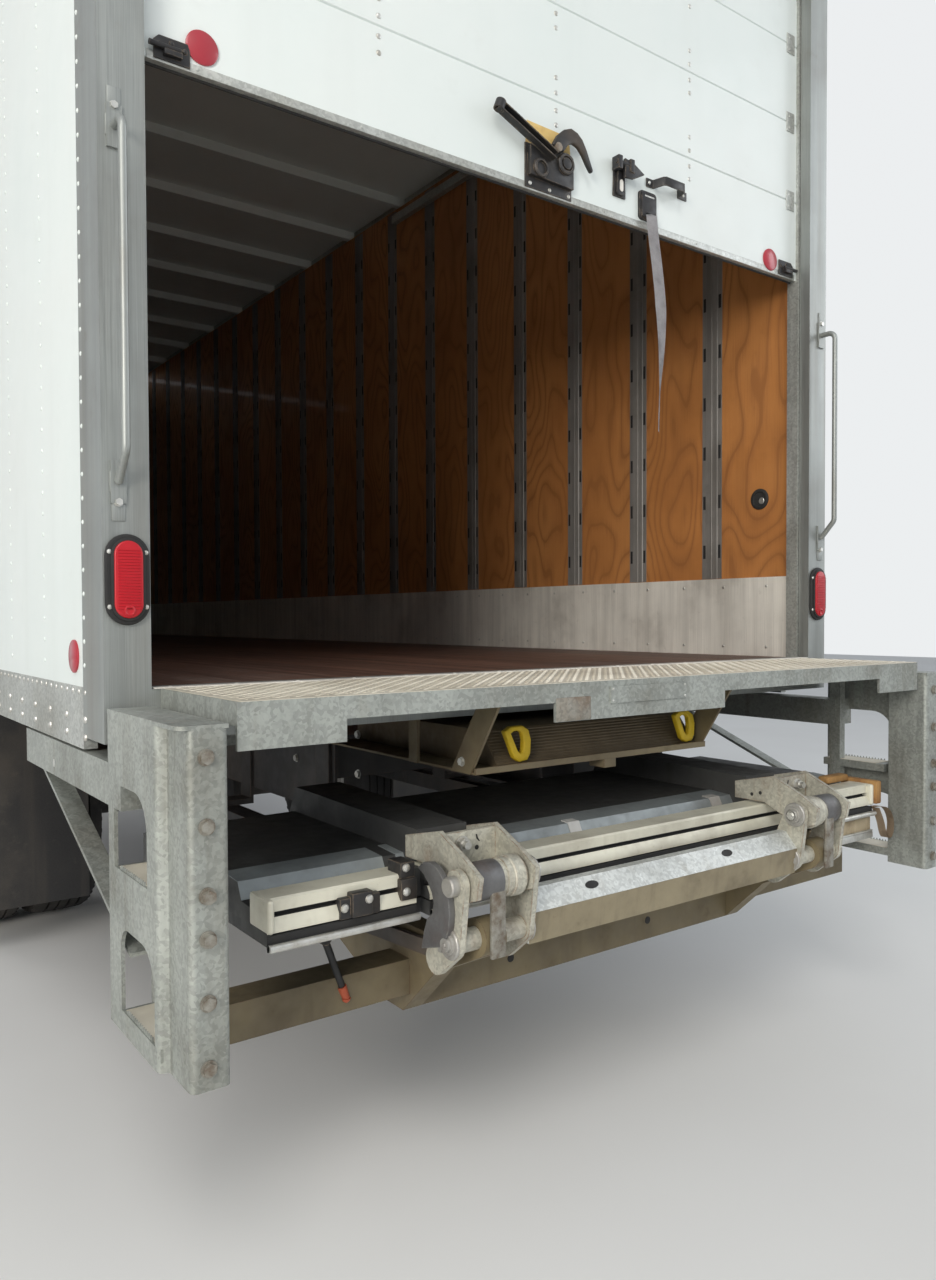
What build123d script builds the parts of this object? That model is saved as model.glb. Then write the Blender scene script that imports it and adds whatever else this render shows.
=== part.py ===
from build123d import *
import math
import os

os.makedirs("parts", exist_ok=True)

# Box truck with a slide-under tail lift. Millimetres, +Z up, front towards -Y, left side +X.
# The origin is on the ground, at the centre of the outer box.

# Whole truck
box_length = 7925
box_width = 2590
floor_height = 1250
inside_height = 2620
cab_gap = 130
bumper_to_cab_back = 2745
step_reach = 440
rear_reach = 456
front_reach = box_length + cab_gap + bumper_to_cab_back
rear_y = (front_reach - rear_reach) / 2
nose_y = rear_y - front_reach
box_front_y = rear_y - box_length
half_width = box_width / 2
ceiling_z = floor_height + inside_height

# Fits
door_gap = 5
pin_clearance = 0.08
slide_clearance = 0.3

# Box body
wall_thickness = 58
liner_thickness = 12
liner_face = half_width - wall_thickness - liner_thickness
scuff_height = 304
scuff_thickness = 6
deck_thickness = 30
cross_sill_height = 100
cross_sill_width = 45
cross_sill_spacing = 305
long_sill_width = 85
bottom_rail_height = 150
bottom_rail_thickness = 30
bottom_rail_top = 10
top_rail_height = 120
top_rail_thickness = 4
bow_depth = 50
bow_width = 40
bow_spacing = 610
roof_thickness = 25
roof_top = ceiling_z + bow_depth + roof_thickness
front_wall_thickness = 60

# Rear frame
post_width = 100
post_depth = 165
jamb_depth = 40
post_bottom = floor_height - 112
header_height = 170
header_bottom = ceiling_z - header_height
rear_sill_depth = 100
liner_end = 110

# Roll-up door
door_lift = 1380
door_height = inside_height - 150
door_thickness = 25
door_inset = 65
door_edge_gap = 10
door_half_width = half_width - post_width - door_edge_gap
door_bend = 180
panel_height = 280
groove_half = 4
groove_depth = 5
track_depth = 45
track_thickness = 28
track_length = 2600

# Chassis
frame_rail_height = 250
frame_rail_width = 85
frame_rail_steel = 9
frame_half_width = 430
frame_top = floor_height - deck_thickness - cross_sill_height - 90
frame_bottom = frame_top - frame_rail_height
frame_rear_gap = 600
frame_nose_gap = 225
crossmember_height = 130
crossmember_width = 60

# Wheels
tyre_radius = 500
tyre_width = 270
bead_radius = 286
rim_width = 230
rim_wall = 24
disc_thickness = 16
front_axle_y = nose_y + 850
rear_axle_y = rear_y - 2850
front_wheel_x = 1030
rear_outer_wheel_x = 1100
rear_inner_wheel_x = 790
kingpin_x = 940
kingpin_radius = 20
front_spindle_radius = 38
rear_spindle_radius = 45
hub_radius = 110
spring_thickness = 80
spring_width = 80


def block(x0, x1, y0, y1, z0, z1):
    """A box between two corners."""
    centre = Pos((x0 + x1) / 2, (y0 + y1) / 2, (z0 + z1) / 2)
    return centre * Box(abs(x1 - x0), abs(y1 - y0), abs(z1 - z0))


def side_face(points, x):
    """A face in the Y-Z plane at a given X, from (Y, Z) corners."""
    flat = make_face(Polyline(*points, close=True))
    return Plane(origin=(x, 0, 0), x_dir=(0, 1, 0), z_dir=(1, 0, 0)) * flat


def prism(points, x0, x1):
    """A solid across the truck, from a side outline of (Y, Z) corners."""
    return extrude(side_face(points, x0), amount=x1 - x0)


def rear_prism(points, y0, y1):
    """A solid along the truck, from an outline of (X, Z) corners seen from the rear."""
    flat = make_face(Polyline(*points, close=True))
    return extrude(Plane(origin=(0, y0, 0), x_dir=(1, 0, 0), z_dir=(0, -1, 0)) * flat, amount=y0 - y1)


def rod_x(y, z, radius, x0, x1):
    """A round bar along X."""
    return Pos((x0 + x1) / 2, y, z) * Rot(0, 90, 0) * Cylinder(radius, abs(x1 - x0))


def rod_y(x, z, radius, y0, y1):
    """A round bar along Y."""
    return Pos(x, (y0 + y1) / 2, z) * Rot(90, 0, 0) * Cylinder(radius, abs(y1 - y0))


def rod_z(x, y, radius, z0, z1):
    """A round bar along Z."""
    return Pos(x, y, (z0 + z1) / 2) * Cylinder(radius, abs(z1 - z0))


def bar(start, end, radius):
    """A round bar between two points."""
    line = Line(start, end)
    return sweep(Plane(origin=start, z_dir=line % 0) * Circle(radius), path=line)


def flat_bar(start, end, width, thickness, side=(0, 0, 1)):
    """A flat bar between two points, its width across the given side."""
    line = Line(start, end)
    section = Plane(origin=start, x_dir=Vector(side).cross(line % 0), z_dir=line % 0)
    return sweep(section * Rectangle(thickness, width), path=line)


def from_rear(points):
    """(Y, Z) corners counted from the back face of the rear frame."""
    return [(rear_y + y, z) for y, z in points]


def from_nose(points):
    """(Y, Z) corners counted from the front of the bumper."""
    return [(nose_y + y, z) for y, z in points]


def pair(shape):
    """A piece and its mirror image on the other side of the truck."""
    return [shape, mirror(shape, Plane.YZ)]


def fuse(shapes):
    """One solid from a list of shapes that touch."""
    whole = shapes[0]
    for shape in shapes[1:]:
        whole = whole + shape
    return whole


def save(name, *shapes):
    """Write one sub-part, of one or more separate solids."""
    solids = [solid for shape in shapes for solid in shape.solids()]
    export_step(solids[0] if len(solids) == 1 else Compound(solids), f"parts/{name}.step")


# Chassis frame: two channel rails and their crossmembers
def chassis_frame():
    y0 = nose_y + frame_nose_gap
    y1 = rear_y - frame_rear_gap
    web = block(frame_half_width - frame_rail_steel, frame_half_width, y0, y1, frame_bottom, frame_top)
    inner = frame_half_width - frame_rail_width
    lower = block(inner, frame_half_width, y0, y1, frame_bottom, frame_bottom + frame_rail_steel)
    upper = block(inner, frame_half_width, y0, y1, frame_top - frame_rail_steel, frame_top)
    rails = pair(web + lower + upper)
    # distance of the front crossmembers from the bumper's front, and of the others from the rear frame's back
    front_places = (240, 2150)
    rear_places = (7500, 6200, 4900, 3650, 2750, 1650, 680)
    places = [nose_y + place for place in front_places] + [rear_y - place for place in rear_places]
    z1 = frame_top - frame_rail_steel
    reach = frame_half_width - frame_rail_steel
    members = [
        block(-reach, reach, y, y + crossmember_width, z1 - crossmember_height, z1)
        for y in places
    ]
    return fuse(rails + members)


# Leaf springs with their hangers, one pack at each end of each axle
def leaf_springs():
    # axle's Y, top of the axle, half length of the spring
    springs = ((front_axle_y, front_beam_top, 560), (rear_axle_y, rear_tube_top, 720))
    x1 = frame_half_width
    x0 = x1 - spring_width
    packs = []
    for axle_y, seat_z, half_length in springs:
        top = seat_z + spring_thickness
        pack = prism(
            [
                (axle_y - half_length, seat_z + 50),
                (axle_y - 130, seat_z),
                (axle_y + 130, seat_z),
                (axle_y + half_length, seat_z + 50),
                (axle_y + half_length, top),
                (axle_y + 130, top + 10),
                (axle_y - 130, top + 10),
                (axle_y - half_length, top),
            ],
            x0,
            x1,
        )
        hangers = [
            block(x0, x1, y - 35, y + 35, top - 20, frame_bottom)
            for y in (axle_y - half_length + 45, axle_y + half_length - 45)
        ]
        packs += pair(fuse([pack] + hangers))
    return packs


front_beam_half = 60
front_beam_top = tyre_radius + front_beam_half
rear_tube_radius = 70
rear_tube_top = tyre_radius + rear_tube_radius
boss_radius = 35
boss_half_height = 80
yoke_gap = 6
yoke_ear = 25
spindle_end_x = 1120
rear_spindle_end_x = 1150
differential_radius = 215
rear_hub_x = 640
rear_disc_x = 929


def front_axle():
    beam = block(-kingpin_x, kingpin_x, front_axle_y - 45, front_axle_y + 45, tyre_radius - 60, front_beam_top)
    z0 = tyre_radius - boss_half_height
    z1 = tyre_radius + boss_half_height
    bosses = pair(rod_z(kingpin_x, front_axle_y, boss_radius, z0, z1))
    bores = pair(rod_z(kingpin_x, front_axle_y, kingpin_radius + pin_clearance, z0, z1))
    return fuse([beam] + bosses) - bores


def knuckle():
    ear_top = tyre_radius + boss_half_height + yoke_gap + yoke_ear
    ear_bottom = 2 * tyre_radius - ear_top
    plate_x = kingpin_x + boss_radius + 12
    plate = block(plate_x, plate_x + 25, front_axle_y - 50, front_axle_y + 50, ear_bottom, ear_top)
    ears = [
        block(kingpin_x, plate_x, front_axle_y - 32, front_axle_y + 32, z, z + yoke_ear)
        + rod_z(kingpin_x, front_axle_y, 32, z, z + yoke_ear)
        for z in (ear_bottom, ear_top - yoke_ear)
    ]
    kingpin = rod_z(kingpin_x, front_axle_y, kingpin_radius, ear_bottom, ear_top)
    spindle = rod_x(front_axle_y, tyre_radius, front_spindle_radius, plate_x, spindle_end_x)
    return fuse([plate, kingpin, spindle] + ears)


def rear_axle():
    tube = rod_x(rear_axle_y, tyre_radius, rear_tube_radius, -rear_hub_x, rear_hub_x)
    drum = rod_x(rear_axle_y, tyre_radius, differential_radius, -120, 120)
    bowl = chamfer(drum.edges(), 50)
    spindles = pair(rod_x(rear_axle_y, tyre_radius, rear_spindle_radius, rear_hub_x - 5, rear_spindle_end_x))
    return fuse([tube, bowl] + spindles)



# Tyres and rims, turned about the axle's line
def turned(axle_y, outline):
    """A ring about an axle, from (X, radius) corners."""
    flat = make_face(Polyline(*outline, close=True))
    section = Plane(origin=(0, axle_y, tyre_radius), x_dir=(1, 0, 0), z_dir=(0, -1, 0)) * flat
    return revolve(section, axis=Axis((0, axle_y, tyre_radius), (1, 0, 0)))


def tyre(wheel_x, axle_y):
    half = tyre_width / 2
    # distance from the middle of the tyre, radius
    section = (
        (half - 25, bead_radius),
        (half - 3, bead_radius + 55),
        (half, bead_radius + 105),
        (half - 8, tyre_radius - 45),
        (half - 24, tyre_radius - 12),
        (half - 45, tyre_radius),
    )
    right = [(wheel_x + x, radius) for x, radius in section]
    left = [(wheel_x - x, radius) for x, radius in reversed(section)]
    return turned(axle_y, right + left)


def rim(wheel_x, axle_y, disc_x):
    half = rim_width / 2
    barrel = turned(
        axle_y,
        [
            (wheel_x - half, bead_radius - rim_wall),
            (wheel_x - half, bead_radius),
            (wheel_x + half, bead_radius),
            (wheel_x + half, bead_radius - rim_wall),
        ],
    )
    disc = rod_x(axle_y, tyre_radius, bead_radius - rim_wall / 2, disc_x, disc_x + disc_thickness)
    hand_holes = [
        Pos(disc_x, axle_y, tyre_radius)
        * Rot(angle, 0, 0)
        * Pos(disc_thickness / 2, 0, 195)
        * Rot(0, 90, 0)
        * Cylinder(32, disc_thickness * 3)
        for angle in range(0, 360, 36)
    ]
    return barrel + (disc - hand_holes)


def front_wheel():
    """The left front tyre and its rim with the hub."""
    hub_x0 = kingpin_x + boss_radius + 12 + 25 + 3
    hub = rod_x(front_axle_y, tyre_radius, hub_radius, hub_x0, spindle_end_x + 30)
    bore = rod_x(front_axle_y, tyre_radius, front_spindle_radius + pin_clearance, hub_x0, spindle_end_x + 5)
    rims = rim(front_wheel_x, front_axle_y, front_wheel_x + 55) + hub
    return tyre(front_wheel_x, front_axle_y), rims - bore


def rear_wheels():
    """The left pair of rear tyres and their rims with the hub and drum."""
    tyres = [tyre(x, rear_axle_y) for x in (rear_inner_wheel_x, rear_outer_wheel_x)]
    hub = rod_x(rear_axle_y, tyre_radius, hub_radius, rear_hub_x + 3, rear_spindle_end_x + 35)
    drum = rod_x(rear_axle_y, tyre_radius, 205, rear_hub_x + 40, rear_disc_x)
    inner = rim(rear_inner_wheel_x, rear_axle_y, rear_disc_x)
    outer = rim(rear_outer_wheel_x, rear_axle_y, rear_disc_x + disc_thickness)
    tie = turned(
        rear_axle_y,
        [
            (rear_inner_wheel_x + rim_width / 2, bead_radius - rim_wall),
            (rear_inner_wheel_x + rim_width / 2, bead_radius - 4),
            (rear_outer_wheel_x - rim_width / 2, bead_radius - 4),
            (rear_outer_wheel_x - rim_width / 2, bead_radius - rim_wall),
        ],
    )
    bore = rod_x(rear_axle_y, tyre_radius, rear_spindle_radius + pin_clearance, rear_hub_x, rear_spindle_end_x + 5)
    return tyres, fuse([inner, outer, tie, hub, drum]) - bore



# Engine, gearbox and propeller shaft, as plain masses
def engine_block():
    return block(-330, 330, nose_y + 420, nose_y + 1370, 640, 1450)


def drivetrain():
    gearbox = block(-180, 180, nose_y + 1370, nose_y + 2050, 640, 900)
    shaft = bar((0, nose_y + 2040, 730), (0, rear_axle_y - differential_radius - 0.5, tyre_radius), 50)
    return gearbox + shaft


# Side tanks, each hung on one frame rail and carrying the cab steps
tank_y0 = nose_y + 1520
tank_y1 = nose_y + 2680
tank_outer_x = 1130


def fuel_tank():
    body = block(frame_half_width + 40, tank_outer_x - 120, tank_y0, tank_y1, 480, 1010)
    body = fillet(body.edges().filter_by(Axis.Y), 120)
    brackets = [
        block(frame_half_width, frame_half_width + 50, y, y + 60, 640, 900) for y in (tank_y0 + 150, tank_y1 - 210)
    ]
    treads = [block(tank_outer_x - 125, tank_outer_x, tank_y0 + 60, tank_y1 - 500, z, z + 30) for z in (520, 840)]
    risers = [
        block(tank_outer_x - 30, tank_outer_x - 20, y, y + 40, 540, 850) for y in (tank_y0 + 80, tank_y1 - 560)
    ]
    return fuse([body] + brackets + treads + risers)


def battery_box():
    body = block(-(tank_outer_x - 120), -(frame_half_width + 40), tank_y0, tank_y1 - 350, 500, 1000)
    bracket = block(-(frame_half_width + 50), -frame_half_width, tank_y0 + 150, tank_y1 - 560, 640, 900)
    treads = [block(-tank_outer_x, -(tank_outer_x - 125), tank_y0 + 60, tank_y1 - 500, z, z + 30) for z in (520, 840)]
    risers = [
        block(-(tank_outer_x - 20), -(tank_outer_x - 30), y, y + 40, 540, 850)
        for y in (tank_y0 + 80, tank_y1 - 560)
    ]
    return fuse([body, bracket] + treads + risers)


def exhaust():
    y0 = nose_y + 3050
    silencer = rod_y(-720, 720, 150, y0, y0 + 1100)
    pipe = rod_y(-720, 720, 55, y0 - 500, y0 + 1700)
    straps = [block(-720, -frame_half_width, y, y + 50, 830, 850) for y in (y0 + 200, y0 + 850)]
    return fuse([silencer, pipe] + straps)


# Cab. Heights and places along the truck, from the front of the bumper
cab_half_width = 1020
cab_wall = 45
cab_floor_z = 1130
cab_roof_z = 2680
cowl_z = 1880
windscreen_base_y = 1400
windscreen_top_y = 1690
windscreen_top_z = 2600
cab_back_y = bumper_to_cab_back
cab_corner = 60
glass_thickness = 6
cab_outline = (
    (windscreen_base_y, cab_floor_z),
    (cab_back_y, cab_floor_z),
    (cab_back_y, windscreen_top_z),
    (cab_back_y - 70, cab_roof_z),
    (windscreen_top_y + 90, cab_roof_z),
    (windscreen_top_y, windscreen_top_z),
    (windscreen_base_y, cowl_z),
)
door_outline = ((1500, 1180), (2500, 1180), (2500, 2520), (1790, 2520), (1530, 1900), (1500, 1840))
door_window = ((1590, 1930), (2430, 1930), (2430, 2450), (1830, 2450), (1615, 1950))
hinge_x = cab_half_width + 16
hinge_pin_radius = 8
hinge_knuckle_radius = 14
hinge_heights = (1330, 1780)
hinge_knuckle = 50
hinge_play = 2


def inset_face(points, x, distance):
    """A side face grown or, for a negative distance, shrunk all round."""
    flat = make_face(Polyline(*points, close=True))
    return Plane(origin=(x, 0, 0), x_dir=(0, 1, 0), z_dir=(1, 0, 0)) * offset(flat, amount=distance, kind=Kind.INTERSECTION)


def slope_strip(low, high, outer, inner):
    """A strip beside the windscreen's slope, between two depths below it."""
    run = Vector(windscreen_top_y - windscreen_base_y, windscreen_top_z - cowl_z).normalized()
    inward = Vector(run.Y, -run.X)
    start = Vector(windscreen_base_y, cowl_z)
    corners = [
        start + run * low + inward * outer,
        start + run * low + inward * inner,
        start + run * high + inward * inner,
        start + run * high + inward * outer,
    ]
    return from_nose([(corner.X, corner.Y) for corner in corners])


screen_low = 50
screen_high = 700
screen_half_width = 900
rear_window = (450, 1950, 2380)


def cab_shell():
    outer = prism(from_nose(cab_outline), -cab_half_width, cab_half_width)
    rounded = [
        edge
        for face in (outer.faces().sort_by(Axis.X)[0], outer.faces().sort_by(Axis.X)[-1])
        for edge in face.edges()
        if edge.center().Z > windscreen_top_z - 40
    ]
    outer = fillet(rounded, cab_corner)
    inner_face = inset_face(from_nose(cab_outline), -(cab_half_width - cab_wall), -cab_wall)
    room = extrude(inner_face, amount=2 * (cab_half_width - cab_wall))
    screen = prism(slope_strip(screen_low, screen_high, -30, cab_wall + 30), -screen_half_width, screen_half_width)
    half, low, high = rear_window
    back = block(-half, half, nose_y + cab_back_y - cab_wall - 5, nose_y + cab_back_y + 5, low, high)
    opening = extrude(
        inset_face(from_nose(door_outline), cab_half_width - cab_wall - 5, door_gap), amount=cab_wall + 10
    )
    mounts = [
        block(x - 45, x + 45, nose_y + y, nose_y + y + 90, frame_top, cab_floor_z)
        for x in (-385, 385)
        for y in (windscreen_base_y + 120, cab_back_y - 200)
    ]
    hinges = [piece for hinge in cab_hinges() for piece in pair(hinge)]
    return fuse([outer - room - screen - back - pair(opening)] + mounts + hinges)


def cab_glass():
    screen = prism(slope_strip(screen_low, screen_high, 12, 12 + glass_thickness), -screen_half_width, screen_half_width)
    half, low, high = rear_window
    y = nose_y + cab_back_y - cab_wall / 2
    return screen, block(-half, half, y, y + glass_thickness, low, high)


# Steering wheel's centre and the way it faces
wheel_hub = Vector(400, nose_y + windscreen_base_y + cab_wall + 470, 1850)
wheel_facing = Vector(0, 190, 110).normalized()


def dashboard():
    front = windscreen_base_y + cab_wall
    face = [
        (front, 1560),
        (front + 250, 1600),
        (front + 330, 1700),
        (front + 300, 1840),
        (front + 60, 1860),
        (front, 1800),
    ]
    board = prism(from_nose(face), -(cab_half_width - cab_wall), cab_half_width - cab_wall)
    column = bar(wheel_hub - wheel_facing * 300, wheel_hub - wheel_facing * 15, 28)
    return board + column



def steering_wheel():
    plane = Plane(origin=wheel_hub, z_dir=wheel_facing)
    ring = plane * Torus(215, 16)
    boss = plane * Cylinder(50, 30)
    spokes = [plane * Rot(0, 0, angle) * Pos(108, 0, 0) * Box(216, 34, 14) for angle in (30, 150, 270)]
    return fuse([ring, boss] + spokes)


def seats():
    """The driver's seat and the wider passenger seat."""
    made = []
    for x0, x1 in ((180, 640), (-800, 60)):
        base = block(x0 + 40, x1 - 40, nose_y + 2030, nose_y + 2440, cab_floor_z + cab_wall, 1480)
        cushion = block(x0, x1, nose_y + 1950, nose_y + 2480, 1480, 1600)
        back = prism(
            from_nose([(2400, 1580), (2500, 2180), (2590, 2180), (2520, 1560)]), x0 + 10, x1 - 10
        )
        made.append(fuse([base, cushion, back]))
    return made


def door_panel():
    """The left door, as thick as the cab's wall, with its mirror."""
    panel = prism(from_nose(door_outline), cab_half_width - cab_wall, cab_half_width)
    window = prism(from_nose(door_window), cab_half_width - cab_wall - 5, cab_half_width + 5)
    arms = [rod_x(nose_y + 1620, z, 12, cab_half_width - 5, 1200) for z in (1760, 1860)]
    head = block(1140, 1340, nose_y + 1590, nose_y + 1655, 1720, 2240)
    head = fillet(head.edges().filter_by(Axis.Y), 30)
    handle = block(cab_half_width, cab_half_width + 25, nose_y + 2330, nose_y + 2450, 1790, 1820)
    return fuse([panel - window, handle, head] + arms + door_hinges())


def cab_hinges():
    """The left door's hinge pins, each between two knuckles on the cab."""
    y = nose_y + door_outline[0][0]
    made = []
    for z in hinge_heights:
        low = z - hinge_play - 30
        high = z + hinge_knuckle + hinge_play + 30
        made.append(rod_z(hinge_x, y, hinge_pin_radius, low, high))
        for z0, z1 in ((low, low + 30), (high - 30, high)):
            made.append(rod_z(hinge_x, y, hinge_knuckle_radius, z0, z1))
            made.append(block(cab_half_width, cab_half_width + 6, y - 70, y - 8, z0, z1))
            made.append(block(cab_half_width + 2, cab_half_width + 8, y - 20, y, z0, z1))
    return made


def door_hinges():
    """The left door's knuckles, bored for the cab's pins."""
    y = nose_y + door_outline[0][0]
    made = []
    for z in hinge_heights:
        knuckle_ring = rod_z(hinge_x, y, hinge_knuckle_radius, z, z + hinge_knuckle)
        leaf = block(cab_half_width, cab_half_width + 6, y + 5, y + 70, z, z + hinge_knuckle)
        arm = block(cab_half_width + 2, cab_half_width + 8, y, y + 20, z, z + hinge_knuckle)
        bore = rod_z(hinge_x, y, hinge_pin_radius + pin_clearance, z - 5, z + hinge_knuckle + 5)
        made.append(fuse([knuckle_ring, leaf, arm]) - bore)
    return made


def door_glass():
    middle = cab_half_width - cab_wall / 2
    return prism(from_nose(door_window), middle, middle + glass_thickness)


# Bonnet with both wings, tilting forwards about a low front axis
hood_skin = 25
hood_half_width = 600
wing_outer_x = 1170
hood_rear = 1380
hood_front = 150
wing_front = 190
arch_radius = 600
hood_pivot_y = 200
hood_pivot_z = 720
hood_pin_radius = 12
hood_ear_x = (450, 465)
grille_half_width = 480
grille_low = 840
grille_high = 1460
lamp_low = 960
lamp_high = 1130
lamp_inner_x = 740
lamp_outer_x = 1090


def hood_shell():
    hood_side = (
        (hood_front, 760),
        (hood_front, 1490),
        (hood_front + 50, 1590),
        (hood_front + 150, 1650),
        (hood_rear, 1860),
        (hood_rear, 760),
    )
    inside = (
        (hood_front + hood_skin, 700),
        (hood_front + hood_skin, 1480),
        (hood_front + 70, 1570),
        (hood_front + 160, 1625),
        (hood_rear + 30, 1838),
        (hood_rear + 30, 700),
    )
    body = prism(from_nose(hood_side), -hood_half_width, hood_half_width)
    top_edges = [edge for edge in body.edges().filter_by(Axis.X, reverse=True) if edge.center().Z > 1600]
    side_edges = [edge for edge in top_edges if abs(abs(edge.center().X) - hood_half_width) < 1]
    body = chamfer(side_edges, 60)
    skin = hood_half_width - hood_skin
    body = body - prism(from_nose(inside), -skin, skin)
    wing_side = (
        (wing_front, 760),
        (wing_front, 1190),
        (wing_front + 70, 1290),
        (hood_rear, 1390),
        (hood_rear, 850),
        (wing_front + 400, 850),
        (wing_front + 400, 760),
    )
    wing_inside = (
        (wing_front + hood_skin, 700),
        (wing_front + hood_skin, 1180),
        (wing_front + 82, 1264),
        (hood_rear + 30, 1366),
        (hood_rear + 30, 700),
    )
    wing = prism(from_nose(wing_side), hood_half_width, wing_outer_x)
    wing = fillet(wing.faces().sort_by(Axis.X)[-1].edges().filter_by(lambda edge: edge.center().Z > 1200), 50)
    wing = wing - prism(from_nose(wing_inside), hood_half_width, wing_outer_x - hood_skin)
    wing = wing - rod_x(front_axle_y, tyre_radius, arch_radius, hood_half_width, wing_outer_x + 5)
    lamp_hole = block(
        lamp_inner_x, lamp_outer_x, nose_y + wing_front - 5, nose_y + wing_front + hood_skin + 5, lamp_low, lamp_high
    )
    wing = wing - lamp_hole
    opening = block(
        -grille_half_width, grille_half_width, nose_y + hood_front - 5, nose_y + hood_front + hood_skin + 5,
        grille_low, grille_high,
    )
    x0, x1 = hood_ear_x
    ear = block(x0, x1, nose_y + hood_front + hood_skin, nose_y + hood_pivot_y + 12, hood_pivot_z, 800)
    ear = ear + rod_x(nose_y + hood_pivot_y, hood_pivot_z, 22, x0, x1)
    ear = ear - rod_x(nose_y + hood_pivot_y, hood_pivot_z, hood_pin_radius + pin_clearance, x0 - 5, x1 + 5)
    return fuse([body - opening] + pair(wing) + pair(ear))


def grille():
    """A frame with level bars, set in the bonnet's front opening."""
    y0 = nose_y + hood_front - 12
    y1 = nose_y + hood_front + hood_skin
    frame = block(-grille_half_width, grille_half_width, y0, y1, grille_low, grille_high)
    border = 35
    frame = frame - block(
        -grille_half_width + border, grille_half_width - border, y0 - 5, y1 + 5, grille_low + border, grille_high - border
    )
    bar_count = 6
    step = (grille_high - grille_low - 2 * border) / (bar_count + 1)
    bars = [
        block(-grille_half_width + border, grille_half_width - border, y0 + 5, y1, z - 18, z + 18)
        for z in (grille_low + border + step * (number + 1) for number in range(bar_count))
    ]
    return fuse([frame] + bars)


def headlamps():
    lamp = block(
        lamp_inner_x, lamp_outer_x, nose_y + wing_front - 10, nose_y + wing_front + hood_skin + 25, lamp_low, lamp_high
    )
    return pair(fillet(lamp.faces().sort_by(Axis.Y)[0].edges(), 8))


bumper_low = 400
bumper_high = 680
bumper_depth = 110
bumper_half_width = 1190
tow_bore_radius = 22
tow_eye_thickness = 25


def front_bumper():
    face = block(-bumper_half_width, bumper_half_width, nose_y, nose_y + bumper_depth, bumper_low, bumper_high)
    corners = [edge for edge in face.edges().filter_by(Axis.Z) if edge.center().Y < nose_y + 5]
    face = fillet(corners, 90)
    stay_x = frame_half_width - 80
    low_stay = block(stay_x, frame_half_width, nose_y + bumper_depth, nose_y + 285, 600, bumper_high)
    high_stay = block(stay_x, frame_half_width, nose_y + frame_nose_gap, nose_y + 285, bumper_high, frame_bottom)
    lug = block(frame_half_width, frame_half_width + 12, nose_y + hood_pivot_y - 22, nose_y + hood_pivot_y + 22,
                600, hood_pivot_z)
    lug = lug + rod_x(nose_y + hood_pivot_y, hood_pivot_z, 22, frame_half_width, frame_half_width + 12)
    hood_pin = rod_x(nose_y + hood_pivot_y, hood_pivot_z, hood_pin_radius, frame_half_width, hood_ear_x[1] + 8)
    stays = pair(fuse([low_stay, high_stay, lug, hood_pin]))
    eyes = pair(tow_eye())
    return fuse([face] + stays + eyes)


def tow_eye():
    x0 = 560
    eye = block(x0, x0 + tow_eye_thickness, nose_y + 40, nose_y + 100, 300, bumper_low)
    eye = eye + rod_x(nose_y + 70, 300, 45, x0, x0 + tow_eye_thickness)
    return eye - rod_x(nose_y + 70, 300, tow_bore_radius, x0 - 5, x0 + tow_eye_thickness + 5)


# Box body
def box_floor():
    """The deck with its cross sills and the two long sills on the frame."""
    y0 = box_front_y + front_wall_thickness
    y1 = rear_y - rear_sill_depth
    deck_bottom = floor_height - deck_thickness
    sill_bottom = deck_bottom - cross_sill_height
    deck = block(-liner_face, liner_face, y0, y1, deck_bottom, floor_height)
    side = half_width - bottom_rail_thickness
    count = int((y1 - y0 - cross_sill_width) // cross_sill_spacing) + 1
    sills = [
        block(-side, side, y0 + i * cross_sill_spacing, y0 + i * cross_sill_spacing + cross_sill_width,
              sill_bottom, deck_bottom)
        for i in range(count)
    ]
    long_sills = pair(
        block(frame_half_width - long_sill_width, frame_half_width, y0, rear_y - frame_rear_gap, frame_top, sill_bottom)
    )
    return fuse([deck] + sills + long_sills)


def side_walls():
    wall = block(half_width - wall_thickness, half_width, box_front_y, rear_y - post_depth, floor_height, ceiling_z)
    return pair(wall)


def front_wall():
    inner = half_width - wall_thickness
    return block(-inner, inner, box_front_y, box_front_y + front_wall_thickness, floor_height, ceiling_z)


def box_roof():
    """The roof sheet and the bows under it."""
    sheet = block(-half_width, half_width, box_front_y, rear_y - post_depth, roof_top - roof_thickness, roof_top)
    first = rear_y - post_depth - 200
    inner = half_width - top_rail_thickness - 40
    count = int((first - box_front_y - 100) // bow_spacing) + 1
    bows = [
        block(-inner, inner, first - i * bow_spacing - bow_width, first - i * bow_spacing,
              ceiling_z, roof_top - roof_thickness)
        for i in range(count)
    ]
    return fuse([sheet] + bows)


def side_rails():
    """The bottom and top rails along both sides of the box."""
    low = floor_height + bottom_rail_top - bottom_rail_height
    bottom = block(
        half_width - bottom_rail_thickness, half_width, box_front_y, rear_y - post_depth, low, floor_height
    )
    inner = half_width - top_rail_thickness - 40
    top = block(inner, half_width, box_front_y, rear_y - post_depth, ceiling_z, roof_top - roof_thickness)
    return pair(bottom) + pair(top)


def plywood_liners():
    y0 = box_front_y + front_wall_thickness
    return pair(block(liner_face, liner_face + liner_thickness, y0, rear_y - liner_end, floor_height, ceiling_z))


def scuff_plates():
    y0 = box_front_y + front_wall_thickness
    return pair(
        block(liner_face - scuff_thickness, liner_face, y0, rear_y - liner_end, floor_height, floor_height + scuff_height)
    )


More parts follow.
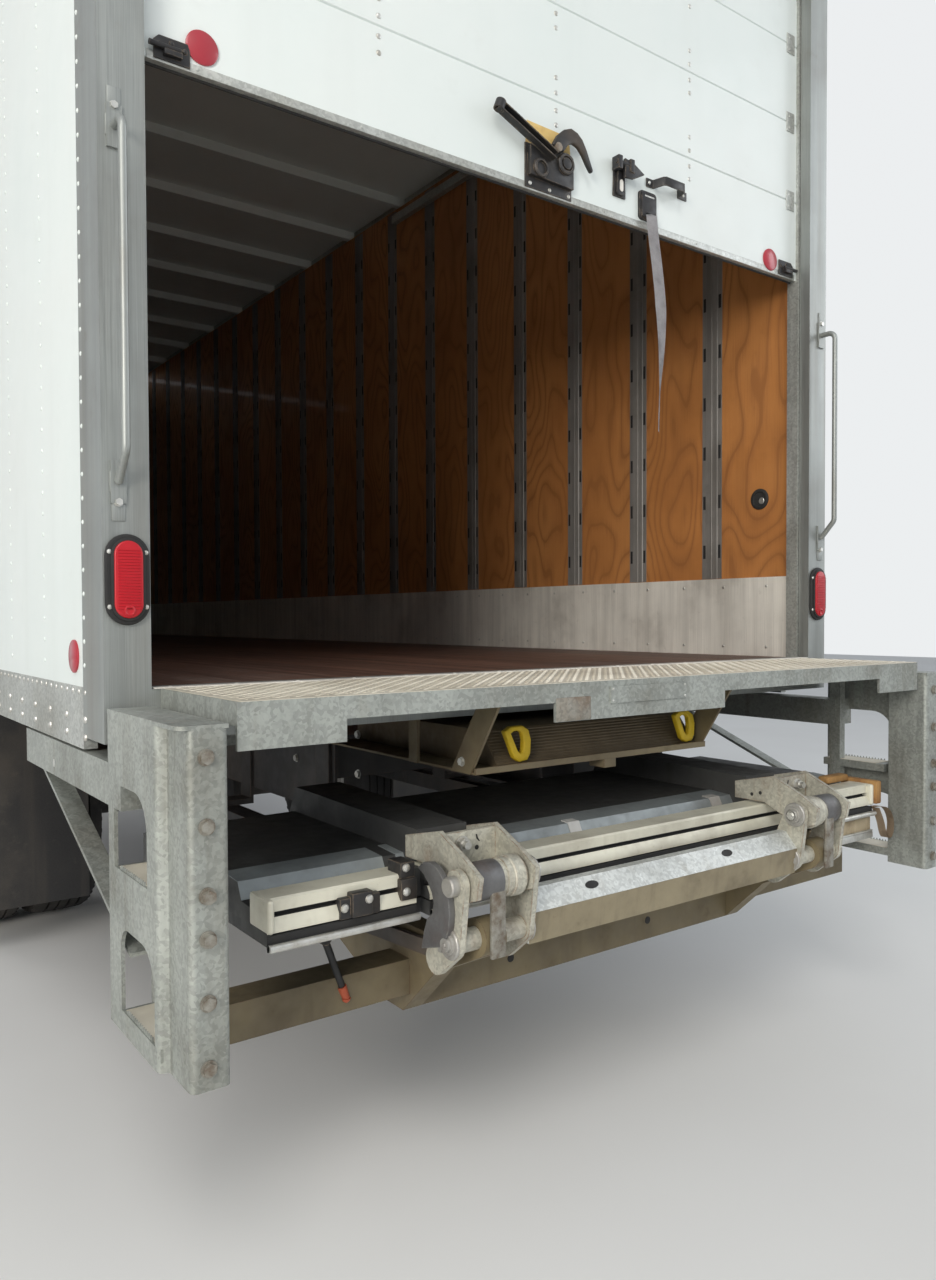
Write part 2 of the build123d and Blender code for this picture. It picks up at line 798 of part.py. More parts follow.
def rear_frame():
    """Both posts with their jambs, the header and the rear sill."""
    opening = half_width - post_width
    post = block(half_width - 70, half_width, rear_y - post_depth, rear_y, post_bottom, roof_top)
    post = post - block(half_width - 75, liner_face + liner_thickness, rear_y - post_depth - 5, rear_y - liner_end,
                        post_bottom - 5, roof_top + 5)
    jamb = block(opening, half_width - 70, rear_y - jamb_depth, rear_y, post_bottom, roof_top)
    header = block(-opening, opening, rear_y - jamb_depth, rear_y, header_bottom, roof_top)
    cap = block(-(half_width - 70), half_width - 70, rear_y - post_depth, rear_y - jamb_depth,
                roof_top - roof_thickness, roof_top)
    sill = block(-(half_width - 70), half_width - 70, rear_y - rear_sill_depth, rear_y, post_bottom, floor_height)
    return fuse(pair(post + jamb) + [header, cap, sill])


# Roll-up door, partly raised: a standing stretch, a bend and a lying stretch under the roof
door_bottom = floor_height + door_lift
door_bend_z = ceiling_z - 75 - door_bend
door_line = rear_y - door_inset


def along_door(low_z, lying, depth, x0, x1):
    """A slab that follows the door's line, of a given depth, between two X."""
    bend_y = door_line - door_bend
    near = depth / 2
    outer = door_bend + near
    inner = door_bend - near
    standing = block(x0, x1, door_line - near, door_line + near, low_z, door_bend_z)
    top = door_bend_z + door_bend
    flat = block(x0, x1, bend_y - lying, bend_y, top - near, top + near)
    ring = rod_x(bend_y, door_bend_z, outer, x0, x1) - rod_x(bend_y, door_bend_z, inner, x0 - 5, x1 + 5)
    corner = ring & block(x0, x1, bend_y, bend_y + outer, door_bend_z, door_bend_z + outer)
    return fuse([standing, corner, flat])


def roll_door():
    """The door's slab, grooved between its panels."""
    lying = door_height - (door_bend_z - door_bottom) - door_bend * math.pi / 2
    slab = along_door(door_bottom, lying, door_thickness, -door_half_width, door_half_width)
    face = door_line + door_thickness / 2
    count = int((door_bend_z - door_bottom) // panel_height)
    for number in range(1, count + 1):
        z = door_bottom + number * panel_height
        groove = [(face + 1, z - groove_half), (face + 1, z + groove_half), (face - groove_depth, z)]
        slab = slab - prism(groove, -door_half_width - 5, door_half_width + 5)
    return slab


def door_tracks():
    x0 = door_half_width
    inner = liner_face - scuff_thickness
    track = along_door(floor_height, track_length, track_depth, x0, inner)
    return pair(track)


def door_latches():
    """The lock plate with its lever and hook, a keeper, a pull handle and the strap's plate."""
    face = door_line + door_thickness / 2
    # X from, X to, height above the door's bottom from, to, how far it stands out
    pieces = (
        (-88, 90, 4, 100, 14),
        (-320, -285, 100, 165, 30),
        (-450, -385, 23, 116, 18),
    )
    made = [block(x0, x1, face, face + out, door_bottom + low, door_bottom + high) for x0, x1, low, high, out in pieces]
    lever = flat_bar((0, face + 26, door_bottom + 60), (195, face + 26, door_bottom + 205), 45, 24, (0, 1, 0))
    hook = flat_bar((0, face + 26, door_bottom + 60), (-160, face + 26, door_bottom + 118), 40, 24, (0, 1, 0))
    made[0] = fuse([made[0], lever, hook])
    handle = block(-595, -414, face + 40, face + 55, door_bottom + 140, door_bottom + 160)
    feet = [block(x, x + 22, face, face + 45, door_bottom + 140, door_bottom + 160) for x in (-595, -436)]
    return made + [fuse([handle] + feet)]


# Hanging pull strap on the door
strap_width = 50
strap_thickness = 5
strap_x = -400
strap_length = 680
strap_y = rear_y - door_inset + door_thickness / 2 + 18 + strap_thickness / 2
strap_top = door_bottom + 40


def pull_strap():
    # distance along X and height below the strap's top, chosen by eye
    points = [
        Vector(strap_x, strap_y, strap_top),
        Vector(strap_x - 7, strap_y, strap_top - 60),
        Vector(strap_x - 25, strap_y, strap_top - 150),
        Vector(strap_x - 45, strap_y, strap_top - 280),
        Vector(strap_x - 48, strap_y, strap_top - 410),
        Vector(strap_x - 38, strap_y, strap_top - 540),
        Vector(strap_x - 33, strap_y, strap_top - strap_length),
    ]
    radii = []
    for before, corner, after in zip(points, points[1:], points[2:]):
        arriving = corner - before
        leaving = after - corner
        turn = arriving.get_angle(leaving)
        radii.append(0.45 * min(arriving.length, leaving.length) / math.tan(math.radians(turn) / 2))
    print("pull strap radii", [round(radius) for radius in radii])
    path = FilletPolyline(*points, radius=radii)
    section = Plane(origin=points[0], x_dir=(1, 0, 0), z_dir=path % 0) * Rectangle(strap_width, strap_thickness)
    return sweep(section, path=path)


lamp_width = 96
lamp_height = 195
lamp_out = 22
tail_lamp_z = floor_height + 235


def obround(x, z, width, height, y0, y1):
    """An upright obround plate facing the rear."""
    middle = block(x - width / 2, x + width / 2, y0, y1, z - (height - width) / 2, z + (height - width) / 2)
    ends = [rod_y(x, z + side * (height - width) / 2, width / 2, y0, y1) for side in (-1, 1)]
    return fuse([middle] + ends)


def tail_lamps():
    """Each lamp's flange with the lens standing out of it."""
    x = half_width - post_width / 2
    flange = obround(x, tail_lamp_z, lamp_width, lamp_height, rear_y, rear_y + lamp_out / 2)
    lens = obround(x, tail_lamp_z, lamp_width - 36, lamp_height - 30, rear_y, rear_y + lamp_out)
    return pair(flange + lens)


handrail_low = floor_height + 440
handrail_high = floor_height + 1180
handrail_radius = 9
handrail_out = 60


def handrails():
    """A bent rod with a plate at each end, on the back of each post."""
    x = half_width - 34
    plates = [block(x - 16, x + 16, rear_y, rear_y + 6, z - 45, z + 45) for z in (handrail_low, handrail_high)]
    path = FilletPolyline(
        (x, rear_y + 7, handrail_low),
        (x, rear_y + handrail_out, handrail_low + 60),
        (x, rear_y + handrail_out, handrail_high),
        (x, rear_y + 3, handrail_high),
        radius=25,
    )
    rod = sweep(Plane(origin=path @ 0, z_dir=path % 0) * Circle(handrail_radius), path=path)
    return pair(fuse([rod] + plates))


# Sill extension behind the box, with its fascia, and the walk ramp's rack below it
sill_half_width = half_width - 119
sill_deep_x = sill_half_width - 226
sill_reach = 420
sill_plate = 6
fascia_thickness = 8
fascia_bottom = 1205
fascia_deep_bottom = 1160


def sill_extension():
    plate = block(-sill_half_width, sill_half_width, rear_y, rear_y + sill_reach, floor_height - sill_plate, floor_height)
    back = rear_y + sill_reach - fascia_thickness
    # X from, X to, bottom of that stretch of the fascia
    stretches = (
        (-sill_half_width, sill_half_width, fascia_bottom),
        (sill_deep_x, sill_half_width, fascia_deep_bottom),
        (-sill_half_width, -sill_deep_x, fascia_deep_bottom),
        (-196, 406, fascia_deep_bottom),
    )
    fascia = [block(x0, x1, back, rear_y + sill_reach, z, floor_height) for x0, x1, z in stretches]
    ribs = [
        block(x - 4, x + 4, rear_y, rear_y + sill_reach, fascia_bottom, floor_height)
        for x in (4 - sill_half_width, -sill_deep_x, -600, -196, 406, 700, sill_deep_x, sill_half_width - 4)
    ]
    tongue = block(-40, 233, rear_y + sill_reach, rear_y + sill_reach + 4, 1195, 1235)
    return fuse([plate, tongue] + fascia + ribs)


rack_low = 1022
rack_half_width = 420
rack_x = 75
ramp_thickness = 88


def ramp_rack():
    """A shelf hung between two slanted brackets under the sill extension."""
    shelf = block(rack_x - rack_half_width, rack_x + rack_half_width, rear_y - 520, rear_y + 230, rack_low, rack_low + 6)
    lip = block(rack_x - rack_half_width, rack_x + rack_half_width, rear_y + 224, rear_y + 230, rack_low, rack_low + 16)
    hangers = []
    for side in (-1, 1):
        x = rack_x + side * rack_half_width
        hangers.append(block(x - 4, x + 4, rear_y - 60, rear_y - 20, rack_low, post_bottom))
        leaning = ((132, rack_low), (212, rack_low), (356, floor_height - sill_plate), (276, floor_height - sill_plate))
        hangers.append(prism(from_rear(leaning), x - 4, x + 4))
    return fuse([shelf, lip] + hangers)


def walk_ramp():
    """The stowed ramp with two webbing handles on its end."""
    z0 = rack_low + 6
    outline = ((-500, z0), (205, z0), (135, z0 + ramp_thickness), (-500, z0 + ramp_thickness))
    board = prism(from_rear(outline), -335, 405)
    handles = []
    for x in (-320, 308):
        loop = block(x, x + 88, rear_y + 180, rear_y + 216, z0 + 4, z0 + 98)
        handles.append(loop - block(x + 18, x + 70, rear_y + 175, rear_y + 220, z0 + 20, z0 + 82))
    return fuse([board] + handles)


# Galvanised step bumpers at the rear corners
step_width = 95
step_inner_x = half_width - step_width
step_front = 20
step_low = 565
step_high = 1215
step_steel = 8
step_joggle = 20
step_joggle_y = 320
step_inner_depth = 130
step_bend = 9
hole_front_radius = 45
hole_rear_radius = 75
# front and back of each step hole, its tread's height and the hole's height
step_holes = ((62, 272, 895, 172), (100, 307, 610, 172))
step_post_y = 86
treads_low = 585
outrigger_low = 1015


def step_bumper():
    y0 = rear_y + step_front
    y1 = rear_y + step_reach
    half_steel = step_steel / 2
    side_x = half_width - half_steel
    channel_x = side_x - step_joggle
    rear_line = y1 - half_steel
    fold = FilletPolyline(
        (side_x, y0 + half_steel),
        (side_x, rear_y + step_joggle_y),
        (channel_x, rear_y + step_joggle_y + step_joggle / 2),
        (channel_x, rear_line),
        (step_inner_x + half_steel, rear_line),
        (step_inner_x + half_steel, y1 - step_inner_depth),
        radius=step_bend,
    )
    section = Pos(0, 0, step_low) * make_face(offset(fold, amount=half_steel))
    sheet = extrude(section, amount=step_high - step_low)
    for front, back, tread_z, height in step_holes:
        hole = block(half_width - 30, half_width + 5, rear_y + front, rear_y + back, tread_z, tread_z + height)
        tops = [edge for edge in hole.edges().filter_by(Axis.X) if edge.center().Z > tread_z + height / 2]
        tops = sorted(tops, key=lambda edge: edge.center().Y)
        hole = fillet(tops[0], hole_front_radius)
        tops = [edge for edge in hole.edges().filter_by(Axis.X)
                if edge.center().Z > tread_z + height / 2 and edge.center().Y > rear_y + back - 5]
        sheet = sheet - fillet(tops, hole_rear_radius)
    cap = block(step_inner_x, half_width, y0, y1, step_high - step_steel, step_high)
    corner = cap.edges().filter_by(Axis.Z).sort_by(lambda edge: edge.center().X + edge.center().Y)[-1]
    cap = fillet(corner, step_joggle)
    treads = [
        block(step_inner_x, half_width - half_steel, rear_y + front, rear_y + back + 20, tread_z - 25, tread_z)
        for front, back, tread_z, height in step_holes
    ]
    front_post = block(step_inner_x, step_inner_x + 30, rear_y + step_post_y, rear_y + step_post_y + 40,
                       treads_low, step_high)
    beam = block(step_inner_x - 5, half_width, rear_y - 760, rear_y + 110, outrigger_low, outrigger_low + 89)
    beam = beam - block(step_inner_x - 10, half_width + 5, rear_y - post_depth, rear_y + 5,
                        post_bottom - 5, post_bottom + 100)
    brace = flat_bar((half_width - 40, rear_y - 700, outrigger_low + 20), (half_width - 40, rear_y + 110, 720),
                     50, 10, (1, 0, 0))
    frame_tie = block(frame_half_width, step_inner_x, rear_y - 760, rear_y - 700, outrigger_low, outrigger_low + 60)
    return fuse([sheet, cap, front_post, beam, brace, frame_tie] + treads)



# Mudflaps behind the rear tyres
flap_gap = 150
flap_edge = 25
flap_width = 500
flap_thickness = 8
flap_low = 210
flap_bracket = 30


def mudflaps():
    y = rear_axle_y + tyre_radius + flap_gap
    outer = half_width - flap_edge
    top = floor_height - deck_thickness - cross_sill_height - 10
    flap = block(outer - flap_width, outer, y, y + flap_thickness, flap_low, top)
    bracket = block(frame_half_width, outer - flap_bracket, y + flap_thickness, y + flap_thickness + flap_bracket,
                    top - 50, top - 10)
    return pair(fuse([flap, bracket]))


# Tail lift. (Y, Z) places are counted from the back face of the rear frame
arm_pivot = (-750, 620)
head_pin = (413, 707)
platform_pin = (430, 835)
link_offset = (-60, -50)
link_front_pin = (arm_pivot[0] + link_offset[0], arm_pivot[1] + link_offset[1])
link_rear_pin = (head_pin[0] + link_offset[0], head_pin[1] + link_offset[1])
big_pin = 25
small_pin = 12
rail_inner_x = 500
rail_outer_x = 560
rail_low = 640
rail_high = 720
rail_steel = 8
rail_start = -2150
rail_end = -530
tube_inner_x = 470
tube_end = -700
arm_inner_x = 580
arm_outer_x = 635
lug_steel = 10
link_inner_x = 653
link_outer_x = 665
cheek_places = ((515, 527), (668, 680))
head_plates = ((495, 510), (685, 700))
platform_half_width = half_width - 218
platform_front = -450
platform_back = 320
platform_low = 742
platform_top = 855
lip_radius = 7
beam_front = 30
beam_back = 120
cross_beam_low = 450
cross_beam_high = 560
wing_end_x = half_width - 115
wing_front_y = 60
wing_back_y = 150
wing_low = 500
wing_high = 585
hook_inner_x = 700
hook_outer_x = 716
hook_gap = 10
rib_inner_x = 527
rib_outer_x = 668
rib_top = 925


def lift_rails():
    """Two channels under the frame, each on three brackets, and the hydraulic box beside the right one."""
    y0 = rear_y + rail_start
    y1 = rear_y + rail_end
    web = block(rail_outer_x - rail_steel, rail_outer_x, y0, y1, rail_low, rail_high)
    lower = block(rail_inner_x, rail_outer_x, y0, y1, rail_low, rail_low + rail_steel)
    upper = block(rail_inner_x, rail_outer_x, y0, y1, rail_high - rail_steel, rail_high)
    brackets = [
        block(frame_half_width, rail_outer_x, rear_y + y, rear_y + y + 90, rail_high, rail_high + 20)
        + block(frame_half_width, frame_half_width + 12, rear_y + y, rear_y + y + 90, rail_high, frame_top - 20)
        for y in (-2080, -1320, -710)
    ]
    left, right = pair(fuse([web, lower, upper] + brackets))
    hydraulic_box = block(-1080, -590, rear_y - 1350, rear_y - 600, 770, 1000)
    hydraulic_arms = [
        block(-600, -frame_half_width, rear_y + y, rear_y + y + 90, 890, 960) for y in (-1320, -710)
    ]
    return [left, fuse([right, hydraulic_box] + hydraulic_arms)]


def lift_carriage():
    """The sliding tubes, their front beam, and the lugs and pins of the arms and links."""
    low = rail_low + rail_steel + slide_clearance
    high = rail_high - rail_steel - slide_clearance
    beam_y0 = rear_y - 930
    beam_y1 = rear_y - 870
    tube = block(tube_inner_x, rail_outer_x - rail_steel - 5, rear_y + rail_start, rear_y + tube_end, low, high)
    drop = block(tube_inner_x, tube_inner_x + 24, beam_y0, rear_y + tube_end, 560, low + 1)
    arm_y = rear_y + arm_pivot[0]
    lugs = [
        block(x0, x1, beam_y1, arm_y, arm_pivot[1] - 45, arm_pivot[1] + 45)
        + rod_x(arm_y, arm_pivot[1], 45, x0, x1)
        for x0, x1 in ((arm_inner_x - 4 - lug_steel, arm_inner_x - 4), (arm_outer_x + 4, arm_outer_x + 4 + lug_steel))
    ]
    link_y = rear_y + link_front_pin[0]
    link_lug = block(link_outer_x + 4, link_outer_x + 16, beam_y1, link_y, link_front_pin[1] - 22, link_front_pin[1] + 22)
    link_lug = link_lug + rod_x(link_y, link_front_pin[1], 22, link_outer_x + 4, link_outer_x + 16)
    arm_pin = rod_x(arm_y, arm_pivot[1], big_pin, arm_inner_x - 14, arm_outer_x + 16)
    link_pin = rod_x(link_y, link_front_pin[1], small_pin, link_inner_x - 2, link_outer_x + 12)
    beam = block(-(link_outer_x + 16), link_outer_x + 16, beam_y0, beam_y1, 548, 632)
    sides = pair(fuse([tube, drop, link_lug, arm_pin, link_pin] + lugs))
    return fuse([beam] + sides)


def lift_arms():
    """Two deep arms joined by the low cross beam, with a wing on each side."""
    outline = (
        (arm_pivot[0] - 30, arm_pivot[1] - 35),
        (arm_pivot[0] - 30, arm_pivot[1] + 35),
        (arm_pivot[0] + 60, 668),
        (255, 668),
        (head_pin[0] - 25, head_pin[1] + 36),
        (head_pin[0] + 30, head_pin[1] + 28),
        (head_pin[0] + 20, head_pin[1] - 38),
        (260, 585),
        (beam_back, cross_beam_low),
        (beam_front, cross_beam_low),
        (-250, 560),
    )
    arm = prism(from_rear(outline), arm_inner_x, arm_outer_x)
    for y, z in (arm_pivot, head_pin):
        arm = arm + rod_x(rear_y + y, z, 42, arm_inner_x, arm_outer_x)
    beam = block(-arm_inner_x, arm_inner_x, rear_y + beam_front, rear_y + beam_back, cross_beam_low, cross_beam_high)
    wing = block(arm_outer_x, wing_end_x, rear_y + wing_front_y, rear_y + wing_back_y, wing_low, wing_high)
    bores = [
        rod_x(rear_y + y, z, big_pin + pin_clearance, arm_inner_x - 5, arm_outer_x + 5) for y, z in (arm_pivot, head_pin)
    ]
    side = arm + wing
    for bore in bores:
        side = side - bore
    return fuse([beam] + pair(side))



def lift_links():
    """The levelling link beside each arm."""
    y0, z0 = link_front_pin
    y1, z1 = link_rear_pin
    rise = 18
    outline = ((y0, z0 - rise), (y1, z1 - rise), (y1, z1 + rise), (y0, z0 + rise))
    link = prism(from_rear(outline), link_inner_x, link_outer_x)
    for y, z in (link_front_pin, link_rear_pin):
        link = link + rod_x(rear_y + y, z, 22, link_inner_x, link_outer_x)
    for y, z in (link_front_pin, link_rear_pin):
        link = link - rod_x(rear_y + y, z, small_pin + pin_clearance, link_inner_x - 5, link_outer_x + 5)
    return pair(link)


def lift_head():
    """Two plates on each side that carry the platform's pin, the arm's pin and the link's pin."""
    corners = make_face(Polyline(*from_rear((platform_pin, head_pin, link_rear_pin)), close=True))
    face = offset(corners, amount=34, kind=Kind.ARC)
    plates = [
        extrude(Plane(origin=(x0, 0, 0), x_dir=(0, 1, 0), z_dir=(1, 0, 0)) * face, amount=x1 - x0)
        for x0, x1 in head_plates
    ]
    # place, radius, X from, X to of each pin
    pins = (
        (platform_pin, big_pin, head_plates[0][0], head_plates[1][1]),
        (head_pin, big_pin, head_plates[0][0], head_plates[1][1]),
        (link_rear_pin, small_pin, link_inner_x - 2, head_plates[1][0] + 5),
    )
    rods = [rod_x(rear_y + y, z, radius, x0, x1) for (y, z), radius, x0, x1 in pins]
    sleeve = rod_x(rear_y + platform_pin[0], platform_pin[1], 40, cheek_places[0][1] + 5, cheek_places[1][0] - 5)
    return pair(fuse(plates + rods + [sleeve]))


def hook_plates():
    """A crescent plate outside each head, round the platform's edge."""
    y = rear_y + platform_pin[0] - 70
    z = platform_pin[1] - 53
    ring = rod_x(y, z, 93, hook_inner_x, hook_outer_x) - rod_x(y - 42, z + 3, 60, hook_inner_x - 5, hook_outer_x + 5)
    return pair(ring - block(hook_inner_x - 5, hook_outer_x + 5, y - 120, y - 52, z - 120, z + 120))


def bumper_bar():
    """The bright bar between both heads, with its sloped upper face."""
    outline = ((375, 783), (400, 783), (437, 740), (428, 668), (375, 668))
    inside = ((383, 775), (396, 775), (428, 738), (421, 676), (383, 676))
    bar_end = head_plates[0][0]
    bar_shell = prism(from_rear(outline), -bar_end, bar_end)
    return bar_shell - prism(from_rear(inside), -bar_end - 5, bar_end + 5)


def platform():
    """The folded platform: its main section lying face down on the tip, with a rib over each arm."""
    main = (
        (platform_front, 778),
        (platform_front, 840),
        (platform_front + 50, platform_top),
        (97, platform_top),
        (175, 850),
        (193, 815),
        (238, 812),
        (240, 843),
        (305, 843),
        (309, 839),
        (309, 817),
        (295, 817),
        (295, 806),
        (309, 806),
        (platform_back, 790),
        (platform_back, 778),
    )
    slab = prism(from_rear(main), -platform_half_width, platform_half_width)
    tip = block(-platform_half_width + 12, platform_half_width - 12, rear_y + platform_front, rear_y + platform_back,
                platform_low, 774)
    hinge = block(-platform_half_width, platform_half_width, rear_y + platform_front, rear_y + platform_front + 30,
                  platform_low, 780)
    ribs = pair(
        prism(
            from_rear(
                [(platform_front + 20, platform_top - 5), (platform_front + 60, rib_top), (235, rib_top - 10),
                 (237, 810), (60, platform_top - 45)]
            ),
            rib_inner_x,
            rib_outer_x,
        )
    )
    lip = rod_x(rear_y + platform_back + lip_radius - 2, 751, lip_radius, -platform_half_width, platform_half_width)
    slots = pair(
        block(hook_inner_x - hook_gap, hook_outer_x + hook_gap, rear_y + platform_back - 37, rear_y + platform_back + 25,
              platform_low - 5, platform_top + 5)
    )
    whole = fuse([slab, tip, hinge, lip] + ribs)
    return fuse([whole - slots])


def hinge_brackets():
    """Two cheeks and a back plate on each rib, bored for the platform's pin."""
    y, z = platform_pin
    outline = ((205, 858), (205, 900), (340, 932), (437, 889), (y + 60, z + 24), (y + 50, z - 24), (y + 20, z - 35),
               (y - 40, z - 20), (312, 850), (205, 850))
    sides = []
    for x0, x1 in cheek_places:
        cheek = prism(from_rear(outline), x0, x1)
        sides.append(cheek - rod_x(rear_y + y, z, big_pin + pin_clearance, x0 - 5, x1 + 5))
    back = block(cheek_places[0][1], cheek_places[1][0], rear_y + 335, rear_y + 347, 850, 925)
    return pair(fuse(sides + [back]))


# Build and write every sub-part
save("chassis_frame", chassis_frame())
save("leaf_springs", *leaf_springs())
save("front_axle", front_axle())
save("rear_axle", rear_axle())
save("engine_block", engine_block())
save("drivetrain", drivetrain())
save("fuel_tank", fuel_tank())
save("battery_box", battery_box())
save("exhaust", exhaust())
save("cab_shell", cab_shell())
save("cab_glass", *cab_glass())
save("dashboard", dashboard())
save("steering_wheel", steering_wheel())
save("seats", *seats())
save("front_bumper", front_bumper())
save("box_floor", box_floor())
save("side_walls", *side_walls())
save("front_wall", front_wall())
save("box_roof", box_roof())
save("side_rails", *side_rails())
save("plywood_liners", *plywood_liners())
save("scuff_plates", *scuff_plates())
save("rear_frame", rear_frame())
save("roll_door", roll_door())
save("door_tracks", *door_tracks())
save("door_latches", *door_latches())
save("pull_strap", pull_strap())
save("tail_lamps", *tail_lamps())
save("handrails", *handrails())
save("sill_extension", sill_extension())
save("ramp_rack", ramp_rack())
save("walk_ramp", walk_ramp())
save("step_bumpers", *pair(step_bumper()))
save("mudflaps", *mudflaps())
save("lift_rails", *lift_rails())
save("lift_carriage", lift_carriage())
save("lift_arms", lift_arms())
save("lift_links", *lift_links())
save("lift_head", *lift_head())
save("hook_plates", *hook_plates())
save("bumper_bar", bumper_bar())
save("platform", platform())
save("hinge_brackets", *hinge_brackets())
save("hood_shell", hood_shell())
save("grille", grille())
save("headlamps", *headlamps())

# Pieces with a left and a right twin on bodies of their own
front_tyre, front_rim = front_wheel()
rear_tyres, rear_rims = rear_wheels()
twins = (
    ("door_panel", [door_panel()]),
    ("door_glass", [door_glass()]),
    ("knuckle", [knuckle()]),
    ("front_tyre", [front_tyre]),
    ("front_rim", [front_rim]),
    ("rear_tyres", rear_tyres),
    ("rear_rims", [rear_rims]),
)
for name, shapes in twins:
    save(f"left_{name}", *shapes)
    save(f"right_{name}", *[mirror(shape, Plane.YZ) for shape in shapes])
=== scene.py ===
import logging
import math
from dataclasses import dataclass
from enum import Enum
from typing import Callable, Iterable, Optional, Sequence

import bmesh
import bpy
from mathutils import Matrix, Vector


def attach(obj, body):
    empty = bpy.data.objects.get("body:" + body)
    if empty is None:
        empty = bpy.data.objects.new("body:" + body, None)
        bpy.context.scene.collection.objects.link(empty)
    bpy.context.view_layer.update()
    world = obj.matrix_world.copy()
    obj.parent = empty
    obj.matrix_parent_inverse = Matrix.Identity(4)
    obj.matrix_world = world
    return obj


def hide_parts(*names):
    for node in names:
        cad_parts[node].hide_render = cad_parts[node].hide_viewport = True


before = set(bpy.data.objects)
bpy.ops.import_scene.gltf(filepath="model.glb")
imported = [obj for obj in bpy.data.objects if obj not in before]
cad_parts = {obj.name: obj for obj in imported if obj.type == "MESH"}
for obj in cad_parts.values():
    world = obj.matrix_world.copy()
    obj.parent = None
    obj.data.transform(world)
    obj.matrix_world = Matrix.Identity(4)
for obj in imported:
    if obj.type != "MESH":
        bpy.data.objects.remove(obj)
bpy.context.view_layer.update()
log = logging.getLogger("box_truck")

# Places along the truck that several pieces share, in metres
REAR = 5.172
NOSE = -5.628
FLOOR = 1.25
HALF_WIDTH = 1.295
DOOR_FACE = 5.1195

# Where the axles lie, and how high
FRONT_AXLE = NOSE + 0.85
REAR_AXLE = REAR - 2.85
AXLE_HEIGHT = 0.5

Colour = tuple[float, float, float]
Point = tuple[float, float, float]
Flat = tuple[float, float]
Outline = tuple[Flat, ...]
Boxes = tuple[tuple[Point, Point], ...]
Vertices = list[bmesh.types.BMVert]
Output = bpy.types.NodeSocket


class Socket(Enum):
    """The kinds of socket on a shared effect."""

    COLOUR = "NodeSocketColor"
    VALUE = "NodeSocketFloat"
    VECTOR = "NodeSocketVector"


class Axis(Enum):
    """The truck's axes, as unit vectors."""

    X = (1.0, 0.0, 0.0)
    Y = (0.0, 1.0, 0.0)
    Z = (0.0, 0.0, 1.0)


class Pattern(Enum):
    """What covers a finish besides its colour."""

    PLAIN = "plain"
    SPANGLE = "spangle"
    BRUSHED = "brushed"
    PLYWOOD = "plywood"
    PLANKS = "planks"
    WEAVE = "weave"
    CAST = "cast"


class Wiring:
    """A small helper that adds and joins shader nodes in one node tree."""

    def __init__(self, tree: bpy.types.NodeTree) -> None:
        """Keep the tree that nodes are added to."""
        self.tree = tree

    def add(self, kind: str, **settings: object) -> bpy.types.Node:
        """Add a node.

        Args:
            kind: the node's Blender type, without its ShaderNode prefix.
            settings: attributes to set on it.

        Returns:
            The new node.
        """
        name = kind if kind.startswith("Node") else "ShaderNode" + kind
        node = self.tree.nodes.new(name)
        for key, value in settings.items():
            setattr(node, key, value)
        return node

    def feed(self, socket: bpy.types.NodeSocket, value: object) -> None:
        """Give a socket a constant, or join another socket to it."""
        if isinstance(value, bpy.types.NodeSocket):
            self.tree.links.new(value, socket)
        elif isinstance(value, tuple) and len(value) == 3 and socket.type == "RGBA":
            socket.default_value = (*value, 1.0)
        else:
            socket.default_value = value

    def math(self, operation: str, *values: object) -> Output:
        """Add a Math node and return what comes out of it."""
        node = self.add("Math", operation=operation)
        for socket, value in zip(node.inputs, values):
            self.feed(socket, value)
        return node.outputs[0]

    def times(self, first: object, second: object) -> Output:
        """Multiply two values and return the result."""
        return self.math("MULTIPLY", first, second)

    def plus(self, first: object, second: object) -> Output:
        """Add two values and return the result."""
        return self.math("ADD", first, second)

    def vector(self, operation: str, *values: object) -> bpy.types.Node:
        """Add a VectorMath node that takes some values."""
        node = self.add("VectorMath", operation=operation)
        for socket, value in zip(node.inputs, values):
            self.feed(socket, value)
        return node

    def split(self, vector: object) -> Sequence[Output]:
        """Return a vector's three parts."""
        node = self.add("SeparateXYZ")
        self.feed(node.inputs[0], vector)
        return node.outputs

    def noise(self, vector: object, scale: object, detail: float = 4.0, roughness: float = 0.55) -> Output:
        """Add a noise texture and return its value."""
        node = self.add("TexNoise")
        self.feed(node.inputs["Vector"], vector)
        self.feed(node.inputs["Scale"], scale)
        node.inputs["Detail"].default_value = detail
        node.inputs["Roughness"].default_value = roughness
        return node.outputs["Fac"]

    def stretch(self, vector: object, scale: Point, place: Point = (0.0, 0.0, 0.0)) -> Output:
        """Scale a pattern's coordinates along each axis and move them."""
        node = self.add("Mapping")
        self.feed(node.inputs["Vector"], vector)
        node.inputs["Scale"].default_value = scale
        node.inputs["Location"].default_value = place
        return node.outputs[0]

    def band(self, value: object, low: float, high: float, out_low: float = 0.0, out_high: float = 1.0):
        """Map one range of values smoothly onto another and return the result."""
        node = self.add("MapRange", interpolation_type="SMOOTHSTEP")
        for socket, number in zip(node.inputs, (value, low, high, out_low, out_high)):
            self.feed(socket, number)
        return node.outputs[0]

    def mix(self, amount: object, first: object, second: object, blend: str = "MIX") -> Output:
        """Mix two colours and return the result."""
        node = self.add("Mix", data_type="RGBA", blend_type=blend)
        self.feed(node.inputs["Factor"], amount)
        self.feed(node.inputs[6], first)
        self.feed(node.inputs[7], second)
        return node.outputs[2]

    def shaded(self, colour: object, tone: object) -> Output:
        """Multiply a colour by a grey tone and return the result."""
        grey = self.add("CombineColor")
        for socket in grey.inputs:
            self.feed(socket, tone)
        return self.mix(1.0, colour, grey.outputs[0], "MULTIPLY")


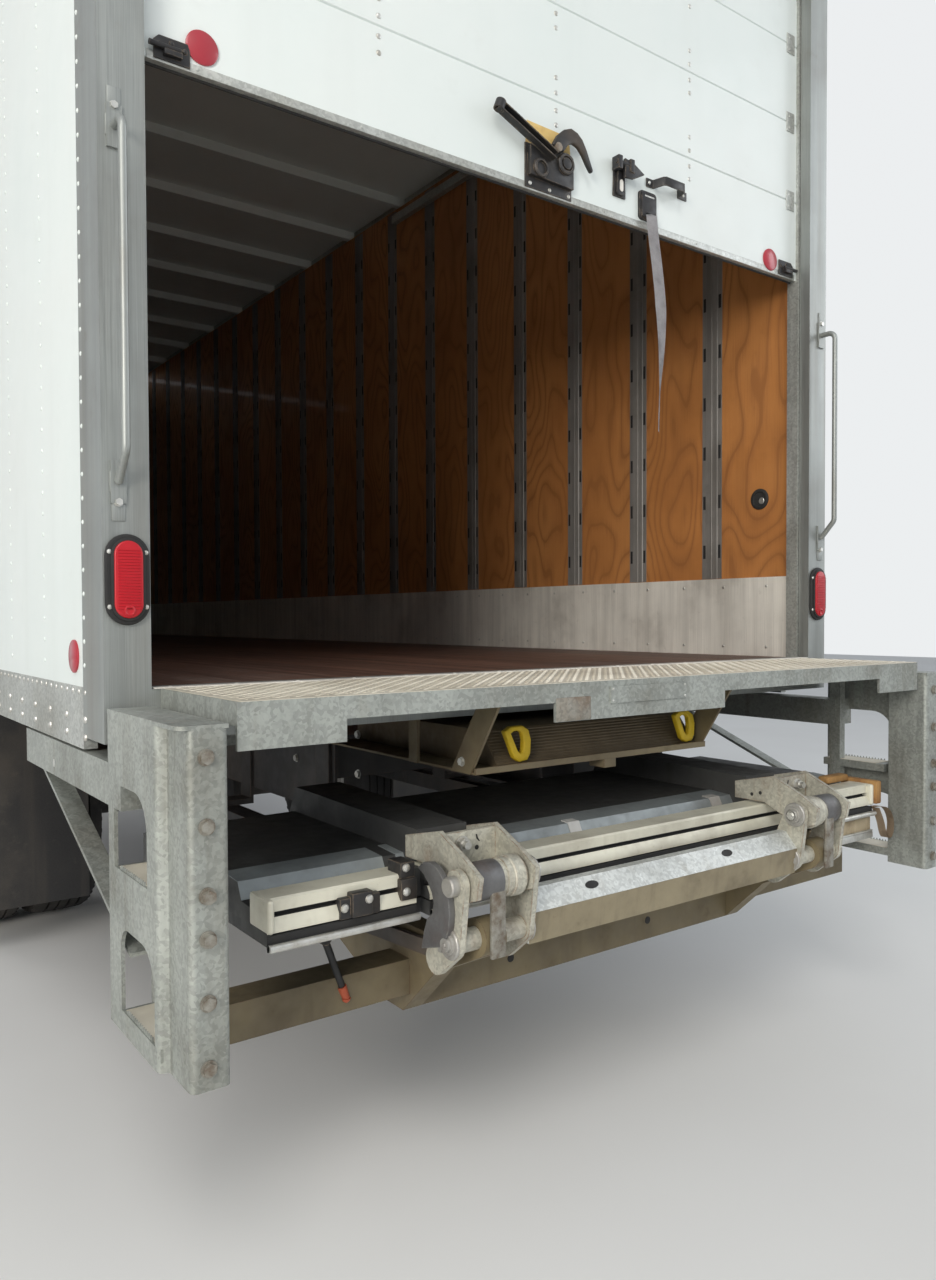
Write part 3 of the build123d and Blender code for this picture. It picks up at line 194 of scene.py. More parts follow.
def blank_material(name: str) -> tuple[bpy.types.Material, Wiring, bpy.types.Node]:
    """Make a node-based material, and return it with its wiring and its shader."""
    made = bpy.data.materials.new(name)
    made.use_nodes = True
    return made, Wiring(made.node_tree), made.node_tree.nodes["Principled BSDF"]


def mesh_data(name: str, mesh: bmesh.types.BMesh) -> bpy.types.Mesh:
    """Turn a mesh under construction into mesh data, and free it."""
    data = bpy.data.meshes.new(name)
    mesh.to_mesh(data)
    mesh.free()
    return data


def new_object(name: str, data: bpy.types.ID) -> bpy.types.Object:
    """Add an object to the scene and return it."""
    made = bpy.data.objects.new(name, data)
    bpy.context.scene.collection.objects.link(made)
    return made


@dataclass(frozen=True)
class Effect:
    """A shared shading effect, built once as a node group with named sockets."""

    name: str
    takes: tuple[tuple[str, Socket, object], ...]
    gives: tuple[tuple[str, Socket], ...]
    wire: Callable[[Wiring, bpy.types.Node, bpy.types.Node], None]

    def group(self) -> bpy.types.NodeTree:
        """Return the effect's node group, built at its first use."""
        found = bpy.data.node_groups.get(self.name)
        if found:
            return found
        tree = bpy.data.node_groups.new(self.name, "ShaderNodeTree")
        for name, kind, default in self.takes:
            socket = tree.interface.new_socket(name, in_out="INPUT", socket_type=kind.value)
            if default is not None:
                socket.default_value = default
        for name, kind in self.gives:
            tree.interface.new_socket(name, in_out="OUTPUT", socket_type=kind.value)
        wiring = Wiring(tree)
        self.wire(wiring, wiring.add("NodeGroupInput"), wiring.add("NodeGroupOutput"))
        return tree

    def place(self, wiring: Wiring, **values: object) -> bpy.types.Node:
        """Put the effect into a material.

        Args:
            wiring: the material's nodes.
            values: what each input takes, by its name with underscores for spaces.

        Returns:
            The group node.
        """
        node = wiring.add("Group", node_tree=self.group())
        for name, value in values.items():
            wiring.feed(node.inputs[name.replace("_", " ")], value)
        return node


def wire_grime(wiring: Wiring, source: bpy.types.Node, result: bpy.types.Node) -> None:
    """Blotches, speckles and streaks that run down a surface, laid over its colour."""
    vector = source.outputs["Vector"]
    scale = source.outputs["Scale"]
    blotch = wiring.noise(vector, scale, 5.0, 0.6)
    fine = wiring.noise(vector, wiring.times(scale, 9.0), 3.0, 0.6)
    streak = wiring.noise(wiring.stretch(vector, (1.0, 1.0, 0.06)), wiring.times(scale, 6.0), 3.0, 0.5)
    soiled = wiring.band(blotch, 0.48, 0.78)
    run = wiring.times(wiring.band(streak, 0.5, 0.78), source.outputs["Streaks"])
    speckle = wiring.times(wiring.band(fine, 0.6, 0.8), 0.5)
    dirt = wiring.math("MAXIMUM", wiring.plus(soiled, speckle), run)
    mask = wiring.times(dirt, source.outputs["Amount"])
    mask = wiring.math("MINIMUM", mask, 1.0)
    tone = wiring.mix(wiring.band(blotch, 0.3, 0.7), source.outputs["Colour"], source.outputs["Second"])
    wiring.feed(result.inputs["Colour"], wiring.mix(mask, tone, source.outputs["Soil"]))
    wiring.feed(result.inputs["Mask"], mask)
    wiring.feed(result.inputs["Fine"], fine)


GRIME = Effect(
    "Grime",
    (
        ("Vector", Socket.VECTOR, None),
        ("Colour", Socket.COLOUR, None),
        ("Second", Socket.COLOUR, None),
        ("Soil", Socket.COLOUR, None),
        ("Scale", Socket.VALUE, 2.0),
        ("Amount", Socket.VALUE, 0.5),
        ("Streaks", Socket.VALUE, 0.5),
    ),
    (("Colour", Socket.COLOUR), ("Mask", Socket.VALUE), ("Fine", Socket.VALUE)),
    wire_grime,
)


def wire_spangle(wiring: Wiring, source: bpy.types.Node, result: bpy.types.Node) -> None:
    """The crystal flakes of hot-dip zinc, as a light and dark factor with a small relief."""
    cells = wiring.add("TexVoronoi", feature="F1")
    wobble = wiring.add("TexNoise")
    wiring.feed(wobble.inputs["Vector"], source.outputs["Vector"])
    wobble.inputs["Scale"].default_value = 30.0
    shift = wiring.vector("SCALE", wobble.outputs["Color"])
    shift.inputs["Scale"].default_value = 0.02
    warped = wiring.vector("ADD", source.outputs["Vector"], shift.outputs[0])
    wiring.feed(cells.inputs["Vector"], warped.outputs[0])
    wiring.feed(cells.inputs["Scale"], source.outputs["Scale"])
    flake = wiring.add("SeparateColor")
    wiring.feed(flake.inputs[0], cells.outputs["Color"])
    drips = wiring.noise(wiring.stretch(source.outputs["Vector"], (1.0, 1.0, 0.12)), 45.0, 3.0, 0.6)
    tone = wiring.plus(wiring.times(flake.outputs[0], 0.6), wiring.times(drips, 0.4))
    wiring.feed(result.inputs["Tone"], tone)
    wiring.feed(result.inputs["Relief"], drips)


SPANGLE = Effect(
    "Zinc spangle",
    (("Vector", Socket.VECTOR, None), ("Scale", Socket.VALUE, 90.0)),
    (("Tone", Socket.VALUE), ("Relief", Socket.VALUE)),
    wire_spangle,
)


def wire_edges(wiring: Wiring, source: bpy.types.Node, result: bpy.types.Node) -> None:
    """Where a surface turns sharply, broken up by noise."""
    bevel = wiring.add("Bevel", samples=4)
    wiring.feed(bevel.inputs["Radius"], source.outputs["Radius"])
    face = wiring.add("NewGeometry")
    turn = wiring.vector("DOT_PRODUCT", bevel.outputs[0], face.outputs["Normal"])
    bare = wiring.band(turn.outputs["Value"], 0.99, 0.86)
    chips = wiring.band(wiring.noise(source.outputs["Vector"], 40.0, 5.0, 0.65), 0.38, 0.62)
    wiring.feed(result.inputs["Mask"], wiring.times(bare, chips))


EDGES = Effect(
    "Edge wear",
    (("Vector", Socket.VECTOR, None), ("Radius", Socket.VALUE, 0.004)),
    (("Mask", Socket.VALUE),),
    wire_edges,
)


@dataclass(frozen=True)
class Finish:
    """One surface finish, made into a node-based material."""

    name: str
    colour: Colour
    second: Colour
    soil: Colour = (0.10, 0.085, 0.065)
    scale: float = 2.0
    soiling: float = 0.3
    streaks: float = 0.5
    roughness: float = 0.5
    spread: float = 0.15
    metallic: float = 0.0
    coat: float = 0.0
    bump: float = 0.02
    pattern: Pattern = Pattern.PLAIN
    worn: Optional[Colour] = None

    def material(self) -> bpy.types.Material:
        """Return the finish's material, made at its first use."""
        found = bpy.data.materials.get(self.name)
        if found:
            return found
        made, wiring, shader = blank_material(self.name)
        vector = wiring.add("TexCoord").outputs["UV" if self.pattern is Pattern.WEAVE else "Object"]
        grime = GRIME.place(
            wiring, Vector=vector, Colour=self.colour, Second=self.second, Soil=self.soil,
            Scale=self.scale, Amount=self.soiling, Streaks=self.streaks,
        )
        colour = grime.outputs["Colour"]
        height = grime.outputs["Fine"]
        if self.pattern is not Pattern.PLAIN:
            colour, height = PATTERNS[self.pattern](wiring, vector, colour)
        if self.worn:
            worn = EDGES.place(wiring, Vector=vector).outputs["Mask"]
            colour = wiring.mix(worn, colour, self.worn)
        wiring.feed(shader.inputs["Base Color"], colour)
        wiring.feed(shader.inputs["Metallic"], self.metallic)
        roughest = min(self.roughness + self.spread * 2, 1.0)
        rough = wiring.band(grime.outputs["Mask"], 0.0, 1.0, self.roughness, roughest)
        fine = wiring.times(wiring.band(height, 0.3, 0.7), self.spread)
        wiring.feed(shader.inputs["Roughness"], wiring.plus(rough, fine))
        shader.inputs["Coat Weight"].default_value = self.coat
        shader.inputs["Coat Roughness"].default_value = 0.08
        relief = wiring.add("Bump")
        relief.inputs["Strength"].default_value = 0.6
        relief.inputs["Distance"].default_value = self.bump * 0.05
        wiring.feed(relief.inputs["Height"], height)
        wiring.feed(shader.inputs["Normal"], relief.outputs[0])
        return made


def spangle_look(wiring: Wiring, vector: object, colour: object) -> tuple[object, object]:
    """Lay zinc flakes and drips over a colour; returns the colour and the relief."""
    flakes = SPANGLE.place(wiring, Vector=vector, Scale=150.0)
    tone = wiring.band(flakes.outputs["Tone"], 0.2, 0.8, 0.82, 1.08)
    return wiring.shaded(colour, tone), flakes.outputs["Relief"]


def brushed_look(wiring: Wiring, vector: object, colour: object) -> tuple[object, object]:
    """Draw fine upright brush lines over a colour; returns the colour and the relief."""
    lines = wiring.noise(wiring.stretch(vector, (1.0, 1.0, 0.01)), 420.0, 3.0, 0.6)
    broad = wiring.noise(wiring.stretch(vector, (1.0, 1.0, 0.04)), 22.0, 2.0, 0.5)
    both = wiring.plus(wiring.times(lines, 0.5), wiring.times(broad, 0.5))
    tone = wiring.band(both, 0.3, 0.7, 0.8, 1.1)
    return wiring.shaded(colour, tone), lines


def plywood_look(wiring: Wiring, vector: object, colour: object) -> tuple[object, object]:
    """Draw the flame grain and small knots of rotary-cut plywood; returns the colour and the relief."""
    warp = wiring.add("TexNoise")
    wiring.feed(warp.inputs["Vector"], wiring.stretch(vector, (1.0, 1.0, 0.35)))
    warp.inputs["Scale"].default_value = 2.2
    warp.inputs["Detail"].default_value = 2.0
    rings = wiring.math("FRACT", wiring.times(warp.outputs["Fac"], 24.0))
    ring_edge = wiring.math("ABSOLUTE", wiring.math("SUBTRACT", rings, 0.5))
    lines = wiring.times(wiring.band(ring_edge, 0.40, 0.49), 0.32)
    flame = wiring.plus(lines, wiring.times(wiring.band(ring_edge, 0.05, 0.45), 0.24))
    fibre = wiring.noise(wiring.stretch(vector, (1.0, 1.0, 0.03)), 160.0, 4.0, 0.7)
    grain = wiring.plus(flame, wiring.times(fibre, 0.72))
    dark = wiring.mix(wiring.band(grain, 0.3, 0.9, 0.0, 0.55), colour, (0.20, 0.07, 0.02))
    panels = wiring.noise(wiring.stretch(vector, (0.0, 1.0, 0.0)), 2.4, 0.0, 0.0)
    return wiring.mix(wiring.band(panels, 0.35, 0.65, 0.0, 0.35), dark, (0.42, 0.17, 0.05)), grain


def planks_look(wiring: Wiring, vector: object, colour: object) -> tuple[object, object]:
    """Divide a deck into narrow laminated strips with fine joints; returns the colour and the relief."""
    across = wiring.times(wiring.split(vector)[0], 28.0)
    strip = wiring.math("FLOOR", across)
    off_middle = wiring.math("SUBTRACT", wiring.math("FRACT", across), 0.5)
    joint = wiring.band(wiring.math("ABSOLUTE", off_middle), 0.44, 0.5)
    tone = wiring.add("TexWhiteNoise", noise_dimensions="1D")
    wiring.feed(tone.inputs["W"], strip)
    fibre = wiring.noise(wiring.stretch(vector, (1.0, 0.03, 1.0)), 120.0, 4.0, 0.7)
    shade = wiring.plus(wiring.times(tone.outputs[0], 0.5), wiring.times(fibre, 0.6))
    wood = wiring.mix(wiring.band(shade, 0.2, 0.9), colour, (0.06, 0.028, 0.018))
    return wiring.mix(joint, wood, (0.015, 0.01, 0.008)), wiring.math("SUBTRACT", fibre, joint)


def weave_look(wiring: Wiring, vector: object, colour: object) -> tuple[object, object]:
    """Cross fine warp and weft threads on the piece's own map; returns the colour and the relief."""
    parts = wiring.split(vector)
    warp, weft = (wiring.math("SINE", wiring.times(part, 1400.0)) for part in (parts[0], parts[1]))
    thread = wiring.times(warp, weft)
    return wiring.mix(wiring.band(thread, -1.0, 1.0, 0.0, 0.25), colour, (0.02, 0.02, 0.02)), thread


def cast_look(wiring: Wiring, vector: object, colour: object) -> tuple[object, object]:
    """Roughen a surface as a casting or moulded rubber; returns the colour and the relief."""
    return colour, wiring.noise(vector, 260.0, 3.0, 0.6)


PATTERNS = {
    Pattern.SPANGLE: spangle_look,
    Pattern.BRUSHED: brushed_look,
    Pattern.PLYWOOD: plywood_look,
    Pattern.PLANKS: planks_look,
    Pattern.WEAVE: weave_look,
    Pattern.CAST: cast_look,
}


class Finishes(Enum):
    """Every finish on the truck."""

    FRAME = Finish("Frame black", (0.02, 0.02, 0.022), (0.045, 0.04, 0.036), (0.16, 0.12, 0.085), 1.6, 0.5,
                   0.4, 0.5, 0.2, worn=(0.12, 0.07, 0.045))
    MASS = Finish("Cast iron", (0.11, 0.11, 0.115), (0.16, 0.155, 0.15), scale=3.0, soiling=0.6,
                  roughness=0.6, metallic=0.4, bump=0.05, pattern=Pattern.CAST)
    TANK = Finish("Tank aluminium", (0.62, 0.63, 0.64), (0.52, 0.53, 0.54), soiling=0.25, roughness=0.22,
                  metallic=0.9, pattern=Pattern.BRUSHED)
    CAB = Finish("Cab white", (0.74, 0.76, 0.75), (0.70, 0.73, 0.72), (0.42, 0.40, 0.35), 1.2, 0.22, 0.5,
                 0.25, 0.12, coat=0.5, bump=0.004)
    TRIM = Finish("Cab trim", (0.035, 0.035, 0.038), (0.05, 0.05, 0.052), soiling=0.15, roughness=0.6,
                  bump=0.03, pattern=Pattern.CAST)
    BUMPER = Finish("Bumper paint", (0.62, 0.64, 0.64), (0.56, 0.58, 0.58), soiling=0.25, roughness=0.3,
                    coat=0.3)
    DECK = Finish("Deck hardwood", (0.17, 0.085, 0.055), (0.11, 0.055, 0.04), (0.19, 0.165, 0.14), 1.4,
                  0.55, 0.0, 0.42, 0.2, bump=0.03, pattern=Pattern.PLANKS)
    BODY = Finish("Body white", (0.70, 0.755, 0.735), (0.74, 0.78, 0.76), (0.46, 0.47, 0.43), 1.1, 0.16,
                  0.55, 0.45, 0.12, coat=0.10, bump=0.006)
    PLYWOOD = Finish("Plywood lining", (0.56, 0.245, 0.078), (0.44, 0.175, 0.05), (0.20, 0.09, 0.035), 1.6,
                     0.35, 0.5, 0.42, 0.15, coat=0.15, bump=0.02, pattern=Pattern.PLYWOOD)
    SCUFF = Finish("Scuff plate", (0.82, 0.79, 0.72), (0.70, 0.67, 0.61), (0.22, 0.19, 0.15), 3.0, 0.4, 0.5,
                   0.42, 0.2, metallic=0.15, pattern=Pattern.BRUSHED)
    STAINLESS = Finish("Stainless post", (0.36, 0.38, 0.365), (0.285, 0.30, 0.29), (0.22, 0.185, 0.14), 1.5,
                       0.35, 0.8, 0.40, 0.14, metallic=0.6, pattern=Pattern.BRUSHED, bump=0.01)
    RAIL = Finish("Rail aluminium", (0.52, 0.535, 0.51), (0.42, 0.43, 0.40), (0.24, 0.22, 0.18), 2.4, 0.4,
                  0.6, 0.42, 0.18, metallic=0.6, pattern=Pattern.SPANGLE, bump=0.01)
    HARDWARE = Finish("Black hardware", (0.018, 0.018, 0.02), (0.03, 0.029, 0.028), (0.13, 0.085, 0.05),
                      6.0, 0.35, 0.3, 0.4, 0.2, metallic=0.2, worn=(0.22, 0.17, 0.12))
    WEBBING = Finish("Strap webbing", (0.84, 0.82, 0.83), (0.62, 0.60, 0.62), (0.34, 0.32, 0.32), 14.0, 0.5,
                     0.4, 0.85, 0.1, bump=0.05, pattern=Pattern.WEAVE)
    PALE_WEBBING = Finish("Faded webbing", (0.52, 0.40, 0.28), (0.42, 0.32, 0.22), (0.22, 0.16, 0.11), 14.0,
                          0.4, 0.2, 0.85, 0.1, bump=0.05, pattern=Pattern.WEAVE)
    SEAT = Finish("Seat cloth", (0.055, 0.06, 0.075), (0.075, 0.08, 0.095), soiling=0.15, roughness=0.9,
                  bump=0.03, pattern=Pattern.CAST)
    GALVANISED = Finish("Galvanised steel", (0.40, 0.42, 0.39), (0.29, 0.305, 0.28), (0.185, 0.165, 0.125),
                        3.4, 0.45, 0.9, 0.42, 0.2, metallic=0.5, pattern=Pattern.SPANGLE, bump=0.02)
    RUSTY = Finish("Weathered steel", (0.34, 0.335, 0.30), (0.25, 0.215, 0.17), (0.17, 0.075, 0.03), 7.0,
                   0.7, 0.6, 0.45, 0.25, metallic=0.55, pattern=Pattern.SPANGLE, bump=0.03)
    TREAD = Finish("Tread plate", (0.80, 0.75, 0.63), (0.66, 0.61, 0.50), (0.26, 0.22, 0.16), 3.0, 0.3, 0.0,
                   0.45, 0.2, metallic=0.4, bump=0.02)
    BEAM = Finish("Beam paint", (0.205, 0.165, 0.092), (0.145, 0.115, 0.065), (0.075, 0.058, 0.04), 2.4,
                  0.6, 0.7, 0.5, 0.18, worn=(0.10, 0.05, 0.028))
    CREAM = Finish("Cream profile", (0.72, 0.70, 0.58), (0.62, 0.60, 0.50), (0.26, 0.21, 0.14), 5.0, 0.35,
                   0.4, 0.38, 0.16, metallic=0.2, bump=0.01)
    # Painted shade: the platform's alloy is coloured near black to stand in for the shade over its top
    SHADED_ALLOY = Finish("Platform alloy painted dark as shade", (0.055, 0.056, 0.056), (0.095, 0.096, 0.094), (0.028, 0.024, 0.019),
                   2.2, 0.65, 0.5, 0.5, 0.18, metallic=0.45, bump=0.02)
    FLAP = Finish("Flap rubber", (0.02, 0.02, 0.021), (0.032, 0.031, 0.03), (0.12, 0.10, 0.08), 2.0, 0.45,
                  0.6, 0.7, 0.15, bump=0.02, pattern=Pattern.CAST)
    TYRE = Finish("Tyre rubber", (0.022, 0.022, 0.023), (0.038, 0.036, 0.034), (0.13, 0.11, 0.09), 3.0, 0.5,
                  0.0, 0.72, 0.15, bump=0.03, pattern=Pattern.CAST)
    WHEEL = Finish("Wheel white", (0.62, 0.62, 0.60), (0.52, 0.52, 0.50), (0.14, 0.10, 0.07), 4.0, 0.5, 0.4,
                   0.4, 0.2)
    LENS_RED = Finish("Red lens", (0.50, 0.003, 0.012), (0.38, 0.002, 0.01), soiling=0.06, roughness=0.3,
                      coat=0.12, bump=0.0)
    LENS_AMBER = Finish("Amber lens", (0.75, 0.22, 0.01), (0.65, 0.17, 0.01), soiling=0.08, roughness=0.12,
                        coat=1.0, bump=0.0)
    REFLECTOR = Finish("Red reflector", (0.42, 0.012, 0.03), (0.36, 0.02, 0.035), soiling=0.1,
                       roughness=0.3, coat=0.4, bump=0.0)
    YELLOW = Finish("Yellow grip", (0.62, 0.43, 0.015), (0.50, 0.34, 0.012), (0.12, 0.08, 0.02), 12.0, 0.4,
                    0.0, 0.55, 0.15)
    ORANGE = Finish("Orange tip", (0.55, 0.10, 0.03), (0.45, 0.08, 0.03), soiling=0.3, roughness=0.5)
    ZINC = Finish("Bright zinc", (0.66, 0.66, 0.63), (0.52, 0.51, 0.47), (0.22, 0.17, 0.10), 20.0, 0.35,
                  0.2, 0.3, 0.2, metallic=0.8)
    OLD_BOLT = Finish("Weathered bolt", (0.34, 0.33, 0.29), (0.20, 0.175, 0.14), (0.14, 0.085, 0.05), 40.0,
                      0.6, 0.2, 0.4, 0.2, metallic=0.55)
    BAR = Finish("Pale zinc bar", (0.62, 0.64, 0.62), (0.47, 0.49, 0.475), (0.26, 0.23, 0.18), 3.4, 0.35,
                 0.9, 0.42, 0.2, metallic=0.35, pattern=Pattern.SPANGLE, bump=0.02)
    SEAL = Finish("Black seal", (0.012, 0.012, 0.013), (0.02, 0.02, 0.02), soiling=0.2, roughness=0.65)
    END_TIMBER = Finish("Stained end timber", (0.44, 0.25, 0.09), (0.33, 0.16, 0.055), (0.16, 0.08, 0.035),
                        16.0, 0.6, 0.4, 0.75, 0.1, pattern=Pattern.BRUSHED, bump=0.02)
    OLD_BOARD = Finish("Old board", (0.50, 0.41, 0.27), (0.37, 0.29, 0.18), (0.15, 0.11, 0.07), 14.0, 0.5,
                       0.3, 0.8, 0.1, pattern=Pattern.BRUSHED, bump=0.02)
    LINING_POST = Finish("Slotted post", (0.27, 0.255, 0.24), (0.21, 0.20, 0.185), (0.11, 0.09, 0.075), 3.0,
                         0.4, 0.6, 0.45, 0.15, metallic=0.2, pattern=Pattern.BRUSHED, bump=0.01)
    YELLOW_FILM = Finish("Faded yellow film", (0.74, 0.53, 0.20), (0.64, 0.43, 0.14), (0.38, 0.28, 0.16),
                         18.0, 0.45, 0.2, 0.6, 0.1)
    EDGE_GREY = Finish("Grey profile", (0.34, 0.375, 0.385), (0.27, 0.30, 0.31), (0.13, 0.12, 0.10), 4.0,
                       0.35, 0.3, 0.42, 0.18, metallic=0.35, bump=0.01)
    DARK_STEEL = Finish("Dark steel", (0.165, 0.165, 0.165), (0.115, 0.115, 0.12), (0.12, 0.075, 0.045),
                        9.0, 0.5, 0.3, 0.42, 0.2, metallic=0.45, bump=0.03, worn=(0.34, 0.33, 0.31))
    PIN_STEEL = Finish("Worn pin steel", (0.46, 0.45, 0.42), (0.34, 0.33, 0.31), (0.20, 0.13, 0.09), 16.0,
                       0.4, 0.3, 0.38, 0.22, metallic=0.55, bump=0.03)
    CHEEK = Finish("Weathered zinc", (0.56, 0.545, 0.46), (0.45, 0.44, 0.375), (0.22, 0.12, 0.06), 8.0, 0.5,
                   0.5, 0.45, 0.2, metallic=0.35, pattern=Pattern.SPANGLE, bump=0.02,
                   worn=(0.24, 0.12, 0.06))
    # The bar's lower face is coloured darker and browner than the rest of the bar
    BAR_LOWER_TONE = Finish("Darker bar face", (0.30, 0.255, 0.165), (0.22, 0.185, 0.12), (0.10, 0.08, 0.055), 5.0,
                      0.55, 0.6, 0.6, 0.15, metallic=0.1)
    RAMP = Finish("Ramp boards", (0.14, 0.105, 0.062), (0.095, 0.07, 0.04), (0.05, 0.038, 0.025), 6.0, 0.5,
                  0.2, 0.6, 0.15, metallic=0.1)
    MIRROR = Finish("Mirror glass", (0.85, 0.86, 0.87), (0.80, 0.81, 0.82), soiling=0.05, roughness=0.03,
                    metallic=1.0, bump=0.0)
    REFLECTOR_BOWL = Finish("Lamp bowl", (0.7, 0.7, 0.7), (0.62, 0.62, 0.62), soiling=0.0, roughness=0.12,
                            metallic=1.0, bump=0.0)


class Glazing(Enum):
    """Clear finishes, with their tint and how rough they are."""

    WINDOW = ("Window glass", (0.55, 0.62, 0.60), 0.02)
    LAMP = ("Lamp glass", (0.95, 0.96, 0.97), 0.03)

    def material(self) -> bpy.types.Material:
        """Return the glass material, made at its first use."""
        name, tint, roughness = self.value
        found = bpy.data.materials.get(name)
        if found:
            return found
        made, wiring, shader = blank_material(name)
        vector = wiring.add("TexCoord").outputs["Object"]
        film = wiring.noise(vector, 3.0, 5.0, 0.6)
        dusty = wiring.mix(wiring.band(film, 0.55, 0.8, 0.0, 0.25), tint, (0.5, 0.48, 0.42))
        wiring.feed(shader.inputs["Base Color"], dusty)
        wiring.feed(shader.inputs["Roughness"], wiring.band(film, 0.5, 0.8, roughness, roughness + 0.12))
        shader.inputs["Transmission Weight"].default_value = 1.0
        shader.inputs["IOR"].default_value = 1.45
        return made


Surface = Finishes | Glazing


class Shape:
    """A mesh under construction, in metres in the truck's own frame, with its Y from a place on it."""

    # A bolt's washer, as shares of the bolt's height and width across
    WASHER_HEIGHT = 0.25
    WASHER_RADIUS = 0.62
    # A rivet head's shoulder and the flat on its top, as shares of its height and radius
    SHOULDER_HEIGHT = 0.55
    SHOULDER_RADIUS = 0.82
    CROWN_RADIUS = 0.35

    def __init__(self, start: float = 0.0) -> None:
        """Start an empty mesh, whose Y is measured from a start along the truck."""
        self.mesh = bmesh.new()
        self.start = start

    def block(self, low: Point, high: Point) -> Vertices:
        """Add a box between two corners and return its vertices."""
        low, high = Vector(low), Vector(high)
        made = bmesh.ops.create_cube(self.mesh, size=1.0)["verts"]
        bmesh.ops.scale(self.mesh, vec=high - low, verts=made)
        bmesh.ops.translate(self.mesh, vec=(low + high) / 2, verts=made)
        return made

    def rod(self, start: Point, end: Point, radius: float, segments: int = 16,
            tip: Optional[float] = None) -> Vertices:
        """Add a round bar, or a cone with another radius at its tip.

        Args:
            start: the middle of its first end.
            end: the middle of its other end.
            radius: its radius at the first end.
            segments: how many sides it has.
            tip: its radius at the other end, where that differs.

        Returns:
            Its vertices.
        """
        start, end = Vector(start), Vector(end)
        line = end - start
        made = bmesh.ops.create_cone(
            self.mesh, cap_ends=True, segments=segments, radius1=radius,
            radius2=radius if tip is None else tip, depth=line.length,
        )["verts"]
        turn = Vector((0, 0, 1)).rotation_difference(line).to_matrix()
        bmesh.ops.rotate(self.mesh, verts=made, cent=(0, 0, 0), matrix=turn)
        bmesh.ops.translate(self.mesh, vec=(start + end) / 2, verts=made)
        return made

    def plate(self, outline: Sequence[Flat], axis: Axis, low: float, high: float) -> Vertices:
        """Add a flat plate from its outline.

        Args:
            outline: corners along the two other axes, in X, Y, Z order.
            axis: the axis that the plate's thickness lies along.
            low: where its first face lies on that axis.
            high: where its other face lies.

        Returns:
            Its vertices.
        """
        places = {
            Axis.X: lambda a, b: (low, a, b),
            Axis.Y: lambda a, b: (a, low, b),
            Axis.Z: lambda a, b: (a, b, low),
        }
        corners = [self.mesh.verts.new(places[axis](a, b)) for a, b in outline]
        face = self.mesh.faces.new(corners)
        grown = bmesh.ops.extrude_face_region(self.mesh, geom=[face])["geom"]
        moved = [item for item in grown if isinstance(item, bmesh.types.BMVert)]
        bmesh.ops.translate(self.mesh, vec=Vector(axis.value) * (high - low), verts=moved)
        return corners + moved

    def turned(self, profile: Sequence[Flat], centre: Point, axis: Axis,
               segments: int = 32, closed: bool = False) -> Vertices:
        """Spin a profile about an axis.

        Args:
            profile: (place along the axis, radius) points.
            centre: a point on the axis.
            axis: the axis that it turns about.
            segments: how many steps make the full turn.
            closed: whether the profile's last point joins its first.

        Returns:
            The new vertices.
        """
        along = Vector(axis.value)
        out = Vector(Axis.Z.value if axis is not Axis.Z else Axis.X.value)
        middle = Vector(centre)
        points = [self.mesh.verts.new(middle + along * place + out * radius) for place, radius in profile]
        pairs = list(zip(points, points[1:])) + ([(points[-1], points[0])] if closed else [])
        edges = [self.mesh.edges.new(pair) for pair in pairs]
        before = set(self.mesh.verts)
        bmesh.ops.spin(self.mesh, geom=points + edges, cent=middle, axis=along, angle=math.tau,
                       steps=segments, use_merge=True, use_duplicate=False)
        made = [vertex for vertex in self.mesh.verts if vertex not in before] + points
        bmesh.ops.remove_doubles(self.mesh, verts=made, dist=1e-6)
        return [vertex for vertex in made if vertex.is_valid]

    def hexagon(self, centre: Point, facing: Axis, size: float, height: float) -> Vertices:
        """Add a hexagon bolt head on its washer, and return its vertices."""
        centre = Vector(centre)
        out = Vector(facing.value)
        washer_end = centre + out * abs(height) * math.copysign(self.WASHER_HEIGHT, height)
        washer = self.rod(centre, washer_end, size * self.WASHER_RADIUS, 16)
        return washer + self.rod(centre, centre + out * height, size / 2, 6)

    def dome(self, centre: Point, facing: Axis | Point, radius: float, height: float,
             segments: int = 8) -> Vertices:
        """Add a low rivet head that faces along an axis or a direction, and return its vertices."""
        centre, out = Vector(centre), Vector(facing.value if isinstance(facing, Axis) else facing)
        shoulder = centre + out * height * self.SHOULDER_HEIGHT
        crown = centre + out * height
        waist = radius * self.SHOULDER_RADIUS
        lower = self.rod(centre, shoulder, radius, segments, waist)
        return lower + self.rod(shoulder, crown, waist, segments, radius * self.CROWN_RADIUS)

    def reflector(self, centre: Point, axis: Axis) -> Vertices:
        """Add a round reflector, and return its vertices."""
        return self.turned([(0.0, 0.038), (0.004, 0.038), (0.006, 0.035), (0.0065, 0.0)], centre, axis)

    def bevel(self, width: float, segments: int = 2, over: float = 40.0,
              vertices: Optional[Iterable[bmesh.types.BMVert]] = None) -> None:
        """Round the sharp edges.

        Args:
            width: the bevel's width.
            segments: how many steps round it.
            over: the least turn, in degrees, of an edge that is rounded.
            vertices: the vertices whose edges count, or all of them.
        """
        known = set(vertices) if vertices is not None else None
        self.mesh.normal_update()
        sharp = [
            edge for edge in self.mesh.edges
            if len(edge.link_faces) == 2 and edge.calc_face_angle(0.0) > math.radians(over)
            and (known is None or edge.verts[0] in known)
        ]
        bmesh.ops.bevel(self.mesh, geom=sharp, offset=width, affect="EDGES", segments=segments, profile=0.5,
                        material=-1, clamp_overlap=True)

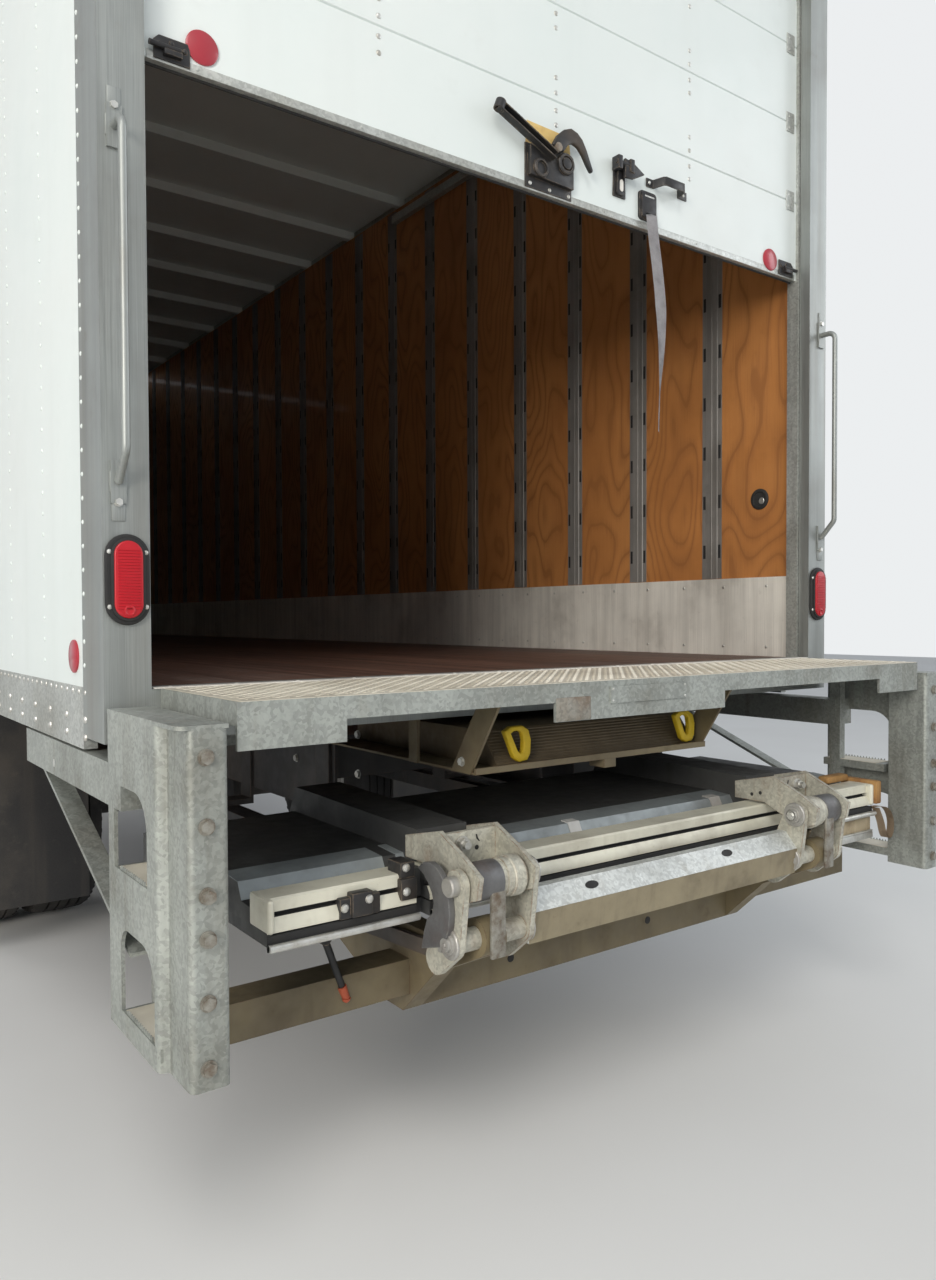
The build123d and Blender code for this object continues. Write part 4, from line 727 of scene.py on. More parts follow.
    def copies(self, vertices: Iterable[bmesh.types.BMVert], matrices: Iterable[Matrix]) -> Vertices:
        """Copy some vertices and their faces.

        Args:
            vertices: what is copied.
            matrices: how each copy lies from the first ones.

        Returns:
            All vertices, the first ones included.
        """
        first = list(vertices)
        known = set(first)
        faces = [face for face in self.mesh.faces if all(vertex in known for vertex in face.verts)]
        every = list(first)
        for matrix in matrices:
            copied = bmesh.ops.duplicate(self.mesh, geom=first + faces)["geom"]
            moved = [item for item in copied if isinstance(item, bmesh.types.BMVert)]
            self.move(moved, matrix)
            every += moved
        return every

    def repeat(self, vertices: Iterable[bmesh.types.BMVert], step: Point, count: int) -> Vertices:
        """Copy some vertices along a row of that many, each a step from the last."""
        return self.copies(vertices, [Matrix.Translation(Vector(step) * number)
                                      for number in range(1, count)])

    def around(self, vertices: Iterable[bmesh.types.BMVert], centre: Point, axis: Axis,
               count: int) -> Vertices:
        """Copy some vertices round an axis, so many in the full turn."""
        there, back = Matrix.Translation(centre), Matrix.Translation(-Vector(centre))
        turns = [Matrix.Rotation(math.tau * number / count, 4, Vector(axis.value))
                 for number in range(1, count)]
        return self.copies(vertices, [there @ turn @ back for turn in turns])

    def both_sides(self) -> None:
        """Add the mirror image of everything on the truck's other side."""
        bmesh.ops.mirror(self.mesh, geom=self.mesh.verts[:] + self.mesh.edges[:] + self.mesh.faces[:],
                         matrix=Matrix.Identity(4), merge_dist=-1.0, axis="X")

    def move(self, vertices: Iterable[bmesh.types.BMVert], matrix: Matrix) -> None:
        """Transform some vertices by a matrix."""
        bmesh.ops.transform(self.mesh, matrix=matrix, verts=list(vertices))

    def piece(self, name: str, finish: Surface, body: str = "truck", slot: Optional[str] = None,
              smooth_angle: float = 35.0) -> bpy.types.Object:
        """Turn the shape into a finished piece.

        Args:
            name: the piece's name.
            finish: what it is made of.
            body: the body that it moves with.
            slot: not used.
            smooth_angle: edges that turn less than this are shaded smooth.

        Returns:
            The new object.
        """
        bmesh.ops.translate(self.mesh, vec=(0.0, self.start, 0.0), verts=self.mesh.verts[:])
        bmesh.ops.recalc_face_normals(self.mesh, faces=self.mesh.faces[:])
        return place(name, mesh_data(name, self.mesh), finish, body, slot, smooth_angle)

    def pair(self, name: str, finish: Surface, body: str = "truck", slot: Optional[str] = None,
             smooth_angle: float = 35.0) -> bpy.types.Object:
        """Finish the shape as one piece together with its mirror image on the other side."""
        self.both_sides()
        return self.piece(name, finish, body, slot, smooth_angle)


def material_of(finish: Surface) -> bpy.types.Material:
    """Return the material of a finish or glazing."""
    return finish.material() if isinstance(finish, Glazing) else finish.value.material()


def place(name: str, data: bpy.types.Mesh, finish: Surface, body: str, slot: Optional[str],
          smooth_angle: float = 35.0) -> bpy.types.Object:
    """Put a mesh into the scene as a piece that moves with a body, and report it."""
    for face in data.polygons:
        face.use_smooth = True
    data.set_sharp_from_angle(angle=math.radians(smooth_angle))
    data.materials.append(material_of(finish))
    piece = new_object(name, data)
    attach(piece, body)
    log.info("%s: %d faces on %s", name, len(data.polygons), body)
    return piece


def dress(finish: Surface, *nodes: str) -> None:
    """Give some nodes of the frame their finish."""
    for name in nodes:
        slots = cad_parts[name].data.materials
        slots.clear()
        slots.append(material_of(finish))


def rows(start: float, end: float, pitch: float) -> list[float]:
    """Return evenly spaced places between two ends, the ends included, near a pitch."""
    count = max(round(abs(end - start) / pitch), 1)
    return [start + (end - start) * number / count for number in range(count + 1)]


@dataclass
class Studio:
    """The floor, the lamps and the photograph's camera."""

    camera_place: Point = (1.851, 7.219, 1.401)
    yaw: float = 36.30
    pitch: float = 1.33
    roll: float = -0.218
    lens: float = 26.59
    film: float = 36.0
    floor_size: float = 60.0
    pale: Colour = (0.80, 0.80, 0.78)
    # name, place, size, power, colour
    lamps: tuple[tuple[str, Point, float, float, Colour], ...] = (
        ("key", (5.2, 12.0, 9.0), 4.0, 400.0, (1.0, 0.97, 0.93)),
        ("low", (7.4, 9.6, 3.4), 2.4, 380.0, (1.0, 0.95, 0.87)),
        ("fill", (-8.0, 9.0, 5.0), 5.0, 220.0, (0.93, 0.96, 1.0)),
        ("front", (7.0, -11.0, 6.0), 6.0, 560.0, (1.0, 0.99, 0.97)),
    )

    def build(self) -> None:
        """Set up the camera, the floor, the lamps and the world."""
        self.camera()
        self.floor()
        self.light()
        bpy.context.scene.view_settings.view_transform = "Standard"

    def camera(self) -> None:
        """Place the camera where the photograph was taken from."""
        yaw, pitch, roll = (math.radians(angle) for angle in (self.yaw, self.pitch, self.roll))
        forward = Vector((-math.sin(yaw) * math.cos(pitch), -math.cos(yaw) * math.cos(pitch),
                          -math.sin(pitch)))
        level = Vector((-math.cos(yaw), math.sin(yaw), 0.0))
        up = level.cross(forward)
        right = level * math.cos(roll) + up * math.sin(roll)
        above = up * math.cos(roll) - level * math.sin(roll)
        data = bpy.data.cameras.new("camera")
        data.lens = self.lens
        data.sensor_width = self.film
        data.sensor_fit = "AUTO"
        data.clip_end = 200.0
        camera = new_object("camera", data)
        turn = Matrix((right, above, -forward)).transposed().to_4x4()
        camera.matrix_world = Matrix.Translation(self.camera_place) @ turn
        bpy.context.scene.camera = camera

    def floor(self) -> None:
        """Lay the pale floor, which keeps the truck's shadow."""
        made, wiring, shader = blank_material("Studio floor")
        vector = wiring.add("TexCoord").outputs["Object"]
        cloud = wiring.band(wiring.noise(vector, 0.6, 4.0, 0.5), 0.3, 0.7)
        wiring.feed(shader.inputs["Base Color"], wiring.mix(cloud, self.pale, (0.77, 0.765, 0.745)))
        shader.inputs["Roughness"].default_value = 0.85
        shape = bmesh.new()
        bmesh.ops.create_grid(shape, x_segments=1, y_segments=1, size=self.floor_size / 2)
        data = mesh_data("studio_floor", shape)
        data.materials.append(made)
        new_object("studio_floor", data)

    def light(self) -> None:
        """Hang the soft lamps and give the world its pale background."""
        for name, place_at, size, power, colour in self.lamps:
            data = bpy.data.lights.new(name, "AREA")
            data.size = size
            data.energy = power
            data.color = colour
            lamp = new_object(name, data)
            lamp.location = place_at
            lamp.visible_glossy = name != "front"
            aim = Vector((0.0, 3.0 if place_at[1] > 0 else -3.0, 1.2)) - Vector(place_at)
            lamp.rotation_euler = aim.to_track_quat("-Z", "Y").to_euler()
        world = bpy.data.worlds.new("Studio")
        world.use_nodes = True
        wiring = Wiring(world.node_tree)
        background = world.node_tree.nodes["Background"]
        rays = wiring.add("LightPath")
        seen = wiring.math("MAXIMUM", rays.outputs["Is Camera Ray"], rays.outputs["Is Transmission Ray"])
        seen = wiring.math("MAXIMUM", seen, wiring.times(rays.outputs["Is Glossy Ray"], 0.55))
        wiring.feed(background.inputs["Color"], wiring.mix(seen, (0.80, 0.85, 0.92), (0.84, 0.86, 0.87)))
        wiring.feed(background.inputs["Strength"], wiring.band(seen, 0.0, 1.0, 0.50, 1.0))
        bpy.context.scene.world = world


@dataclass
class Strap:
    """A strip of webbing, with its route given as points."""

    name: str
    route: tuple[Point, ...]
    finish: Finishes
    body: str = "truck"
    replaced: Optional[str] = None
    far_end: str = "bare"
    width: float = 0.050
    thickness: float = 0.003
    # The way its width lies at its start, and how far it turns, in radians
    across: Point = (1.0, 0.0, 0.0)
    twist: float = 0.68
    # Shares of its length at which the turn begins and over which it goes on
    twist_from: float = 0.42
    twist_over: float = 0.38
    # Depth of the wave along its middle, its rate, and how fast it grows from the start
    wave_depth: float = 0.003
    wave_rate: float = 85.0
    wave_growth: float = 6.0

    def build(self) -> None:
        line = self.centre_line()
        length = sum((b - a).length for a, b in zip(line, line[1:]))
        shape = bmesh.new()
        uv = shape.loops.layers.uv.new("UVMap")
        half = self.width / 2
        across = Vector(self.across)
        out = Vector((0.0, 0.0, 1.0)).cross(across)
        previous: Vertices = []
        strip: list[bmesh.types.BMFace] = []
        done = was = 0.0
        for number, point in enumerate(line):
            turn = self.twist * min(max(done / length - self.twist_from, 0.0) / self.twist_over, 1.0)
            side = (across * math.cos(turn) + out * math.sin(turn)) * half
            wave = self.wave_depth * math.sin(done * self.wave_rate) * min(done * self.wave_growth, 1.0)
            row = [shape.verts.new(point + side * share + out * wave * (1 - abs(share)))
                   for share in (-1.0, 0.0, 1.0)]
            if previous:
                for index in (0, 1):
                    face = shape.faces.new((previous[index], previous[index + 1], row[index + 1],
                                            row[index]))
                    corners = ((index, was), (index + 1, was), (index + 1, done), (index, done))
                    for loop, (place_across, down) in zip(face.loops, corners):
                        loop[uv].uv = (place_across * half, down)
                    strip.append(face)
            previous = row
            was = done
            if number + 1 < len(line):
                done += (line[number + 1] - point).length
        bmesh.ops.solidify(shape, geom=strip, thickness=self.thickness)
        bmesh.ops.recalc_face_normals(shape, faces=shape.faces[:])
        piece = place(self.name, mesh_data(self.name, shape), self.finish, self.body, "webbing")
        if self.replaced:
            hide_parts(self.replaced)

    def centre_line(self) -> list[Vector]:
        """Return points read from the smooth spline through the route."""
        curve = bpy.data.curves.new(self.name + "_route", "CURVE")
        curve.dimensions = "3D"
        curve.resolution_u = 16
        spline = curve.splines.new("NURBS")
        spline.points.add(len(self.route) - 1)
        for point, place_at in zip(spline.points, self.route):
            point.co = (*place_at, 1.0)
        spline.order_u = 3
        spline.use_endpoint_u = True
        guide = new_object(self.name + "_route", curve)
        bpy.context.view_layer.update()
        mesh = bpy.data.meshes.new_from_object(guide)
        line = [vertex.co.copy() for vertex in mesh.vertices]
        bpy.data.objects.remove(guide)
        return line


@dataclass
class BoxBody:
    """Rivets, slotted lining posts, lamps, reflectors and the vent of the van body."""

    front: float = -7.85
    post_pitch: float = 0.4064
    first_post: float = -0.465
    post_width: float = 0.098
    post_middle: float = 0.053
    post_low: float = 1.556
    post_high: float = 3.86
    post_face: float = 1.225
    slot_pitch: float = 0.2
    slot_height: float = 0.054
    slot_width: float = 0.012
    # radius and height of a rivet's head
    rivet: Flat = (0.0055, 0.003)
    rivet_pitch: float = 0.053
    corner_rivets: float = -0.148
    second_rivets: float = -0.528
    small_rail_z: float = 1.238
    large_rail_z: Flat = (1.178, 1.138)
    large_rail_pitch: float = 0.165

    def build(self) -> None:
        """Build every fitting of the body."""
        self.wall_rivets()
        self.rail_rivets()
        self.rear_rivets()
        self.lining_posts()
        self.scuff_screws()
        self.reflectors()
        self.marker_lamps()
        self.wall_vent()

    def wall_rivets(self) -> None:
        """Columns of rivets down both side walls, one column on each inner post."""
        shape = Shape(REAR)
        column = rows(1.299, 3.68, self.rivet_pitch)
        places = [self.corner_rivets] + [
            self.second_rivets - self.post_pitch * number for number in range(19)
        ]
        first = shape.dome((HALF_WIDTH, places[0], column[0]), Axis.X, *self.rivet)
        line = shape.repeat(first, (0.0, 0.0, column[1] - column[0]), len(column))
        for place_y in places[1:]:
            shape.repeat(line, (0.0, place_y - places[0], 0.0), 2)
        shape.pair("wall_rivets", Finishes.BODY, slot="body_white")

    def rail_rivets(self) -> None:
        """The small and the paired large rivets along both bottom rails."""
        shape = Shape(REAR)
        count = len(rows(self.front, self.corner_rivets, self.rivet_pitch))
        small = shape.dome((HALF_WIDTH, self.corner_rivets, self.small_rail_z), Axis.X, 0.006, 0.003)
        shape.repeat(small, (0.0, -self.rivet_pitch, 0.0), count)
        pairs = [shape.dome((HALF_WIDTH, self.corner_rivets, z), Axis.X, 0.009, 0.006)
                 for z in self.large_rail_z]
        count = len(rows(self.front, self.corner_rivets, self.large_rail_pitch))
        shape.repeat(pairs[0] + pairs[1], (0.0, -self.large_rail_pitch, 0.0), count)
        shape.pair("rail_rivets", Finishes.ZINC, slot="rail_aluminium")

    def rear_rivets(self) -> None:
        """Two rows of rivets along the header over the doorway."""
        shape = Shape(REAR)
        for place_x in rows(-1.15, 1.15, 0.12):
            for level in (3.90, 3.74):
                shape.dome((place_x, 0.0, level), Axis.Y, *self.rivet)
        shape.piece("header_rivets", Finishes.ZINC, slot="stainless")

    def lining_posts(self) -> None:
        """Steel posts between the plywood panels, with a column of slots along each edge drawn as black
        blocks of painted shade.
        """
        posts = Shape(REAR)
        slots = Shape(REAR)
        count = int((self.first_post - self.front) / self.post_pitch) + 1
        half, inner = self.post_width / 2, self.post_middle / 2
        slot_middle = (half + inner) / 2
        low_face, high_face = self.post_face - 0.0015, self.post_face - 0.0045
        edge = [(self.post_face + 0.002, half), (low_face, half), (low_face, inner + 0.003),
                (high_face, inner), (high_face, 0.004)]
        section = [(x, -y) for x, y in edge] + [(high_face - 0.002, 0.0)] + edge[::-1]
        posts.plate([(x, self.first_post + y) for x, y in section], Axis.Z, self.post_low, self.post_high)
        posts.repeat(posts.mesh.verts[:], (0.0, -self.post_pitch, 0.0), count)
        posts.pair("lining_posts", Finishes.LINING_POST, slot="plywood", smooth_angle=15.0)
        # Painted shade: each slot is a thin black block standing in for the dark inside the hole
        lowest = self.post_low + 0.11
        rising = int((self.post_high - 0.1 - lowest) / self.slot_pitch) + 1
        for side in (-slot_middle, slot_middle):
            middle = self.first_post + side
            slots.block((low_face - 0.0004, middle - self.slot_width / 2, lowest - self.slot_height / 2),
                        (low_face + 0.0004, middle + self.slot_width / 2, lowest + self.slot_height / 2))
        slots.repeat(slots.mesh.verts[:], (0.0, 0.0, self.slot_pitch), rising)
        slots.repeat(slots.mesh.verts[:], (0.0, -self.post_pitch, 0.0), count)
        slots.pair("lining_slot_shade", Finishes.SEAL, slot="plywood")

    def scuff_screws(self) -> None:
        """Screws along the top and the bottom of both scuff plates."""
        shape = Shape(REAR)
        for level in (1.285, 1.52):
            head = shape.dome((1.219, -0.2, level), (-1.0, 0.0, 0.0), 0.006, 0.0025)
            shape.repeat(head, (0.0, -0.2032, 0.0), 38)
        shape.pair("scuff_screws", Finishes.ZINC, slot="scuff_metal")

    def reflectors(self) -> None:
        """Round red reflectors near the rear of both sides and amber ones near the front."""
        for name, place_y, finish in (("rear_side_reflectors", -0.232, Finishes.REFLECTOR),
                                      ("front_side_reflectors", -7.6, Finishes.LENS_AMBER)):
            shape = Shape(REAR)
            shape.reflector((HALF_WIDTH, place_y, 1.317), Axis.X)
            shape.pair(name, finish, slot="lamp_red")

    def marker_lamps(self) -> None:
        """Three small lamps in the middle of the header and one at each upper corner."""
        shape = Shape(REAR)
        for place_x in (-1.10, -0.16, 0.0, 0.16, 1.10):
            shape.block((place_x - 0.05, 0.0, 3.806), (place_x + 0.05, 0.016, 3.834))
        shape.bevel(0.006, 3)
        shape.piece("header_marker_lamps", Finishes.LENS_RED, slot="lamp_red")

    def wall_vent(self) -> None:
        """The small round vent in the lining near the doorway, with a bright off-centre disc on it as a
        painted highlight.
        """
        shape = Shape(REAR)
        ring = [(0.0, 0.040), (0.004, 0.040), (0.006, 0.036), (0.006, 0.029), (0.002, 0.027), (0.001, 0.0)]
        shape.turned(ring, (-self.post_face, -0.234, 1.855), Axis.X)
        shape.piece("wall_vent", Finishes.SEAL, slot="plywood")
        # Painted highlight: a bright zinc disc set off the vent's middle where light glints on it
        highlight_disc = Shape(REAR)
        disc = [(0.0012, 0.013), (0.0030, 0.011), (0.0032, 0.0)]
        highlight_disc.turned(disc, (-self.post_face, -0.226, 1.848), Axis.X, 20)
        highlight_disc.piece("wall_vent_painted_highlight", Finishes.ZINC, slot="plywood")


@dataclass
class RollDoor:
    """Fasteners, seals and corner rollers of the raised roll-up door."""

    joints: tuple[float, ...] = (2.91, 3.19, 3.47)
    columns: tuple[float, ...] = (0.584, -0.018, -0.602)
    offsets: tuple[float, ...] = (-0.069, -0.027, 0.024, 0.068)
    bottom: float = 2.63
    half_width: float = 1.185
    lip: float = 0.018

    def build(self) -> None:
        """Build every fitting of the door."""
        self.fasteners()
        self.bottom_strip()
        self.edge_hinges()
        self.corner_rollers()
        self.reflectors()

    def fasteners(self) -> None:
        """Four bolt heads in each column across every joint."""
        shape = Shape(DOOR_FACE)
        for joint in self.joints:
            for place_x in self.columns:
                for offset in self.offsets:
                    shape.dome((place_x, 0.0, joint + offset), Axis.Y, 0.0075, 0.004, 12)
        shape.piece("door_bolts", Finishes.ZINC, slot="body_white")

    def bottom_strip(self) -> None:
        """The aluminium strip along the door's lower edge, its screws and its rubber seal."""
        strip = Shape(DOOR_FACE)
        end = self.half_width - 0.01
        strip.block((-end, -0.024, self.bottom - 0.003), (end, 0.002, self.bottom + self.lip))
        strip.bevel(0.0015, 2)
        for place_x in rows(-1.06, 1.06, 0.43):
            strip.dome((place_x, 0.002, self.bottom + 0.008), Axis.Y, 0.004, 0.002)
        strip.piece("door_bottom_strip", Finishes.RAIL, slot="body_white")
        seal = Shape(DOOR_FACE)
        seal.rod((-end, -0.018, self.bottom - 0.004), (end, -0.018, self.bottom - 0.004), 0.004, 12)
        seal.piece("door_bottom_seal", Finishes.SEAL, slot="body_white")

    def edge_hinges(self) -> None:
        """The end plates of each joint's hinge at both edges of the door."""
        shape = Shape(DOOR_FACE)
        for joint in self.joints:
            shape.block((1.125, 0.0, joint - 0.035), (1.17, 0.003, joint + 0.035))
        shape.bevel(0.001, 1)
        for joint in self.joints:
            for offset in (-0.02, 0.02):
                shape.dome((1.142, 0.003, joint + offset), Axis.Y, 0.006, 0.003)
        shape.pair("door_edge_hinges", Finishes.RAIL, slot="body_white")

    def corner_rollers(self) -> None:
        """The bolted roller bracket at both lower corners."""
        shape = Shape(DOOR_FACE)
        shape.plate([(1.078, 2.632), (1.16, 2.632), (1.16, 2.672), (1.148, 2.684), (1.078, 2.684)], Axis.Y,
                    0.002, 0.006)
        shape.block((1.10, 0.006, 2.640), (1.14, 0.02, 2.652))
        shape.bevel(0.001, 2)
        shape.rod((1.10, 0.012, 2.658), (1.172, 0.012, 2.658), 0.006, 16)
        for place_x, place_z in ((1.09, 2.664), (1.12, 2.672), (1.148, 2.664)):
            shape.dome((place_x, 0.006, place_z), Axis.Y, 0.006, 0.004)
        shape.pair("door_corner_rollers", Finishes.HARDWARE, slot="hardware_black")

    def reflectors(self) -> None:
        """The round red reflector near both lower corners."""
        shape = Shape(DOOR_FACE)
        for place_x, place_z in ((1.049, 2.69), (-1.03, 2.672)):
            shape.reflector((place_x, 0.0, place_z), Axis.Y)
        shape.piece("door_reflectors", Finishes.REFLECTOR, slot="lamp_red")


@dataclass
class LatchSet:
    """The lock with its lever and hook, the keeper, the pull handle and the strap's buckle."""

    pivot: Flat = (-0.036, 2.724)
    second_boss: Flat = (0.059, 2.688)
    lever_root: Flat = (0.015, 2.728)
    lever_tip: Flat = (0.222, 2.812)
    # outlines as X, Z corners
    plate: Outline = (
        (0.104, 2.632), (-0.074, 2.632), (-0.074, 2.752), (-0.064, 2.760), (-0.02, 2.764), (0.104, 2.757),
    )
    housing: Outline = (
        (0.096, 2.664), (-0.070, 2.659), (-0.070, 2.748), (-0.058, 2.757), (0.030, 2.762), (0.096, 2.745),
    )
    hook: Outline = (
        (0.026, 2.760), (0.006, 2.792), (-0.020, 2.815), (-0.047, 2.826), (-0.072, 2.820), (-0.092, 2.805),
        (-0.108, 2.780), (-0.122, 2.752), (-0.134, 2.728), (-0.131, 2.720), (-0.124, 2.722),
        (-0.110, 2.738), (-0.093, 2.762), (-0.075, 2.779), (-0.055, 2.785), (-0.036, 2.776),
        (-0.018, 2.750),
    )
    tag: Outline = (
        (0.100, 2.750), (0.094, 2.822), (-0.028, 2.820), (-0.070, 2.795), (-0.073, 2.762), (0.0, 2.750),
    )
    handle_line: Outline = (
        (-0.395, 0.0), (-0.395, 0.004), (-0.424, 0.004), (-0.434, 0.040), (-0.442, 0.046), (-0.526, 0.046),
        (-0.534, 0.040), (-0.546, 0.004), (-0.584, 0.004), (-0.584, 0.0), (-0.541, 0.0), (-0.529, 0.036),
        (-0.522, 0.041), (-0.446, 0.041), (-0.439, 0.036), (-0.429, 0.0),
    )
    keeper_plate: Outline = ((-0.246, 2.696), (-0.300, 2.696), (-0.296, 2.80), (-0.250, 2.80))
    keeper_pad: Outline = (
        (-0.254, 2.706), (-0.262, 2.700), (-0.284, 2.700), (-0.292, 2.706), (-0.288, 2.77), (-0.258, 2.77),
    )
    keeper_tongue: Outline = (
        (-0.272, 2.806), (-0.310, 2.800), (-0.358, 2.777), (-0.310, 2.752), (-0.272, 2.748),
    )
    keeper_slot: Outline = (
        (-0.266, 2.716), (-0.271, 2.711), (-0.277, 2.711), (-0.281, 2.716), (-0.281, 2.742),
        (-0.277, 2.747), (-0.271, 2.747), (-0.266, 2.742),
    )
    # (place along Y, radius) points of the two bosses on the housing
    large_boss: Outline = (
        (0.0, 0.031), (0.006, 0.031), (0.009, 0.028), (0.009, 0.022), (0.004, 0.021), (0.004, 0.017),
        (0.010, 0.016), (0.011, 0.012), (0.011, 0.0),
    )
    small_boss: Outline = (
        (0.0, 0.027), (0.005, 0.027), (0.008, 0.024), (0.008, 0.019), (0.001, 0.018), (0.001, 0.0),
    )

    def build(self) -> None:
        """Build the lock, the keeper, the handle and the buckle."""
        self.lock()
        self.lever()
        self.hook_and_tag()
        self.keeper()
        self.handle()
        self.buckle()
        self.screws()

    def lock(self) -> None:
        """The lock plate with its housing and two round bosses."""
        shape = Shape(DOOR_FACE)
        shape.plate(self.plate, Axis.Y, 0.0, 0.005)
        shape.plate(self.housing, Axis.Y, 0.005, 0.020)
        shape.bevel(0.002, 2)
        for profile, (x, z) in ((self.large_boss, self.pivot), (self.small_boss, self.second_boss)):
            shape.turned(profile, (x, 0.020, z), Axis.Y)
        lock = shape.piece("latch_lock", Finishes.HARDWARE, slot="hardware_black")
        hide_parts("door_latches")

    def lever(self) -> None:
        """The channel-shaped lever, with raised ribs on its grip and an open end."""
        shape = Shape(DOOR_FACE)
        (x0, z0), (x1, z1) = self.lever_root, self.lever_tip
        length = math.hypot(x1 - x0, z1 - z0)
        shape.block((0.0, 0.020, -0.012), (length, 0.024, 0.012))
        shape.block((0.0, 0.024, 0.008), (length, 0.046, 0.012))
        shape.block((0.0, 0.024, -0.012), (length, 0.046, -0.008))
        shape.bevel(0.001, 1)
        for place_at in rows(0.07, length - 0.03, 0.012):
            shape.block((place_at, 0.026, 0.012), (place_at + 0.004, 0.044, 0.0135))
        grip = shape.turned([(-0.014, 0.010), (-0.014, 0.015), (0.014, 0.015), (0.014, 0.010)],
                            (length - 0.004, 0.034, 0.0), Axis.Z, 24, closed=True)
        shape.bevel(0.001, 1, vertices=grip)
        angle = math.atan2(z1 - z0, x1 - x0)
        turn = Matrix.Translation((x0, 0.0, z0)) @ Matrix.Rotation(-angle, 4, "Y")
        shape.move(shape.mesh.verts[:], turn)
        shape.piece("latch_lever", Finishes.HARDWARE, slot="hardware_black")

    def hook_and_tag(self) -> None:
        """The curved hook, its rusty collar, and the plain yellow plate behind them."""
        shape = Shape(DOOR_FACE)
        shape.plate(self.hook, Axis.Y, 0.022, 0.036)
        shape.bevel(0.004, 3)
        shape.piece("latch_hook", Finishes.HARDWARE, slot="hardware_black")
        collar = Shape(DOOR_FACE)
        collar.rod((0.004, 0.018, 2.757), (0.004, 0.040, 2.757), 0.013, 20)
        collar.bevel(0.002, 2)
        collar.piece("latch_collar", Finishes.RUSTY, slot="hardware_black")
        tag = Shape(DOOR_FACE)
        tag.plate(self.tag, Axis.Y, 0.0, 0.0012)
        tag.piece("latch_tag", Finishes.YELLOW_FILM, slot="hardware_black")

    def keeper(self) -> None:
        """The keeper beside the lock: a slotted plate, a head with two ears and a pointed tongue."""
        shape = Shape(DOOR_FACE)
        shape.plate(self.keeper_plate, Axis.Y, 0.0, 0.006)
        shape.plate(self.keeper_pad, Axis.Y, 0.006, 0.014)
        for place_x in (-0.240, -0.292):
            shape.block((place_x - 0.018, 0.006, 2.768), (place_x, 0.036, 2.808))
        shape.plate(self.keeper_tongue, Axis.Y, 0.022, 0.032)
        shape.bevel(0.002, 2)
        shape.rod((-0.236, 0.027, 2.790), (-0.314, 0.027, 2.790), 0.007, 16)
        shape.piece("latch_keeper", Finishes.HARDWARE, slot="hardware_black")
        slot = Shape(DOOR_FACE)
        slot.plate(self.keeper_slot, Axis.Y, 0.014, 0.0145)
        slot.piece("latch_keeper_slot", Finishes.SCUFF, slot="hardware_black")

    def handle(self) -> None:
        """The pull handle, bent from flat bar."""
        shape = Shape(DOOR_FACE)
        shape.plate(self.handle_line, Axis.Z, 2.763, 2.790)
        shape.bevel(0.0012, 2, over=60)
        shape.piece("latch_handle", Finishes.HARDWARE, slot="hardware_black")

    def buckle(self) -> None:
        """The strap's buckle plate with its raised rim, and the bright bar that the strap hangs from."""
        shape = Shape(DOOR_FACE)
        middle_x, middle_z, wide, high, corner = -0.397, 2.698, 0.038, 0.045, 0.012
        outline = []
        for turn in range(4):
            sign_x, sign_z = ((1, 1), (-1, 1), (-1, -1), (1, -1))[turn]
            for step in range(5):
                angle = math.pi / 2 * (turn + step / 4)
                outline.append((middle_x + sign_x * (wide - corner) + corner * math.cos(angle),
                                middle_z + sign_z * (high - corner) + corner * math.sin(angle)))
        plate = shape.plate(outline, Axis.Y, 0.0, 0.009)
        shape.mesh.faces.ensure_lookup_table()
        front = [face for face in shape.mesh.faces if face.calc_center_median().y > 0.0089]
        bmesh.ops.inset_region(shape.mesh, faces=front, thickness=0.006, depth=0.0)
        bmesh.ops.inset_region(shape.mesh, faces=front, thickness=0.001, depth=-0.004)
        shape.bevel(0.001, 2, vertices=plate)
        shape.piece("strap_buckle", Finishes.HARDWARE, slot="hardware_black")
        bar = Shape(DOOR_FACE)
        bar.rod((-0.378, 0.010, 2.727), (-0.420, 0.010, 2.727), 0.004, 16)
        bar.piece("strap_bar", Finishes.ZINC, slot="hardware_black")

    def screws(self) -> None:
        """Bright screw heads on the lock, the handle and the buckle."""
        shape = Shape(DOOR_FACE)
        # X, Z, height above the door, radius
        heads = (
            (0.086, 2.645, 0.005, 0.006), (0.012, 2.643, 0.005, 0.006), (-0.062, 2.643, 0.005, 0.006),
            (-0.401, 2.704, 0.005, 0.005), (-0.401, 2.674, 0.005, 0.005),
            (-0.409, 2.777, 0.004, 0.006), (-0.566, 2.777, 0.004, 0.006),
        )
        for x, z, height, radius in heads:
            shape.dome((x, height, z), Axis.Y, radius, 0.003, 12)
        shape.piece("latch_screws", Finishes.ZINC, slot="hardware_black")


